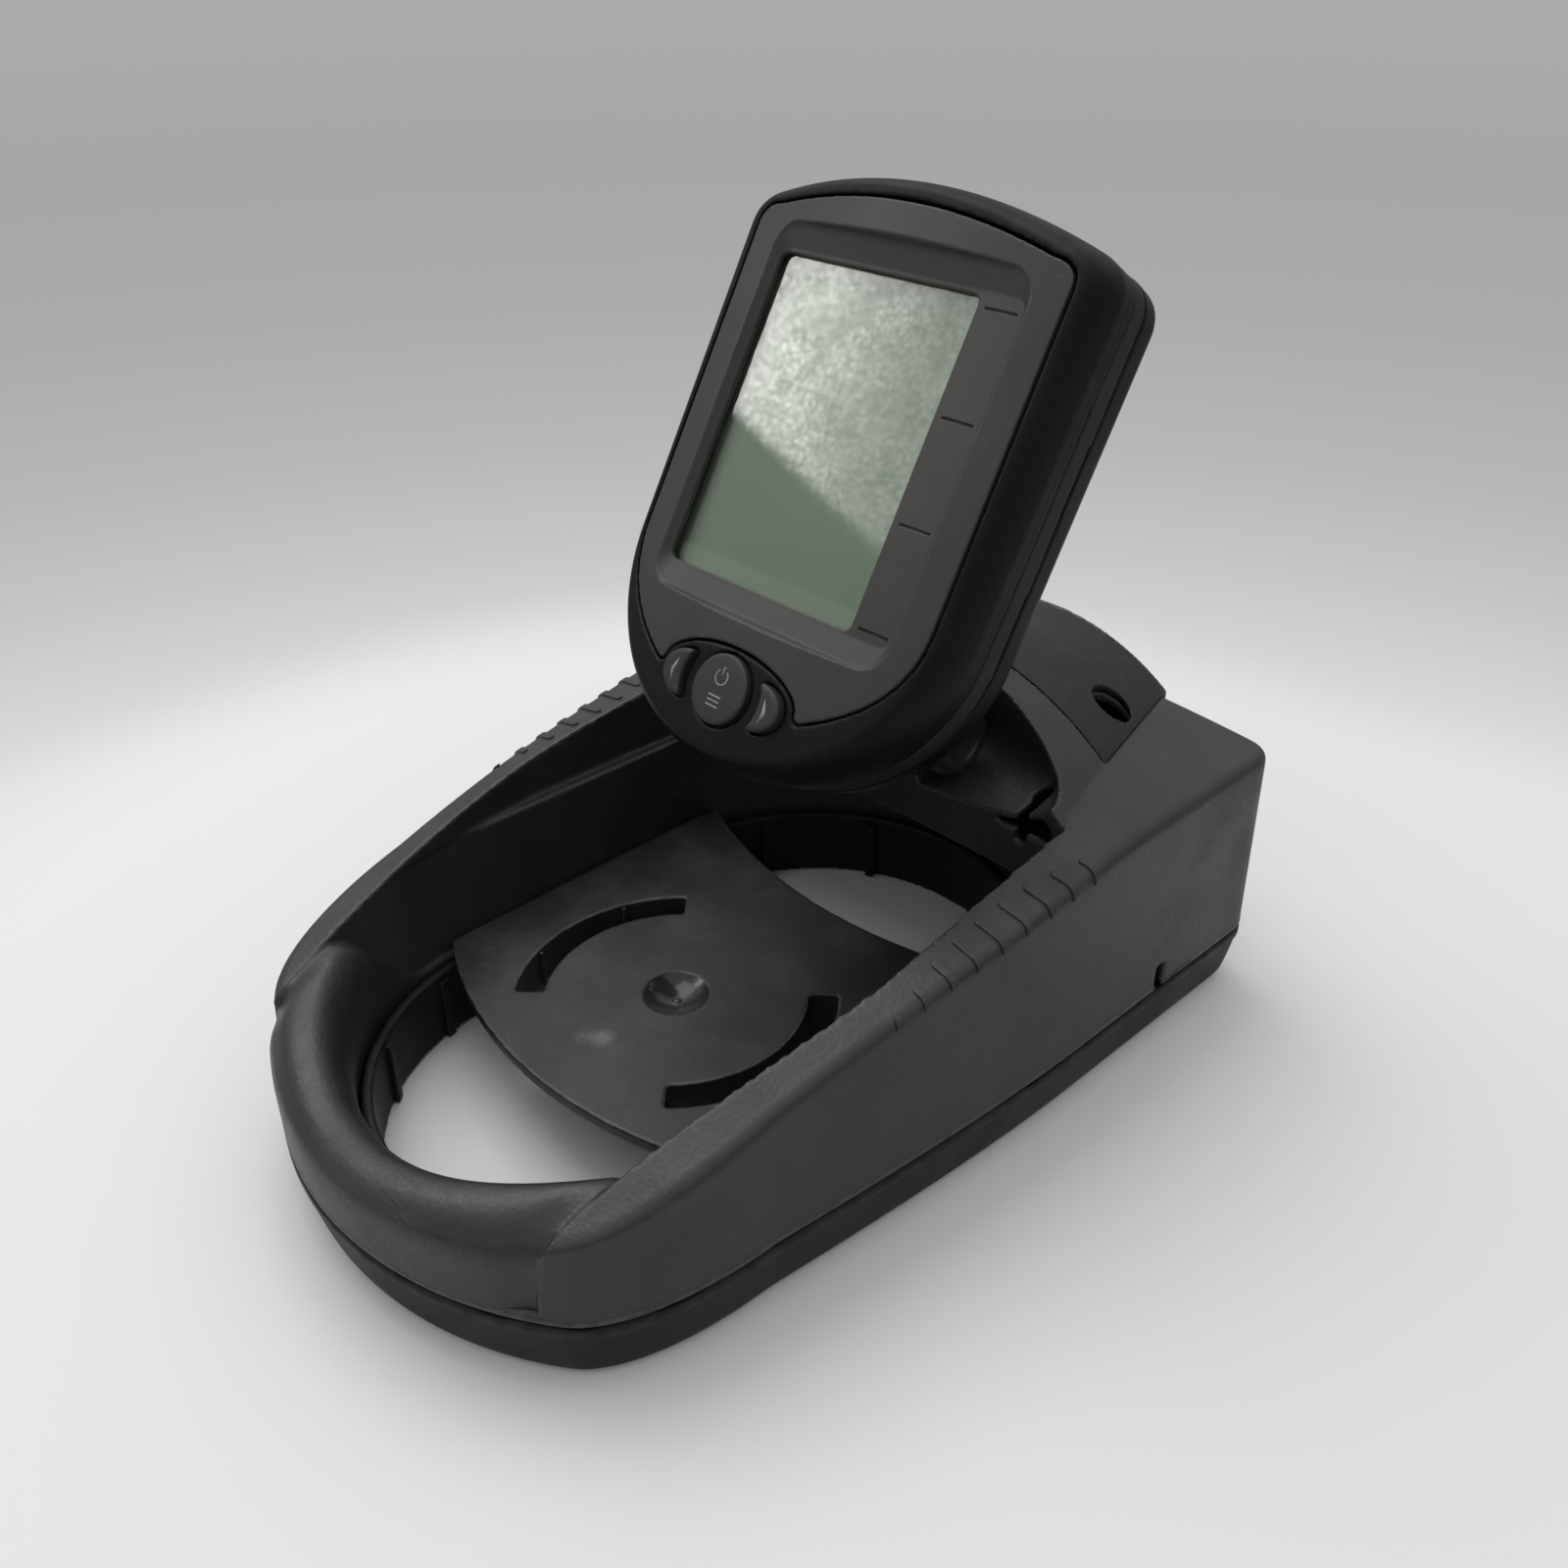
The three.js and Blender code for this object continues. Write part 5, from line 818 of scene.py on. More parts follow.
def panelHole():
    low, high = casing["deck"] - panelSizes["holeReach"], casing["deck"] + panelSizes["holeReach"]
    return pillar("hole", panelSizes["holeRadius"], panelSizes["holeX"], panelSizes["holeY"], low, high, 48)


def notchRoom():
    x, reach = niche["notchX"], mouthY + niche["notchReach"]
    low, high = niche["floor"] - casing["wall"], casing["stepLedge"] + niche["wallStart"]
    slot = block("slot", x - niche["notchWidth"] / 2, x + niche["notchWidth"] / 2, mouthY - overrun, reach, low, high)
    return joined(slot, pillar("key", niche["notchRadius"], x, reach, low, high, 32))


def sideNotchRoom():
    return block("sideNotch", casing["shoulderX"], shellHigh.x + overrun, *sideNotch["y"], 0, sideNotch["top"])


def makeShell(material):
    body = cut(casingForm(0), casingForm(casing["wall"]))
    body = cut(body, panelForm("pocket", gap), panelHole(), notchRoom())
    body = cut(body, sideNotchRoom())
    body = softened(body, *fineness["casing"])
    finished(body, "shellCasing", material, "base", "casing_plastic", "upper_shell")


grip = {
    "count": 9, "pitch": 8.3, "firstY": -25.5, "width": 2.2, "height": 0.5, "root": 1.2, "innerX": 71.6,
    "endInnerX": 77, "wrap": 5,
}


def makeGripRibs(material):
    bars, half = [], grip["width"] / 2
    for i in range(grip["count"]):
        y = grip["firstY"] + grip["pitch"] * i
        spread = (i * 2 / (grip["count"] - 1) - 1) ** 2
        inner = grip["innerX"] + (grip["endInnerX"] - grip["innerX"]) * spread
        end = [(inner + half - half * sin(t), y + half * cos(t)) for t in even(0, pi, 10)]
        end += [(shellHigh.x + overrun, y - half), (shellHigh.x + overrun, y + half)]
        bars.append(extruded("bar", end, railTop(y) - grip["wrap"], casing["deck"]))
    ribs = cut(common(casingBlock("skin", -grip["height"]), joined(*bars)), casingBlock("core", grip["root"]))
    finished(softened(bothSides(ribs), *fineness["gripRibs"]), "gripRibs", material, "base", "casing_plastic")


def makeCowlPanel(material):
    body = cut(panelForm("panel", 0), panelHole())
    finished(softened(body, *fineness["panel"]), "cowlCover", material, "base", "panel_plastic", "cowl_panel")


# pan under the casing
pan = {
    "rim": 18.4, "floor": 3, "slopeInset": 2.8, "rollInset": 3.6, "bottomInset": 4.9, "slopeShare": 0.16,
    "rollShare": 0.05, "bulge": 0.85, "bulgeEnd": 0.97, "rimDrop": 0.5, "rimInset": 0.25,
    "tongueWidth": 1.8, "tongueHeight": 3, "tongueDepth": 5, "tongueClearance": 1.3,
}
feet = {"radius": 6, "rear": (70.5, 104), "frontAngle": 35, "frontReach": 71, "sink": 0.8}
caseScrew = {
    "spots": ((68.8, -35), (-68.8, -35), (72, 70), (-72, 70)), "boss": 3.3, "hole": 1.6, "headRadius": 2.7,
    "headHeight": 2, "headZ": 8, "shank": 1, "length": 16,
}
cover = {
    "half": 53.5, "frontY": 94, "rearY": 121.5, "rimX": 9.5, "rimY": 2, "thickness": 1.5, "screwX": 59.2,
    "headSink": 1, "rib": (24.6, 26.1), "ribInset": 3.6, "gripHalf": 16.4, "gripSpacing": 3, "gripWidth": 1.5,
}
footX = feet["frontReach"] * sin(radians(feet["frontAngle"]))
footY = well["frontY"] - feet["frontReach"] * cos(radians(feet["frontAngle"]))
footSpots = ((footX, footY), (-footX, footY), feet["rear"], (-feet["rear"][0], feet["rear"][1]))
panFloor = panLow.z + pan["floor"]
coverMiddleY = (cover["frontY"] + cover["rearY"]) / 2


def panForm():
    height = pan["rim"] - panLow.z
    rings = [raised(outline(pan["bottomInset"]), panLow.z),
             raised(outline(pan["rollInset"]), panLow.z + height * pan["rollShare"]),
             raised(outline(pan["slopeInset"]), panLow.z + height * pan["slopeShare"])]
    for i in range(1, 6):  # the side bulges a little on its way up to the rim
        share = i / 6
        rings.append(raised(outline(pan["slopeInset"] * (1 - share ** pan["bulge"])), panLow.z + height * (
            pan["slopeShare"] + (pan["bulgeEnd"] - pan["slopeShare"]) * share)))
    rings += [raised(outline(0), pan["rim"] - pan["rimDrop"]), raised(outline(pan["rimInset"]), pan["rim"])]
    inner = loft("panRoom", [raised(outline(pan["bottomInset"]), panFloor),
                             raised(outline(pan["slopeInset"] + casing["wall"]), panFloor + pan["floor"]),
                             raised(outline(casing["wall"]), pan["rim"] + overrun)])
    return cut(loft("pan", rings), inner)


def panTongue():
    inset, top = casing["wall"] + pan["tongueClearance"], casing["seam"] + pan["tongueHeight"]
    lip = loft("lip", [raised(outline(casing["wall"] - gap), pan["rim"] - pan["tongueDepth"]),
                       raised(outline(casing["wall"] - gap), pan["rim"] - pan["tongueClearance"]),
                       raised(outline(inset), pan["rim"]), raised(outline(inset), top)])
    room = loft("lipRoom", [raised(outline(inset + pan["tongueWidth"]), pan["rim"] - pan["tongueDepth"] - overrun),
                            raised(outline(inset + pan["tongueWidth"]), top + overrun)])
    lip = cut(lip, room, block("noLip", -shellHigh.x, shellHigh.x, shellLow.y, casing["shoulderY"], panFloor,
                               casing["ledge"] + pan["tongueHeight"]))
    reach = cover["half"] + cover["rimX"]
    return cut(lip, block("bay", -reach, reach, well["rearY"] + well["halfWidth"], shellHigh.y + overrun, panFloor,
                          casing["deck"]))


def wellWall():
    side, grow = well["halfWidth"], well["wallThickness"] - well["ledgeWidth"]
    return loft("wellWall", [raised(wellOutline(side, inset), z) for inset, z in (
        (grow, panLow.z), (grow, casing["seam"]), (-gap * 2, casing["seam"] + gap), (-gap * 2, casing["ledge"] - gap))])


def wellRibs():
    ribs, half = [], well["ribWidth"] / 2
    spots = [(well["frontReach"], 180 + a, well["frontY"]) for angle in well["frontAngles"] for a in (angle, -angle)]
    spots += [(well["halfWidth"], a, well["rearY"]) for angle in well["rearAngles"] for a in (angle, -angle)]
    for edge, angle, y in spots:
        reach = edge - well["ledgeWidth"]
        rib = block("rib", -half, half, reach - well["ribProud"], reach + gap, panLow.z, casing["seam"])
        ribs.append(moved(rib, Matrix.Translation((0, y, 0)) @ Matrix.Rotation(radians(-angle), 4, "Z")))
    return joined(*ribs)


def makePan(material):
    hole = extruded("wellHole", wellOutline(well["halfWidth"], -well["ledgeWidth"]), -overrun, casing["deck"])
    body = cut(joined(panForm(), panTongue(), wellWall()), hole)
    for x, y in caseScrew["spots"]:
        body = joined(body, pillar("post", caseScrew["boss"], x, y, panLow.z, casing["seam"]))
    posts = bothSides(pillar("coverPost", caseScrew["boss"], cover["screwX"], coverMiddleY, panFloor - gap,
                             casing["seam"] / 2))
    body = joined(body, posts)
    for x, y in caseScrew["spots"]:
        body = cut(body, pillar("hole", caseScrew["hole"], x, y, 0, casing["deck"]),
                   pillar("sink", caseScrew["headRadius"] + gap, x, y, 0, caseScrew["headZ"]))
    for x, y in footSpots:
        body = cut(body, pillar("seat", feet["radius"] + gap, x, y, 0, panLow.z + feet["sink"], 48))
    reach, half, front, rear = cover["half"] + cover["rimX"], cover["half"], cover["frontY"], cover["rearY"]
    pilot = pillar("coverPilot", caseScrew["hole"], cover["screwX"], coverMiddleY, 0, casing["seam"] / 2 - overrun)
    body = cut(body, block("coverSeat", -reach, reach, front - cover["rimY"], rear + cover["rimY"], 0,
                           panLow.z + cover["thickness"]),
               block("coverHole", -half, half, front, rear, 0, panFloor + overrun), bothSides(pilot))
    finished(softened(body, *fineness["casing"]), "panCasing", material, "base", "pan_plastic", "bottom_pan")


rims = {  # inset and rise up the outside, from the pan's rim and from the casing's seam
    "lip": ((0.3, -2.6), (-0.08, -2.1), (-0.1, -0.3), (0.1, 0)),
    "hem": ((0.12, 0), (-0.06, 0.3), (-0.04, 1.6), (0.5, 2.2)),
}


def rimBand(name, start, inner):  # fine lip round the outline
    levels = [(inset, start + rise) for inset, rise in rims[name]]
    body = loft(name, [raised(outline(inset), z) for inset, z in levels])
    return cut(body, loft("rimRoom", [raised(outline(inner), z) for z in (levels[0][1] - 1, levels[-1][1] + 1)]))


def makeRims(shellMaterial, panMaterial):
    lip = rimBand("lip", pan["rim"], casing["wall"] - gap * 2)
    finished(lip, "panRim", panMaterial, "base", "pan_plastic")
    hem = cut(rimBand("hem", casing["seam"], casing["wall"] - gap), sideNotchRoom())
    finished(hem, "shellRim", shellMaterial, "base", "casing_plastic")


def makeWellRibs(material):
    finished(softened(wellRibs(), *fineness["wallRibs"]), "wallRibs", material, "base", "pan_plastic")


def makeBatteryCover(material):
    reach = cover["half"] + cover["rimX"] - gap
    front, rear, low = cover["frontY"] - cover["rimY"] + gap, cover["rearY"] + cover["rimY"] - gap, panLow.z
    half = cover["half"] - gap
    body = joined(block("cover", -reach, reach, front, rear, low, low + cover["thickness"] - gap),
                  block("pad", -half, half, cover["frontY"] + gap, cover["rearY"] - gap, low,
                        panFloor - cover["thickness"]),
                  bothSides(block("rib", *cover["rib"], cover["frontY"] + cover["ribInset"],
                                  cover["rearY"] - cover["ribInset"], low, panFloor + gap)))
    body = cut(body, bothSides(pillar("hole", caseScrew["hole"], cover["screwX"], coverMiddleY, 0, panFloor)),
               bothSides(pillar("sink", caseScrew["headRadius"] + gap, cover["screwX"], coverMiddleY, 0,
                                low + cover["headSink"])))
    for place in (-1, 0, 1):
        y, width = coverMiddleY + cover["gripSpacing"] * place, cover["gripWidth"] / 2
        body = cut(body, block("grip", -cover["gripHalf"], cover["gripHalf"], y - width, y + width, 0, low + gap))
    finished(softened(body, *fineness["cover"]), "bayCover", material, "base", "pan_plastic", "battery_cover")


def makeFeet(material):
    radius, top = feet["radius"], panLow.z + feet["sink"] - gap
    for i, (x, y) in enumerate(footSpots):
        profile = [(0, 0.12), (radius * 0.45, 0.12), (radius * 0.5, 0), (radius * 0.72, 0), (radius * 0.77, 0.12),
                   (radius * 0.85, 0.12), (radius * 0.89, 0), (radius - gap, 0), (radius - 0.1, 0.1), (radius, gap),
                   (radius, top), (0, top)]
        foot = moved(turned("foot", profile, 72), Matrix.Translation((x, y, 0)))
        finished(foot, f"footPad{i + 1}", material, "base", "rubber", f"rubber_foot_{i + 1}")


# cross plate over the well
plate = {
    "thickness": 3.5, "frontSide": -56.5, "frontMiddle": -72.8, "rearSide": 43.5, "rearMiddle": 29.3, "centreY": -26.5,
    "slotInner": 35.6, "slotOuter": 43.5, "slotAngle": 44.5, "slotWall": 1.6, "slotDepth": 12, "slotRib": 0.9,
    "slotCorner": 1.2, "ribAngle": 20, "dimpleRadius": 9, "dimpleDepth": 3.2, "dishWall": 2,
    "skirtWidth": 2.6, "nubRadius": 0.8, "clearance": 0.6, "steps": 40,
}
plateSpots = (  # two scuffs and the glossy dimple
    {"x": 0.4, "y": -52, "core": 0.3, "reach": 4.6, "scale": 2600, "broken": 0.8, "paint": 0.5, "polish": 0.12},
    {"x": -3.5, "y": -55, "core": 0.2, "reach": 4, "scale": 3200, "broken": 1, "paint": 0.25, "polish": 0.1},
    {"x": 0, "y": plate["centreY"], "core": 8.6, "reach": 9, "scale": 60, "broken": 0.1, "paint": 0, "polish": 0.22},
)


def bow(half, sideY, middleY):
    rise, steps = sideY - middleY, plate["steps"]
    radius = (half * half + rise * rise) / (2 * rise)
    spread = asin(half / radius)
    return [Vector((radius * sin(t), middleY + radius * (1 - cos(t)))) for t in even(-spread, spread, steps)]


def slotForm(grow, low, high):
    spread = radians(plate["slotAngle"]) + grow / plate["slotOuter"]
    outer, inner = plate["slotOuter"] + grow, plate["slotInner"] - grow
    corner, shape = plate["slotCorner"] + grow, []
    for radius, side in ((outer, 1), (inner, -1)):
        for end in (-side, side):  # each of the four corners is a quarter turn
            middle, angle = radius - side * corner, end * (spread - corner / radius)
            for turn in even(0, pi / 2, 6):
                along, out = (cos(turn), sin(turn)) if end == -side else (sin(turn), cos(turn))
                reach, at = middle + side * corner * out, angle + end * corner * along / radius
                shape.append((reach * cos(at), plate["centreY"] + reach * sin(at)))
            if end == -side:
                shape += [(radius * cos(t), plate["centreY"] + radius * sin(t))
                          for t in even(angle, -angle, 30)[1:-1]]
    return bothSides(extruded("slot", shape, low, high))


def makeSlotRibs(material):
    top, bars = plateHigh.z, []
    for angle in (plate["ribAngle"], -plate["ribAngle"], 180 + plate["ribAngle"], 180 - plate["ribAngle"]):
        rib = block("rib", plate["slotOuter"] - plate["slotRib"], plate["slotOuter"] + plate["slotWall"] / 2,
                    -plate["slotRib"] / 2, plate["slotRib"] / 2, top - plate["slotDepth"], top - plate["slotRib"])
        bars.append(moved(rib, Matrix.Translation((0, plate["centreY"], 0)) @ Matrix.Rotation(
            radians(angle), 4, "Z")))
    finished(softened(joined(*bars), *fineness["slotRibs"]), "slotRibs", material, "base", "plate_plastic")


def makeCrossPlate(material):
    half, top = well["halfWidth"] - plate["clearance"], plateHigh.z
    bottom, deep, centre = top - plate["thickness"], top - plate["slotDepth"], plate["centreY"]
    shape = bow(half, plate["frontSide"], plate["frontMiddle"])
    shape += bow(half, plate["rearSide"], plate["rearMiddle"])[::-1]
    skirts = bothSides(block("skirt", half - plate["skirtWidth"], half, plate["frontSide"], plate["rearSide"],
                             casing["ledge"], bottom + gap))
    body = common(joined(extruded("sheet", shape, bottom, top), skirts),
                  extruded("fit", wellOutline(well["halfWidth"], -plate["clearance"]), casing["ledge"], top))
    dishBottom = top - plate["dimpleDepth"] - plate["dishWall"]
    body = joined(body, slotForm(plate["slotWall"], deep, bottom + gap),
                  pillar("dish", plate["dimpleRadius"] + plate["dishWall"], 0, centre, dishBottom, top - gap, 64))
    body = cut(body, slotForm(0, deep - overrun, top + overrun))
    ball = (plate["dimpleRadius"] ** 2 + plate["dimpleDepth"] ** 2) / (2 * plate["dimpleDepth"])
    bowl = moved(turned("bowl", [(ball * sin(t), -ball * cos(t)) for t in even(0, pi, 96)], 96),
                 Matrix.Translation((0, centre, top - plate["dimpleDepth"] + ball)))
    nubTop = top - plate["dimpleDepth"] + plate["nubRadius"]
    nub = pillar("nub", plate["nubRadius"], 0, centre, dishBottom + gap, nubTop)
    body = joined(cut(body, bowl), nub)
    finished(softened(body, *fineness["plate"]), "wellPlate", material, "base", "plate_plastic", "cross_plate")


# tilting mount in the niche
yoke = {
    "half": 16.4, "earInner": 12.4, "earRadius": 8, "footFront": 0.6, "footRear": 17.9, "footThickness": 3,
    "boltRadius": 2.4, "screwX": 7, "screwRear": 5, "screwHole": 1.6,
}
mountScrew = {"radius": 2.6, "height": 1.6, "shank": 1.3, "length": 7}
knob = {
    "inner": 0.5, "length": 11, "radius": 10.5, "hubRadius": 6, "hubLength": 2, "lobes": 10, "lobeDepth": 0.7, "cap": 2,
    "steps": 160,
}
barrel = {"half": 11, "radius": 7.6}
pivot = {"y": 55.5, "z": 83.5}
alongX = Matrix.Rotation(pi / 2, 4, "Y")
atPivot = Matrix.Translation((0, pivot["y"], pivot["z"]))


def rod(name, radius, half, steps=48):  # along X, through the pivot
    return moved(pillar(name, radius, 0, 0, -half, half, steps), atPivot @ alongX)


def makeYoke(material):
    front, rear = mouthY + yoke["footFront"], mouthY + yoke["footRear"]
    low = niche["seatTop"] + gap
    high, reach = low + yoke["footThickness"], yoke["earRadius"]
    ear = [(pivot["y"] - reach * cos(t), pivot["z"] + reach * sin(t)) for t in even(0, pi, 24)]
    ear = [(front, low)] + ear + [(rear, low)]
    side = loft("ear", [[Vector((x, y, z)) for y, z in ear] for x in (yoke["earInner"], yoke["half"])])
    body = joined(block("foot", -yoke["half"], yoke["half"], front, rear, low, high), bothSides(side))
    body = cut(body, rod("bore", yoke["boltRadius"] + gap, yoke["half"] * 2),
               bothSides(pillar("hole", yoke["screwHole"], yoke["screwX"], rear - yoke["screwRear"], low - gap,
                                high + gap)))
    finished(softened(body, *fineness["yoke"]), "mountFork", material, "base", "mount_plastic", "mount_yoke")


def makeBolt(steel, rubber):
    half = yoke["half"] + knob["inner"] + knob["length"] - knob["cap"] - gap
    finished(rod("bolt", yoke["boltRadius"], half), "tiltPin", steel, "base", "steel", "tilt_bolt")
    for side, name in ((1, "right"), (-1, "left")):
        middle = side * (barrel["half"] + yoke["earInner"]) / 2
        thick = (yoke["earInner"] - barrel["half"] - gap * 2) / 2
        washer = cut(pillar("washer", barrel["radius"] - gap, 0, 0, -thick, thick, 64),
                     pillar("bore", yoke["boltRadius"] + gap, 0, 0, -overrun, overrun, 48))
        moved(washer, Matrix.Translation((middle, 0, 0)) @ atPivot @ alongX)
        finished(washer, f"gripWasher{name.title()}", rubber, "base", "rubber", f"washer_{name}")


def makeKnob(material, side, name):
    length, radius, hub = knob["length"], knob["radius"], knob["hubLength"]
    profile = [(0, 0, 0), (knob["hubRadius"], 0, 0), (knob["hubRadius"], hub, 0), (radius - 1.1, hub, 0.6),
               (radius - 0.3, hub + 0.4, 1), (radius, hub + 1.2, 1), (radius, length - 3.6, 1),
               (radius - 0.35, length - 2, 1), (radius * 0.92, length - 0.9, 0.9), (radius * 0.86, length - 0.25, 0.7),
               (radius * 0.78, length, 0.3), (radius * 0.6, length, 0), (radius * 0.55, length - 0.25, 0),
               (radius * 0.52, length - 0.8, 0), (0, length - 0.8, 0)]
    turns, rings = even(0, tau, knob["steps"])[:-1], []
    for reach, along, lobe in profile:
        sizes = [reach - knob["lobeDepth"] * lobe * (1 - cos(t * knob["lobes"])) / 2 for t in turns]
        rings.append([Vector((r * cos(t), r * sin(t), along)) for r, t in zip(sizes, turns)])
    body = cut(loft("knob", rings), pillar("bore", yoke["boltRadius"] + gap, 0, 0, -overrun, length - knob["cap"], 48))
    moved(body, atPivot @ Matrix.Translation((yoke["half"] + knob["inner"], 0, 0)) @ alongX)
    if side < 0:
        moved(body, mirror)
    finished(body, f"gripKnob{name.title()}", material, f"tilt_knob_{name}", "knob_plastic", f"tilt_knob_{name}")


# display head, in its own frame: x to the right, z up the face, y into the depth
head = {
    "tilt": 30.64, "reach": 68.8, "rise": 6.8, "half": 55.3, "topV": 130.4, "topBow": 9.2, "cornerV": 121.3,
    "corner": 9, "bendV": 30, "bottomV": -19.6, "flare": 0.0002, "crownRadius": 290, "wall": 2.4, "frontDepth": 20.2,
    "bandDepth": 5.5, "backDepth": 36, "frontWall": 7.5, "shoulderInset": 4.9, "shoulderDepth": 11,
    "backInset": 0.5, "backRound": 6.5, "backRoll": 5, "rimInset": 0.2,
}
face = {
    "half": 49.25, "topV": 123.1, "topBow": 5.1, "shoulderV": 117.9, "cornerHalf": 42.5, "cornerV": 112, "bendV": 32,
    "tip": (25.2, 0.6), "archTop": 11.2, "archHalf": 23.8, "archFoot": 12, "thickness": 2.4, "groove": 0.75,
}
recess = {
    "left": -40.3, "right": 41, "bottom": 18.3, "top": 114, "corner": 7, "floor": 4.6, "back": 6, "slopeSide": 2.2,
    "slopeTop": 6, "rim": 1.3,
}
pane = {"left": -37.9, "right": 26.6, "bottom": 25, "top": 106.9, "corner": 2.2}
tick = {"from": 28.9, "to": 38.3, "heights": (104.4, 78.4, 52.6, 26.8), "width": 0.7, "depth": 0.5}
button = {
    "radius": 9, "innerRadius": 13.6, "outerU": 12.6, "outerHalf": 7.9, "halfHeight": 6.1, "hornShare": 0.88,
    "proud": 1.5, "travel": 1, "matDepth": 3, "clearance": gap * 1.6,
}
bandFront = head["frontDepth"] + gap
bandBack = bandFront + head["bandDepth"]
lean = radians(head["tilt"])
headPlace = Matrix.Translation((
    0, pivot["y"] - head["reach"] * cos(lean) - head["rise"] * sin(lean),
    pivot["z"] + head["reach"] * sin(lean) - head["rise"] * cos(lean))) @ Matrix.Rotation(-lean, 4, "X")


def crown(u):
    return u * u / (2 * head["crownRadius"])


def headOutline(inset, depth):
    half, drop = head["half"] - inset, head["bendV"] - head["bottomV"] - inset
    line = [(half * cos(t), head["bendV"] + drop * sin(t)) for t in even(-pi / 2, 0, 28)]
    corner = head["corner"]

    def top(u):
        return head["topV"] - inset - head["topBow"] * (u / half) ** 2

    start, bend = head["cornerV"] - corner, head["cornerV"] - inset * 0.6
    line += [tuple(point) for point in bezier([(half, start), (half, bend), (half - corner, top(half - corner))], 12)]
    line += [(u, top(u)) for u in even(half - corner, 0, 14)[1:]]
    line = [(u * (1 + head["flare"] * (v - head["bendV"])), v) for u, v in line]
    loop = line + [(-u, v) for u, v in reversed(line[1:-1])]
    return [Vector((u, depth(u) if callable(depth) else depth, v)) for u, v in loop]


def inDepth(name, shape, near, far):
    return loft(name, [[Vector((u, depth, v)) for u, v in shape] for depth in (near, far)])


def facePillar(name, radius, u, v, near, far, steps=40):
    return inDepth(name, circle(radius, steps, u, v), near, far)


def crownSlab(offset, flatDepth):
    reach = head["half"] + overrun
    line = [(u, crown(u) + offset) for u in even(reach, -reach, 48)]
    return extruded("slab", line + [(-reach, flatDepth), (reach, flatDepth)], head["bottomV"] - overrun,
                    head["topV"] + overrun)


def faceShape(grow):
    foot, half = radians(face["archFoot"]), face["half"] + grow
    line = []
    for angle in even(pi / 2, foot, 20):
        line.append(Vector(((face["archHalf"] - grow) * cos(angle),
                            face["tip"][1] + (face["archTop"] - face["tip"][1] - grow) * sin(angle))))
    last, tip = line[-1], Vector((face["tip"][0], face["tip"][1] - grow))
    line += bezier([last, (last.x + grow / 2, tip.y), tip], 6)[1:]
    line += bezier([tip, (tip.x + (half - tip.x) * 0.46, tip.y + face["bendV"] * 0.17), (half, face["bendV"] * 0.47),
                    (half, face["bendV"])], 24)[1:]

    def top(u):
        return face["topV"] + grow - face["topBow"] * (u / face["cornerHalf"]) ** 2

    corner = face["cornerHalf"]
    line += bezier([(half, face["cornerV"]), (half, face["shoulderV"] + grow), (corner, top(corner))], 10)
    return mirroredLoop(line + [Vector((u, top(u))) for u in even(corner, 0, 14)[1:]])


def roundedRect(left, right, bottom, top, corner, steps=8):
    shape = []
    for x, y, start in ((right, bottom, -90), (right, top, 0), (left, top, 90), (left, bottom, 180)):
        middleX = x - copysign(corner, x - (left + right) / 2)
        middleY = y - copysign(corner, y - (bottom + top) / 2)
        for angle in even(start, start + 90, steps):
            turn = radians(angle)
            shape.append(Vector((middleX + corner * cos(turn), middleY + corner * sin(turn))))
    return shape


def recessBack(grow):
    reach = recess["rim"] + grow
    return roundedRect(recess["left"] - reach, recess["right"] + reach, recess["bottom"] - reach, recess["top"] + reach,
                       recess["corner"])


def crescentShape(grow):
    inner, wide, tall = button["innerRadius"] - grow, button["outerHalf"] + grow, button["halfHeight"] + grow
    horn = tall * button["hornShare"]
    outer = [Vector((button["outerU"] + wide * cos(t), tall * sin(t))) for t in even(-pi / 2, pi / 2, 28)]
    return outer + [Vector((sqrt(inner * inner - v * v), v)) for v in even(horn, -horn, 18)]


def makeFrontHousing(material):
    def follow(depth):
        return lambda u: depth + crown(u)

    rings = [headOutline(head["rimInset"], head["frontDepth"]), headOutline(0, head["frontDepth"] * 0.7)]
    for turn in even(0, pi / 2, 12):
        rings.append(headOutline(head["shoulderInset"] * (1 - cos(turn)),
                                 follow(head["shoulderDepth"] * (1 - sin(turn)))))
    rings.append(headOutline(head["shoulderInset"] + head["rimInset"], -overrun))
    shell = cut(loft("frontShell", rings), crownSlab(0, -overrun * 4))
    inner = cut(loft("frontInside", [headOutline(head["wall"], head["frontDepth"] + overrun),
                                     headOutline(head["wall"] + 1, head["frontWall"] - overrun)]),
                crownSlab(head["frontWall"], -overrun * 4))
    pocket = cut(inDepth("pocket", faceShape(face["groove"]), -overrun, head["frontWall"] * 2),
                 crownSlab(face["thickness"] + gap, head["frontDepth"]))
    shell = cut(shell, inner, pocket, inDepth("through", recessBack(gap * 2), 0, head["frontDepth"]))
    room, deep = button["clearance"], head["frontWall"] * 2
    shell = cut(shell, facePillar("hole", button["radius"] + room, 0, 0, -overrun, deep, 64))
    shell = cut(shell, bothSides(inDepth("crescents", crescentShape(room), -overrun, deep)))
    shell = moved(softened(shell, *fineness["front"]), headPlace)
    finished(shell, "headFront", material, "head", "housing_plastic", "front_housing")


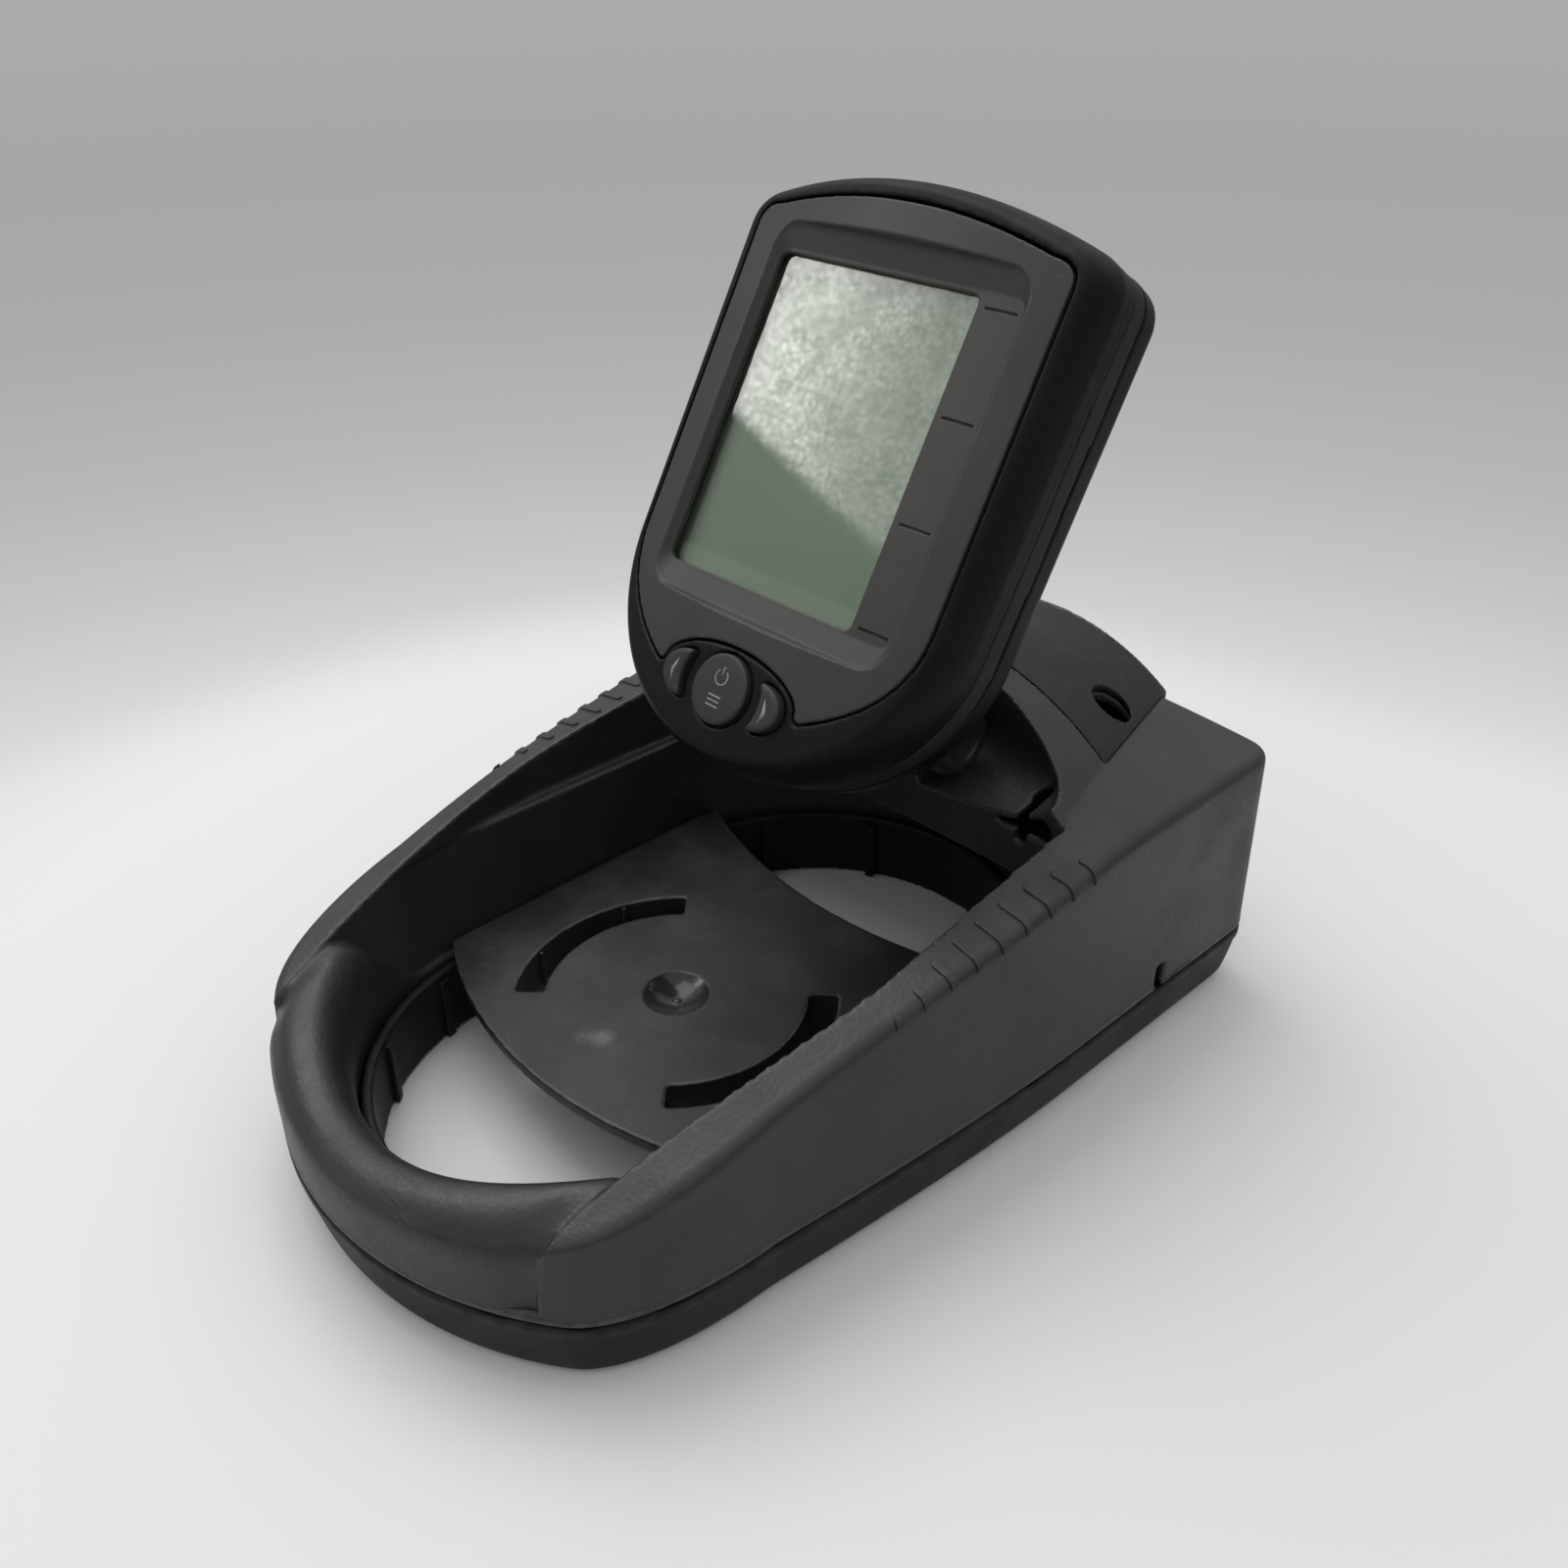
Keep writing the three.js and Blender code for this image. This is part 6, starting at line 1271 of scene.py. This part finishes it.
def makeRearHousing(material):
    depth = head["backDepth"]
    rings = []
    for turn in even(0, pi / 2, 10):
        rings.append(headOutline(head["backInset"] + head["backRound"] * (1 - sin(turn)),
                                 depth - head["backRoll"] * (1 - cos(turn))))
    rings.append(headOutline(head["rimInset"], bandBack + gap))
    shell = cut(loft("rearShell", rings), loft("rearInside", [
        headOutline(head["backRoll"], depth - head["wall"]), headOutline(head["wall"], bandBack - overrun)]))
    shell = moved(softened(shell, *fineness["rear"]), headPlace)
    finished(shell, "headRear", material, "head", "housing_plastic", "rear_housing")


def makeBand(material):
    band = cut(loft("band", [headOutline(gap, bandBack), headOutline(gap, bandFront)]),
               loft("bandInside", [headOutline(head["wall"] + gap, bandBack + overrun),
                                   headOutline(head["wall"] + gap, bandFront - overrun)]))
    band = moved(softened(band, *fineness["band"]), headPlace)
    finished(band, "headBand", material, "head", "band_rubber", "gasket_band")


def makeFaceplate(material):
    sheet = cut(inDepth("sheet", faceShape(0), -overrun, head["frontWall"] * 2), crownSlab(0, -overrun * 4),
                crownSlab(face["thickness"], head["frontDepth"]))
    sheet = joined(sheet, cut(inDepth("floorPan", recessBack(0), 0, recess["back"]), crownSlab(gap, -overrun * 4)))
    mouth = roundedRect(recess["left"], recess["right"], recess["bottom"], recess["top"], recess["corner"])
    floor = roundedRect(recess["left"] + recess["slopeSide"], recess["right"] - recess["slopeSide"] / 2,
                        recess["bottom"] + recess["slopeTop"], recess["top"] - recess["slopeTop"], recess["corner"] / 2)
    over = [point + (point - low) * gap for point, low in zip(mouth, floor)]
    room = loft("room", [[Vector((u, depth, v)) for u, v in shape] for shape, depth in (
        (floor, recess["floor"]), (mouth, crown(recess["left"])), (over, -overrun))])
    window = inDepth("window", roundedRect(pane["left"], pane["right"], pane["bottom"], pane["top"], pane["corner"]), 0,
                     head["frontDepth"])
    sheet = softened(cut(sheet, room, window), *fineness["face"])
    for v in tick["heights"]:
        mark = corners(tick["from"], tick["to"], v - tick["width"] / 2, v + tick["width"] / 2)
        sheet = cut(sheet, inDepth("tick", mark, recess["floor"] - overrun, recess["floor"] + tick["depth"]))
    finished(moved(sheet, headPlace), "facePlate", material, "head", "face_plastic", "faceplate")


# bracket on the back of the head, and what holds it
bracket = {
    "half": 19, "low": -9, "high": 23, "thickness": 3, "corner": 3, "screwX": 15, "screwLow": -5, "screwHigh": 19,
    "neckHalf": 6, "neckWide": 9.5, "neckCorner": 2, "neckFlare": 1.5, "neckLow": 9.6, "neckHigh": 10.8,
}
headScrew = {
    "hole": 1.5, "radius": 2.5, "height": 1.6, "sink": 2.6, "shank": 0.9, "holeDepth": 9,
    "spots": ((43, 108), (-43, 108), (36, 1), (-36, 1)),
}
bracketSpots = [(side * bracket["screwX"], v) for v in (bracket["screwHigh"], bracket["screwLow"]) for side in (1, -1)]


def makeBracket(material):
    near = head["backDepth"] + gap
    body = inDepth("bracket", roundedRect(-bracket["half"], bracket["half"], bracket["low"], bracket["high"],
                                          bracket["corner"]), near, near + bracket["thickness"])

    def section(half, below, above, depth):
        shape = roundedRect(-half, half, head["rise"] - below, head["rise"] + above, bracket["neckCorner"])
        return [Vector((u, depth, v)) for u, v in shape]

    wide, low = bracket["neckWide"], bracket["neckHalf"]
    rings = [section(wide, low, low, head["reach"]), section(wide, low, low, head["reach"] - barrel["radius"] * 2)]
    for i in range(1, 9):
        share = (i / 8) ** 2
        depth = head["reach"] - barrel["radius"] * 2
        rings.append(section(wide + bracket["neckFlare"] * share, low + (bracket["neckLow"] - low) * share,
                             low + (bracket["neckHigh"] - low) * share,
                             depth + (near + bracket["thickness"] / 2 - depth) * i / 8))
    atBolt = Matrix.Translation((0, head["reach"], head["rise"])) @ alongX
    drum = moved(pillar("drum", barrel["radius"], 0, 0, -barrel["half"], barrel["half"], 72), atBolt)
    body = joined(body, loft("neck", rings), drum)
    body = cut(body, moved(pillar("bore", yoke["boltRadius"] + gap, 0, 0, -barrel["half"] * 2, barrel["half"] * 2, 48),
                           atBolt))
    for u, v in bracketSpots:
        body = cut(body, facePillar("hole", headScrew["hole"], u, v, near - gap, head["reach"]))
    body = moved(softened(body, *fineness["bracket"]), headPlace)
    finished(body, "backBracket", material, "head", "mount_plastic", "head_bracket")


def makeScrew(name, node, host, place, sizes, material):
    radius, height, shank, length = (sizes[part] for part in ("radius", "height", "shank", "length"))
    profile = [(0, 0), (radius * 0.72, 0), (radius * 0.9, height * 0.16), (radius, height * 0.45), (radius, height),
               (shank, height), (shank, length - shank * 2), (0, length)]
    body, slot, deep = turned(name, profile, 48), radius * 0.16, min(height * 0.6, 0.9)
    for wide, tall in ((radius * 0.58, slot), (slot, radius * 0.58)):
        body = cut(body, loft("slot", [
            [Vector((x * wide * share, y * tall * share, z)) for x, y in corners(-1, 1, -1, 1)]
            for z, share in ((-0.2, 1.05), (deep, 0.8))]))
    moved(body, place)
    finished(body, name, material, host, "screw_steel", node)


def makeScrews(material):
    low = {"radius": caseScrew["headRadius"], "height": caseScrew["headHeight"], "shank": caseScrew["shank"],
           "length": caseScrew["length"]}
    for i, (x, y) in enumerate(caseScrew["spots"]):
        spot = Matrix.Translation((x, y, caseScrew["headZ"] - caseScrew["headHeight"] - gap))
        makeScrew(f"caseScrew{i + 1}", f"case_screw_{i + 1}", "base", spot, low, material)
    flat = {**low, "height": cover["headSink"] - gap, "length": caseScrew["headZ"] - gap}
    top = niche["seatTop"] + gap * 2 + yoke["footThickness"] + mountScrew["height"]
    for i, side in enumerate((1, -1)):
        spot = Matrix.Translation((side * cover["screwX"], coverMiddleY, panLow.z))
        makeScrew(f"coverScrew{i + 1}", f"cover_screw_{i + 1}", "base", spot, flat, material)
        spot = Matrix.Translation((side * yoke["screwX"], mouthY + yoke["footRear"] - yoke["screwRear"], top))
        makeScrew(f"mountScrew{i + 1}", f"mount_screw_{i + 1}", "base", spot @ Matrix.Rotation(pi, 4, "X"), mountScrew,
                  material)
    height = headScrew["height"]
    atBracket = head["backDepth"] + bracket["thickness"] + gap * 2 + height
    atHousing = head["backDepth"] - headScrew["sink"] + height + gap
    short = bracket["thickness"] + head["wall"] + height + overrun
    long = head["backDepth"] - headScrew["sink"] - headScrew["holeDepth"] - overrun
    for name, node, spots, depth, length in (
            ("bracketScrew", "bracket_screw", bracketSpots, atBracket, short),
            ("headScrew", "housing_screw", headScrew["spots"], atHousing, long)):
        for i, (u, v) in enumerate(spots):
            spot = headPlace @ Matrix.Translation((u, depth, v)) @ Matrix.Rotation(pi / 2, 4, "X")
            makeScrew(f"{name}{i + 1}", f"{node}_{i + 1}", "head", spot, {**headScrew, "length": length}, material)


# keys below the window, with plain signs
sign = {
    "proud": 0.07, "ringRadius": 2, "line": 0.42, "opening": 38, "bar": (0.5, 0.7), "powerV": 3, "listV": -3.2,
    "listPitch": 1.25, "listHalf": 2.1, "arrowU": 16.1, "arrowV": -0.5, "arrowHalf": 3.4, "arrowTail": 0.55,
    "arrowWaist": 0.05, "arrowNose": 1.25 - 0.35, "arrowBlunt": 0.5, "sunk": 0.3,
}
keyBack = button["matDepth"] - button["travel"] - gap
keyLength = keyBack + button["proud"]


def roundKeyForm(name, grow):
    radius, length = button["radius"], keyLength + grow
    shares = ((0, 0), (1, 0), (1, 0.8), (0.985, 0.87), (0.95, 0.935), (0.9, 0.97), (0.6, 1.02), (0.3, 1.038), (0, 1.04))
    profile = [(radius * across, length * along) for across, along in shares]
    return moved(turned(name, profile, 120), Matrix.Translation((0, keyBack, 0)) @ Matrix.Rotation(pi / 2, 4, "X"))


def crescentForm(name, grow):
    top = -button["proud"] - grow
    rings = [[Vector((u, depth, v)) for u, v in crescentShape(inset)] for inset, depth in (
        (0, keyBack), (0, top + 0.7), (-0.18, top + 0.25), (-0.6, top), (-1.3, top - 0.12))]
    return loft(name, rings)


def signPart(name, shape):
    return inDepth(name, shape, -button["proud"] * 2, 0)


def powerSign():
    radius, half, v0 = sign["ringRadius"], sign["line"] / 2, sign["powerV"]
    turns = [radians(angle) for angle in even(90 + sign["opening"], 450 - sign["opening"], 36)]
    arc = [((radius + half) * cos(t), v0 + (radius + half) * sin(t)) for t in turns]
    arc += [((radius - half) * cos(t), v0 + (radius - half) * sin(t)) for t in reversed(turns)]
    low, high = sign["bar"]
    marks = joined(signPart("arc", arc), signPart("bar", corners(-half, half, v0 + low, v0 + radius + high)))
    for i in (-1, 0, 1):
        v, reach = sign["listV"] + sign["listPitch"] * i, sign["listHalf"]
        marks = joined(marks, signPart("line", corners(-reach, reach, v - half, v + half)))
    return marks


def arrowSign():
    half, u, v, blunt = sign["arrowHalf"], sign["arrowU"], sign["arrowV"], sign["arrowBlunt"]
    tail, nose = u - sign["arrowTail"], u + sign["arrowNose"]
    return signPart("arrow", [(tail, v + half), (u - sign["arrowWaist"], v), (tail, v - half), (nose, v - blunt),
                              (nose, v + blunt)])


def makeKeys(rubber, ink):
    key = softened(roundKeyForm("key", 0), *fineness["key"])
    finished(moved(key, headPlace), "roundKey", rubber, "power_button", "key_rubber", "power_button")
    marks = cut(common(powerSign(), roundKeyForm("over", sign["proud"])), roundKeyForm("under", -sign["sunk"]))
    finished(moved(marks, headPlace), "roundKeySign", ink, "power_button", "key_rubber")
    for side, name in ((1, "right"), (-1, "left")):
        arrow = cut(common(arrowSign(), crescentForm("over", sign["proud"])), crescentForm("under", -sign["sunk"]))
        key = softened(crescentForm("key", 0), *fineness["key"])
        if side < 0:
            key, arrow = (moved(body, mirror) for body in (key, arrow))
        finished(moved(key, headPlace), f"{name}Key", rubber, f"{name}_button", "key_rubber", f"{name}_button")
        finished(moved(arrow, headPlace), f"{name}KeySign", ink, f"{name}_button", "key_rubber")


# window, display and the boards behind it
windowLook = {
    "tint": (0.93, 0.96, 0.94, 1), "scratch": (0.8, 0.8, 0.8, 1), "wobble": 0.0002, "waveScale": 420,
    "display": (0.118, 0.162, 0.108, 1), "displayFar": (0.13, 0.172, 0.118, 1), "speckle": (0.12, 0.15, 0.115, 1),
    # edge is the colour of the painted shadow that the frame casts along the display's left edge, over the width given
    # after it
    "edge": (0.028, 0.031, 0.027, 1), "edgeWidth": 7, "grain": 0.35,
}


def dress(material, *nodes):
    for name in nodes:
        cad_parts[name].material_slots[0].material = material
        print("dressed", name)


def faceSpot(web):  # u and v on the head's face in millimetres, from the place at rest
    across = headPlace.to_3x3() @ Vector((1, 0, 0))
    along = headPlace.to_3x3() @ Vector((0, 0, 1))
    origin = headPlace.translation * mm
    offset = addNode(web, "VectorMath", {"operation": "SUBTRACT"}, {0: ownCoords(web), 1: origin}).outputs[0]
    return [addNode(web, "VectorMath", {"operation": "DOT_PRODUCT"}, {0: offset, 1: axis / mm}).outputs["Value"]
            for axis in (across, along)]


def makeWindowGlass():
    material, web, shader = newFinish("windowGlass")
    marks = placed(web, handMarks, {"Smudge Size": 18, "Scratch Share": 0.8})
    rough = plus(web, times(web, marks["Smudge"], 0.02), times(web, marks["Scratch"], 0.1))
    web.links.new(plus(web, rough, 0.015), shader["Roughness"])
    web.links.new(blendOf(web, marks["Scratch"], windowLook["tint"], windowLook["scratch"]), shader["Base Color"])
    waves = addNode(web, "TexVoronoi", {"feature": "SMOOTH_F1"}, {
        "Vector": ownCoords(web), "Scale": windowLook["waveScale"], "Smoothness": 0.9})
    addBump(web, shader, waves.outputs["Distance"], windowLook["wobble"])
    shader["Transmission Weight"].default_value = 1
    shader["IOR"].default_value = 1.49
    return material


def makeDisplayGlass():  # bare liquid crystal: grey green, a little lighter towards the top, with painted shadow of the frame darkening its left edge
    material, web, shader = newFinish("displayGlass")
    u, v = faceSpot(web)
    wide = span(web, v, 20, 110)
    base = blendOf(web, wide, windowLook["display"], windowLook["displayFar"])
    # painted shadow: the frame's shade darkens the display along its left edge, broken up by the cloud noise
    edge = span(web, u, pane["left"] - 1, pane["left"] + windowLook["edgeWidth"], 1, 0)
    cloud = noiseOf(web, ownCoords(web), 55, 3, 0.5)
    base = blendOf(web, times(web, edge, span(web, cloud, 0.2, 0.7, 0.55, 0.95)), base, windowLook["edge"])
    fine = noiseOf(web, ownCoords(web), 1000 / windowLook["grain"], 2, 0.6)
    base = blendOf(web, span(web, fine, 0.35, 0.65, 0, 0.16), base, windowLook["speckle"])
    web.links.new(base, shader["Base Color"])
    web.links.new(span(web, cloud, 0.3, 0.7, 0.42, 0.55), shader["Roughness"])
    addBump(web, shader, fine, 0.01)
    shader["Specular IOR Level"].default_value = 0.25
    return material


def makeLightGuide():
    material, web, shader = newFinish("lightGuide")
    dots = addNode(web, "TexVoronoi", {"feature": "F1"}, {"Vector": ownCoords(web), "Scale": 700}).outputs["Distance"]
    tone = blendOf(web, span(web, dots, 0.2, 0.4), (0.85, 0.86, 0.78, 1), (0.7, 0.71, 0.63, 1))
    web.links.new(tone, shader["Base Color"])
    web.links.new(span(web, dots, 0.2, 0.4, 0.5, 0.3), shader["Roughness"])
    return material


def makeBoardLacquer():  # green board with copper tracks
    material, web, shader = newFinish("boardLacquer")
    u, v = faceSpot(web)
    spot = addNode(web, "CombineXYZ", {}, {0: u, 1: v}).outputs[0]
    bricks = addNode(web, "TexBrick", {"offset": 0.37, "squash": 0.6}, {
        "Vector": spot, "Scale": 0.16, "Mortar Size": 0.035, "Mortar Smooth": 0.1})
    tracks = bricks.outputs["Fac"]
    pads = addNode(web, "TexVoronoi", {"feature": "F1"}, {"Vector": spot, "Scale": 0.22}).outputs["Distance"]
    pads = span(web, pads, 0.1, 0.13, 1, 0)
    green = blendOf(web, tracks, (0.012, 0.075, 0.03, 1), (0.03, 0.14, 0.05, 1))
    web.links.new(blendOf(web, pads, green, (0.55, 0.5, 0.42, 1)), shader["Base Color"])
    web.links.new(pads, shader["Metallic"])
    web.links.new(plus(web, 0.28, times(web, tracks, 0.1)), shader["Roughness"])
    addBump(web, shader, plus(web, tracks, pads), 0.05)
    return material


def makeCellWrap():  # printed sleeve: dark with a copper-coloured end
    material, web, shader = newFinish("cellWrap")
    coords = ownCoords(web)
    x = addNode(web, "SeparateXYZ", {}, {0: coords}).outputs["X"]
    along = sums(web, "DIVIDE", x, mm)
    copper = span(web, along, 11.6, 11.9)
    ends = sums(web, "MAXIMUM", span(web, along, 24.35, 24.45), span(web, along, -24.45, -24.35, 1, 0))
    scuffs = noiseOf(web, coords, 500, 4, 0.6)
    sleeve = blendOf(web, copper, (0.02, 0.021, 0.023, 1), (0.42, 0.2, 0.085, 1))
    sleeve = blendOf(web, span(web, scuffs, 0.62, 0.7, 0, 0.3), sleeve, (0.25, 0.25, 0.25, 1))
    web.links.new(blendOf(web, ends, sleeve, (0.6, 0.59, 0.57, 1)), shader["Base Color"])
    web.links.new(ends, shader["Metallic"])
    web.links.new(span(web, scuffs, 0.3, 0.7, 0.2, 0.34), shader["Roughness"])
    return material


batteryCell = {"radius": 7.25, "half": 24.6, "nubRadius": 2.7, "nubLength": 1.3}


def makeCells(material):  # cells along X, each row turned the other way
    r, half, tip = batteryCell["radius"], batteryCell["half"], batteryCell["nubRadius"]
    top = half + batteryCell["nubLength"]
    profile = [(0, -half), (r - 0.9, -half), (r - 0.25, -half + 0.12), (r, -half + 0.5), (r, half - 0.5),
               (r - 0.25, half - 0.12), (r - 0.9, half - 0.05), (r - 1.1, half - 0.35), (tip + 0.8, half - 0.3),
               (tip, half - 0.1), (tip, top - 0.3), (tip - 0.3, top), (0, top)]
    for i in range(8):
        low, high = boxOf(f"battery_cell_{i + 1}")
        middle, turn = (low + high) / 2, 1 if i % 2 else -1
        body = moved(turned("cell", profile, 72), Matrix.Rotation(pi / 2 * turn, 4, "Y"))
        finished(body, f"cell{i + 1}", material, "base", "cell_wrap", f"battery_cell_{i + 1}")
        body.location = (middle - Vector((turn * batteryCell["nubLength"] / 2, 0, 0))) * mm


# making it all
makeShell(shellPlastic)
makeGripRibs(shellPlastic)
makeCowlPanel(panelPlastic)
makePan(panPlastic)
makeRims(shellPlastic, panPlastic)
makeWellRibs(panPlastic)
makeBatteryCover(panPlastic)
makeFeet(footRubber)
addSpots(platePlastic, plateSpots)
makeCrossPlate(platePlastic)
makeSlotRibs(platePlastic)
makeYoke(mountPlastic)
makeBolt(contactSteel, footRubber)
for side, name in ((1, "right"), (-1, "left")):
    makeKnob(knobPlastic, side, name)
makeFrontHousing(housingSkin)
makeRearHousing(housingSkin)
makeBand(bandRubber)
makeFaceplate(facePlastic)
makeBracket(mountPlastic)
makeKeys(keyRubber, glyphInk)
makeScrews(screwSteel)
makeCells(makeCellWrap())
dress(makeWindowGlass(), "window_lens")
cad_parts["window_lens"].visible_shadow = False  # lets the light through to the display
dress(makeDisplayGlass(), "display_panel")
dress(makeLightGuide(), "back_light")
dress(makeBoardLacquer(), "circuit_board")
dress(knobPlastic, "sounder_disc")
dress(contactSteel, "radio_module", *(f"contact_plate_{i}" for i in range(1, 5)))
dress(keyRubber, "keypad_mat")
dress(rackPlastic, "battery_rack")


# floor, light and background
studio = {
    "floor": (0.72, 0.72, 0.72), "floorNear": 230, "floorFar": 330, "lampPlace": (-0.55, 0.05, 1.25), "lampSize": 0.9,
    "lampPower": 7.3, "lampAim": (0, 0, 0.1), "floorReach": 3, "paperGrain": 0.985,
    "sky": (  # grey level by the height that a ray points to
        (-1, 0.8), (-0.52, 0.8), (-0.468, 0.76), (-0.44, 0.68), (-0.38, 0.56), (-0.32, 0.475), (-0.235, 0.405),
        (-0.15, 0.38), (-0.08, 0.405), (0.05, 0.37), (0.3, 0.45), (0.5, 0.72), (0.7, 0.9), (1, 1)),
}
glare = {
    "distance": 560, "u": (-60, 48), "v": (30, 135), "steps": 18, "edgeStart": (-36.8, 64.8), "edgeSlope": -0.333,
    "strong": 9.5, "weak": 2.6, "fadeU": (-34, 24), "edgeSpan": (-1.5, 4), "waver": 3.5, "cell": 1.9,
}


def makeFloorPaper():  # fades into the background where the camera looks past the set
    material, web, shader = newFinish("floorPaper")
    coords = ownCoords(web)
    grain = noiseOf(web, coords, 900, 3, 0.6)
    tone = tuple(part * studio["paperGrain"] for part in studio["floor"])
    web.links.new(blendOf(web, grain, (*studio["floor"], 1), (*tone, 1)), shader["Base Color"])
    shader["Roughness"].default_value = 0.75
    flat = addNode(web, "VectorMath", {"operation": "MULTIPLY"}, {0: coords, 1: (1, 1, 0)}).outputs[0]
    reach = addNode(web, "VectorMath", {"operation": "LENGTH"}, {0: flat}).outputs["Value"]
    fade = span(web, reach, studio["floorNear"] * mm, studio["floorFar"] * mm)
    rays = addNode(web, "LightPath", {}, {}).outputs
    mirrored = sums(web, "MAXIMUM", rays["Is Glossy Ray"], rays["Is Transmission Ray"])
    seen = sums(web, "MAXIMUM", rays["Is Camera Ray"], mirrored)
    clear = addNode(web, "BsdfTransparent", {}, {})
    both = addNode(web, "MixShader", {}, {
        0: times(web, fade, seen), 1: web.nodes["Principled BSDF"].outputs[0], 2: clear.outputs[0]})
    web.links.new(both.outputs[0], web.nodes["Material Output"].inputs[0])
    return material


def addWorld():
    world = bpy.data.worlds.new("studio")
    world.use_nodes = True
    web = world.node_tree
    up = addNode(web, "SeparateXYZ", {}, {0: addNode(web, "TexCoord", {}, {}).outputs["Generated"]}).outputs["Z"]
    ramp = addNode(web, "ValToRGB", {}, {})
    web.links.new(addNode(web, "MapRange", {}, {0: up, 1: -1, 2: 1}).outputs[0], ramp.inputs[0])
    stops = ramp.color_ramp.elements
    for i, (height, level) in enumerate(studio["sky"]):
        stop = stops[i] if i < 2 else stops.new((height + 1) / 2)
        stop.position = (height + 1) / 2
        stop.color = (level, level, level, 1)
    web.links.new(ramp.outputs[0], web.nodes["Background"].inputs["Color"])
    bpy.context.scene.world = world


def addLamp():
    data = bpy.data.lights.new("softbox", "AREA")
    data.size = studio["lampSize"]
    data.energy = studio["lampPower"]
    lamp = newObject("softbox", data)
    lamp.location = studio["lampPlace"]
    lamp.rotation_euler = (Vector(studio["lampAim"]) - lamp.location).to_track_quat("-Z", "Y").to_euler()


def addGlareCard():  # lit ceiling that the window mirrors; nothing but gloss sees it
    place = headPlace.to_3x3()
    normal, eye = place @ Vector((0, -1, 0)), Vector(photoCamera["place"])
    steps, points, spots, faces = glare["steps"], [], [], []
    for u in even(*glare["u"], steps):
        for v in even(*glare["v"], steps):
            spot = headPlace @ Vector((u, recess["back"] + gap, v))
            away = (spot - eye).reflect(normal).normalized()
            points.append(spot + away * glare["distance"])
            spots.append((u, v))
    for i in range(steps):
        for k in range(steps):
            a = i * (steps + 1) + k
            faces.append((a, a + 1, a + steps + 2, a + steps + 1))
    mesh = bpy.data.meshes.new("glareCard")
    mesh.from_pydata([tuple(point * mm) for point in points], [], faces)
    chart = mesh.uv_layers.new(name="spots")
    for loop in mesh.loops:
        chart.data[loop.index].uv = spots[loop.vertex_index]
    card = newObject("glareCard", mesh)
    card.visible_camera = card.visible_diffuse = card.visible_transmission = card.visible_shadow = False
    mesh.materials.append(makeGlareGlow())


def makeGlareGlow():
    material = bpy.data.materials.new("glareGlow")
    material.use_nodes = True
    web = material.node_tree
    web.nodes.remove(web.nodes["Principled BSDF"])
    coords = addNode(web, "TexCoord", {}, {}).outputs["UV"]
    parts = addNode(web, "SeparateXYZ", {}, {0: coords}).outputs
    startU, startV = glare["edgeStart"]
    line = plus(web, startV, times(web, minus(web, parts["X"], startU), glare["edgeSlope"]))
    wobble = times(web, minus(web, noiseOf(web, coords, 0.4, 3, 0.6), 0.5), glare["waver"])
    above = plus(web, minus(web, parts["Y"], line), wobble)
    shown = span(web, above, *glare["edgeSpan"])
    level = span(web, parts["X"], *glare["fadeU"], glare["strong"], glare["weak"])
    cells = addNode(web, "TexVoronoi", {"feature": "SMOOTH_F1"}, {
        "Vector": coords, "Scale": 1 / glare["cell"], "Smoothness": 0.7})
    mottle = span(web, cells.outputs["Distance"], 0.1, 0.8, 1.25, 0.78)
    mottle = times(web, mottle, patchesOf(web, coords, "glareMottle"))
    clouds = patchesOf(web, coords, "glareCloud")
    level = times(web, level, times(web, mottle, clouds))
    glow = addNode(web, "Emission", {}, {"Color": (1, 0.99, 0.95, 1), "Strength": times(web, level, shown)})
    web.links.new(glow.outputs[0], web.nodes["Material Output"].inputs[0])
    return material


def addFloor():
    reach = studio["floorReach"]
    sheet = bpy.data.meshes.new("floor")
    sheet.from_pydata(raised(corners(-reach, reach, -reach, reach), 0), [], [(0, 1, 2, 3)])
    sheet.materials.append(makeFloorPaper())
    floor = newObject("floor", sheet)


addFloor()
addWorld()
addLamp()
addGlareCard()
print("stage set")

bpy.context.scene.view_settings.view_transform = "Standard"
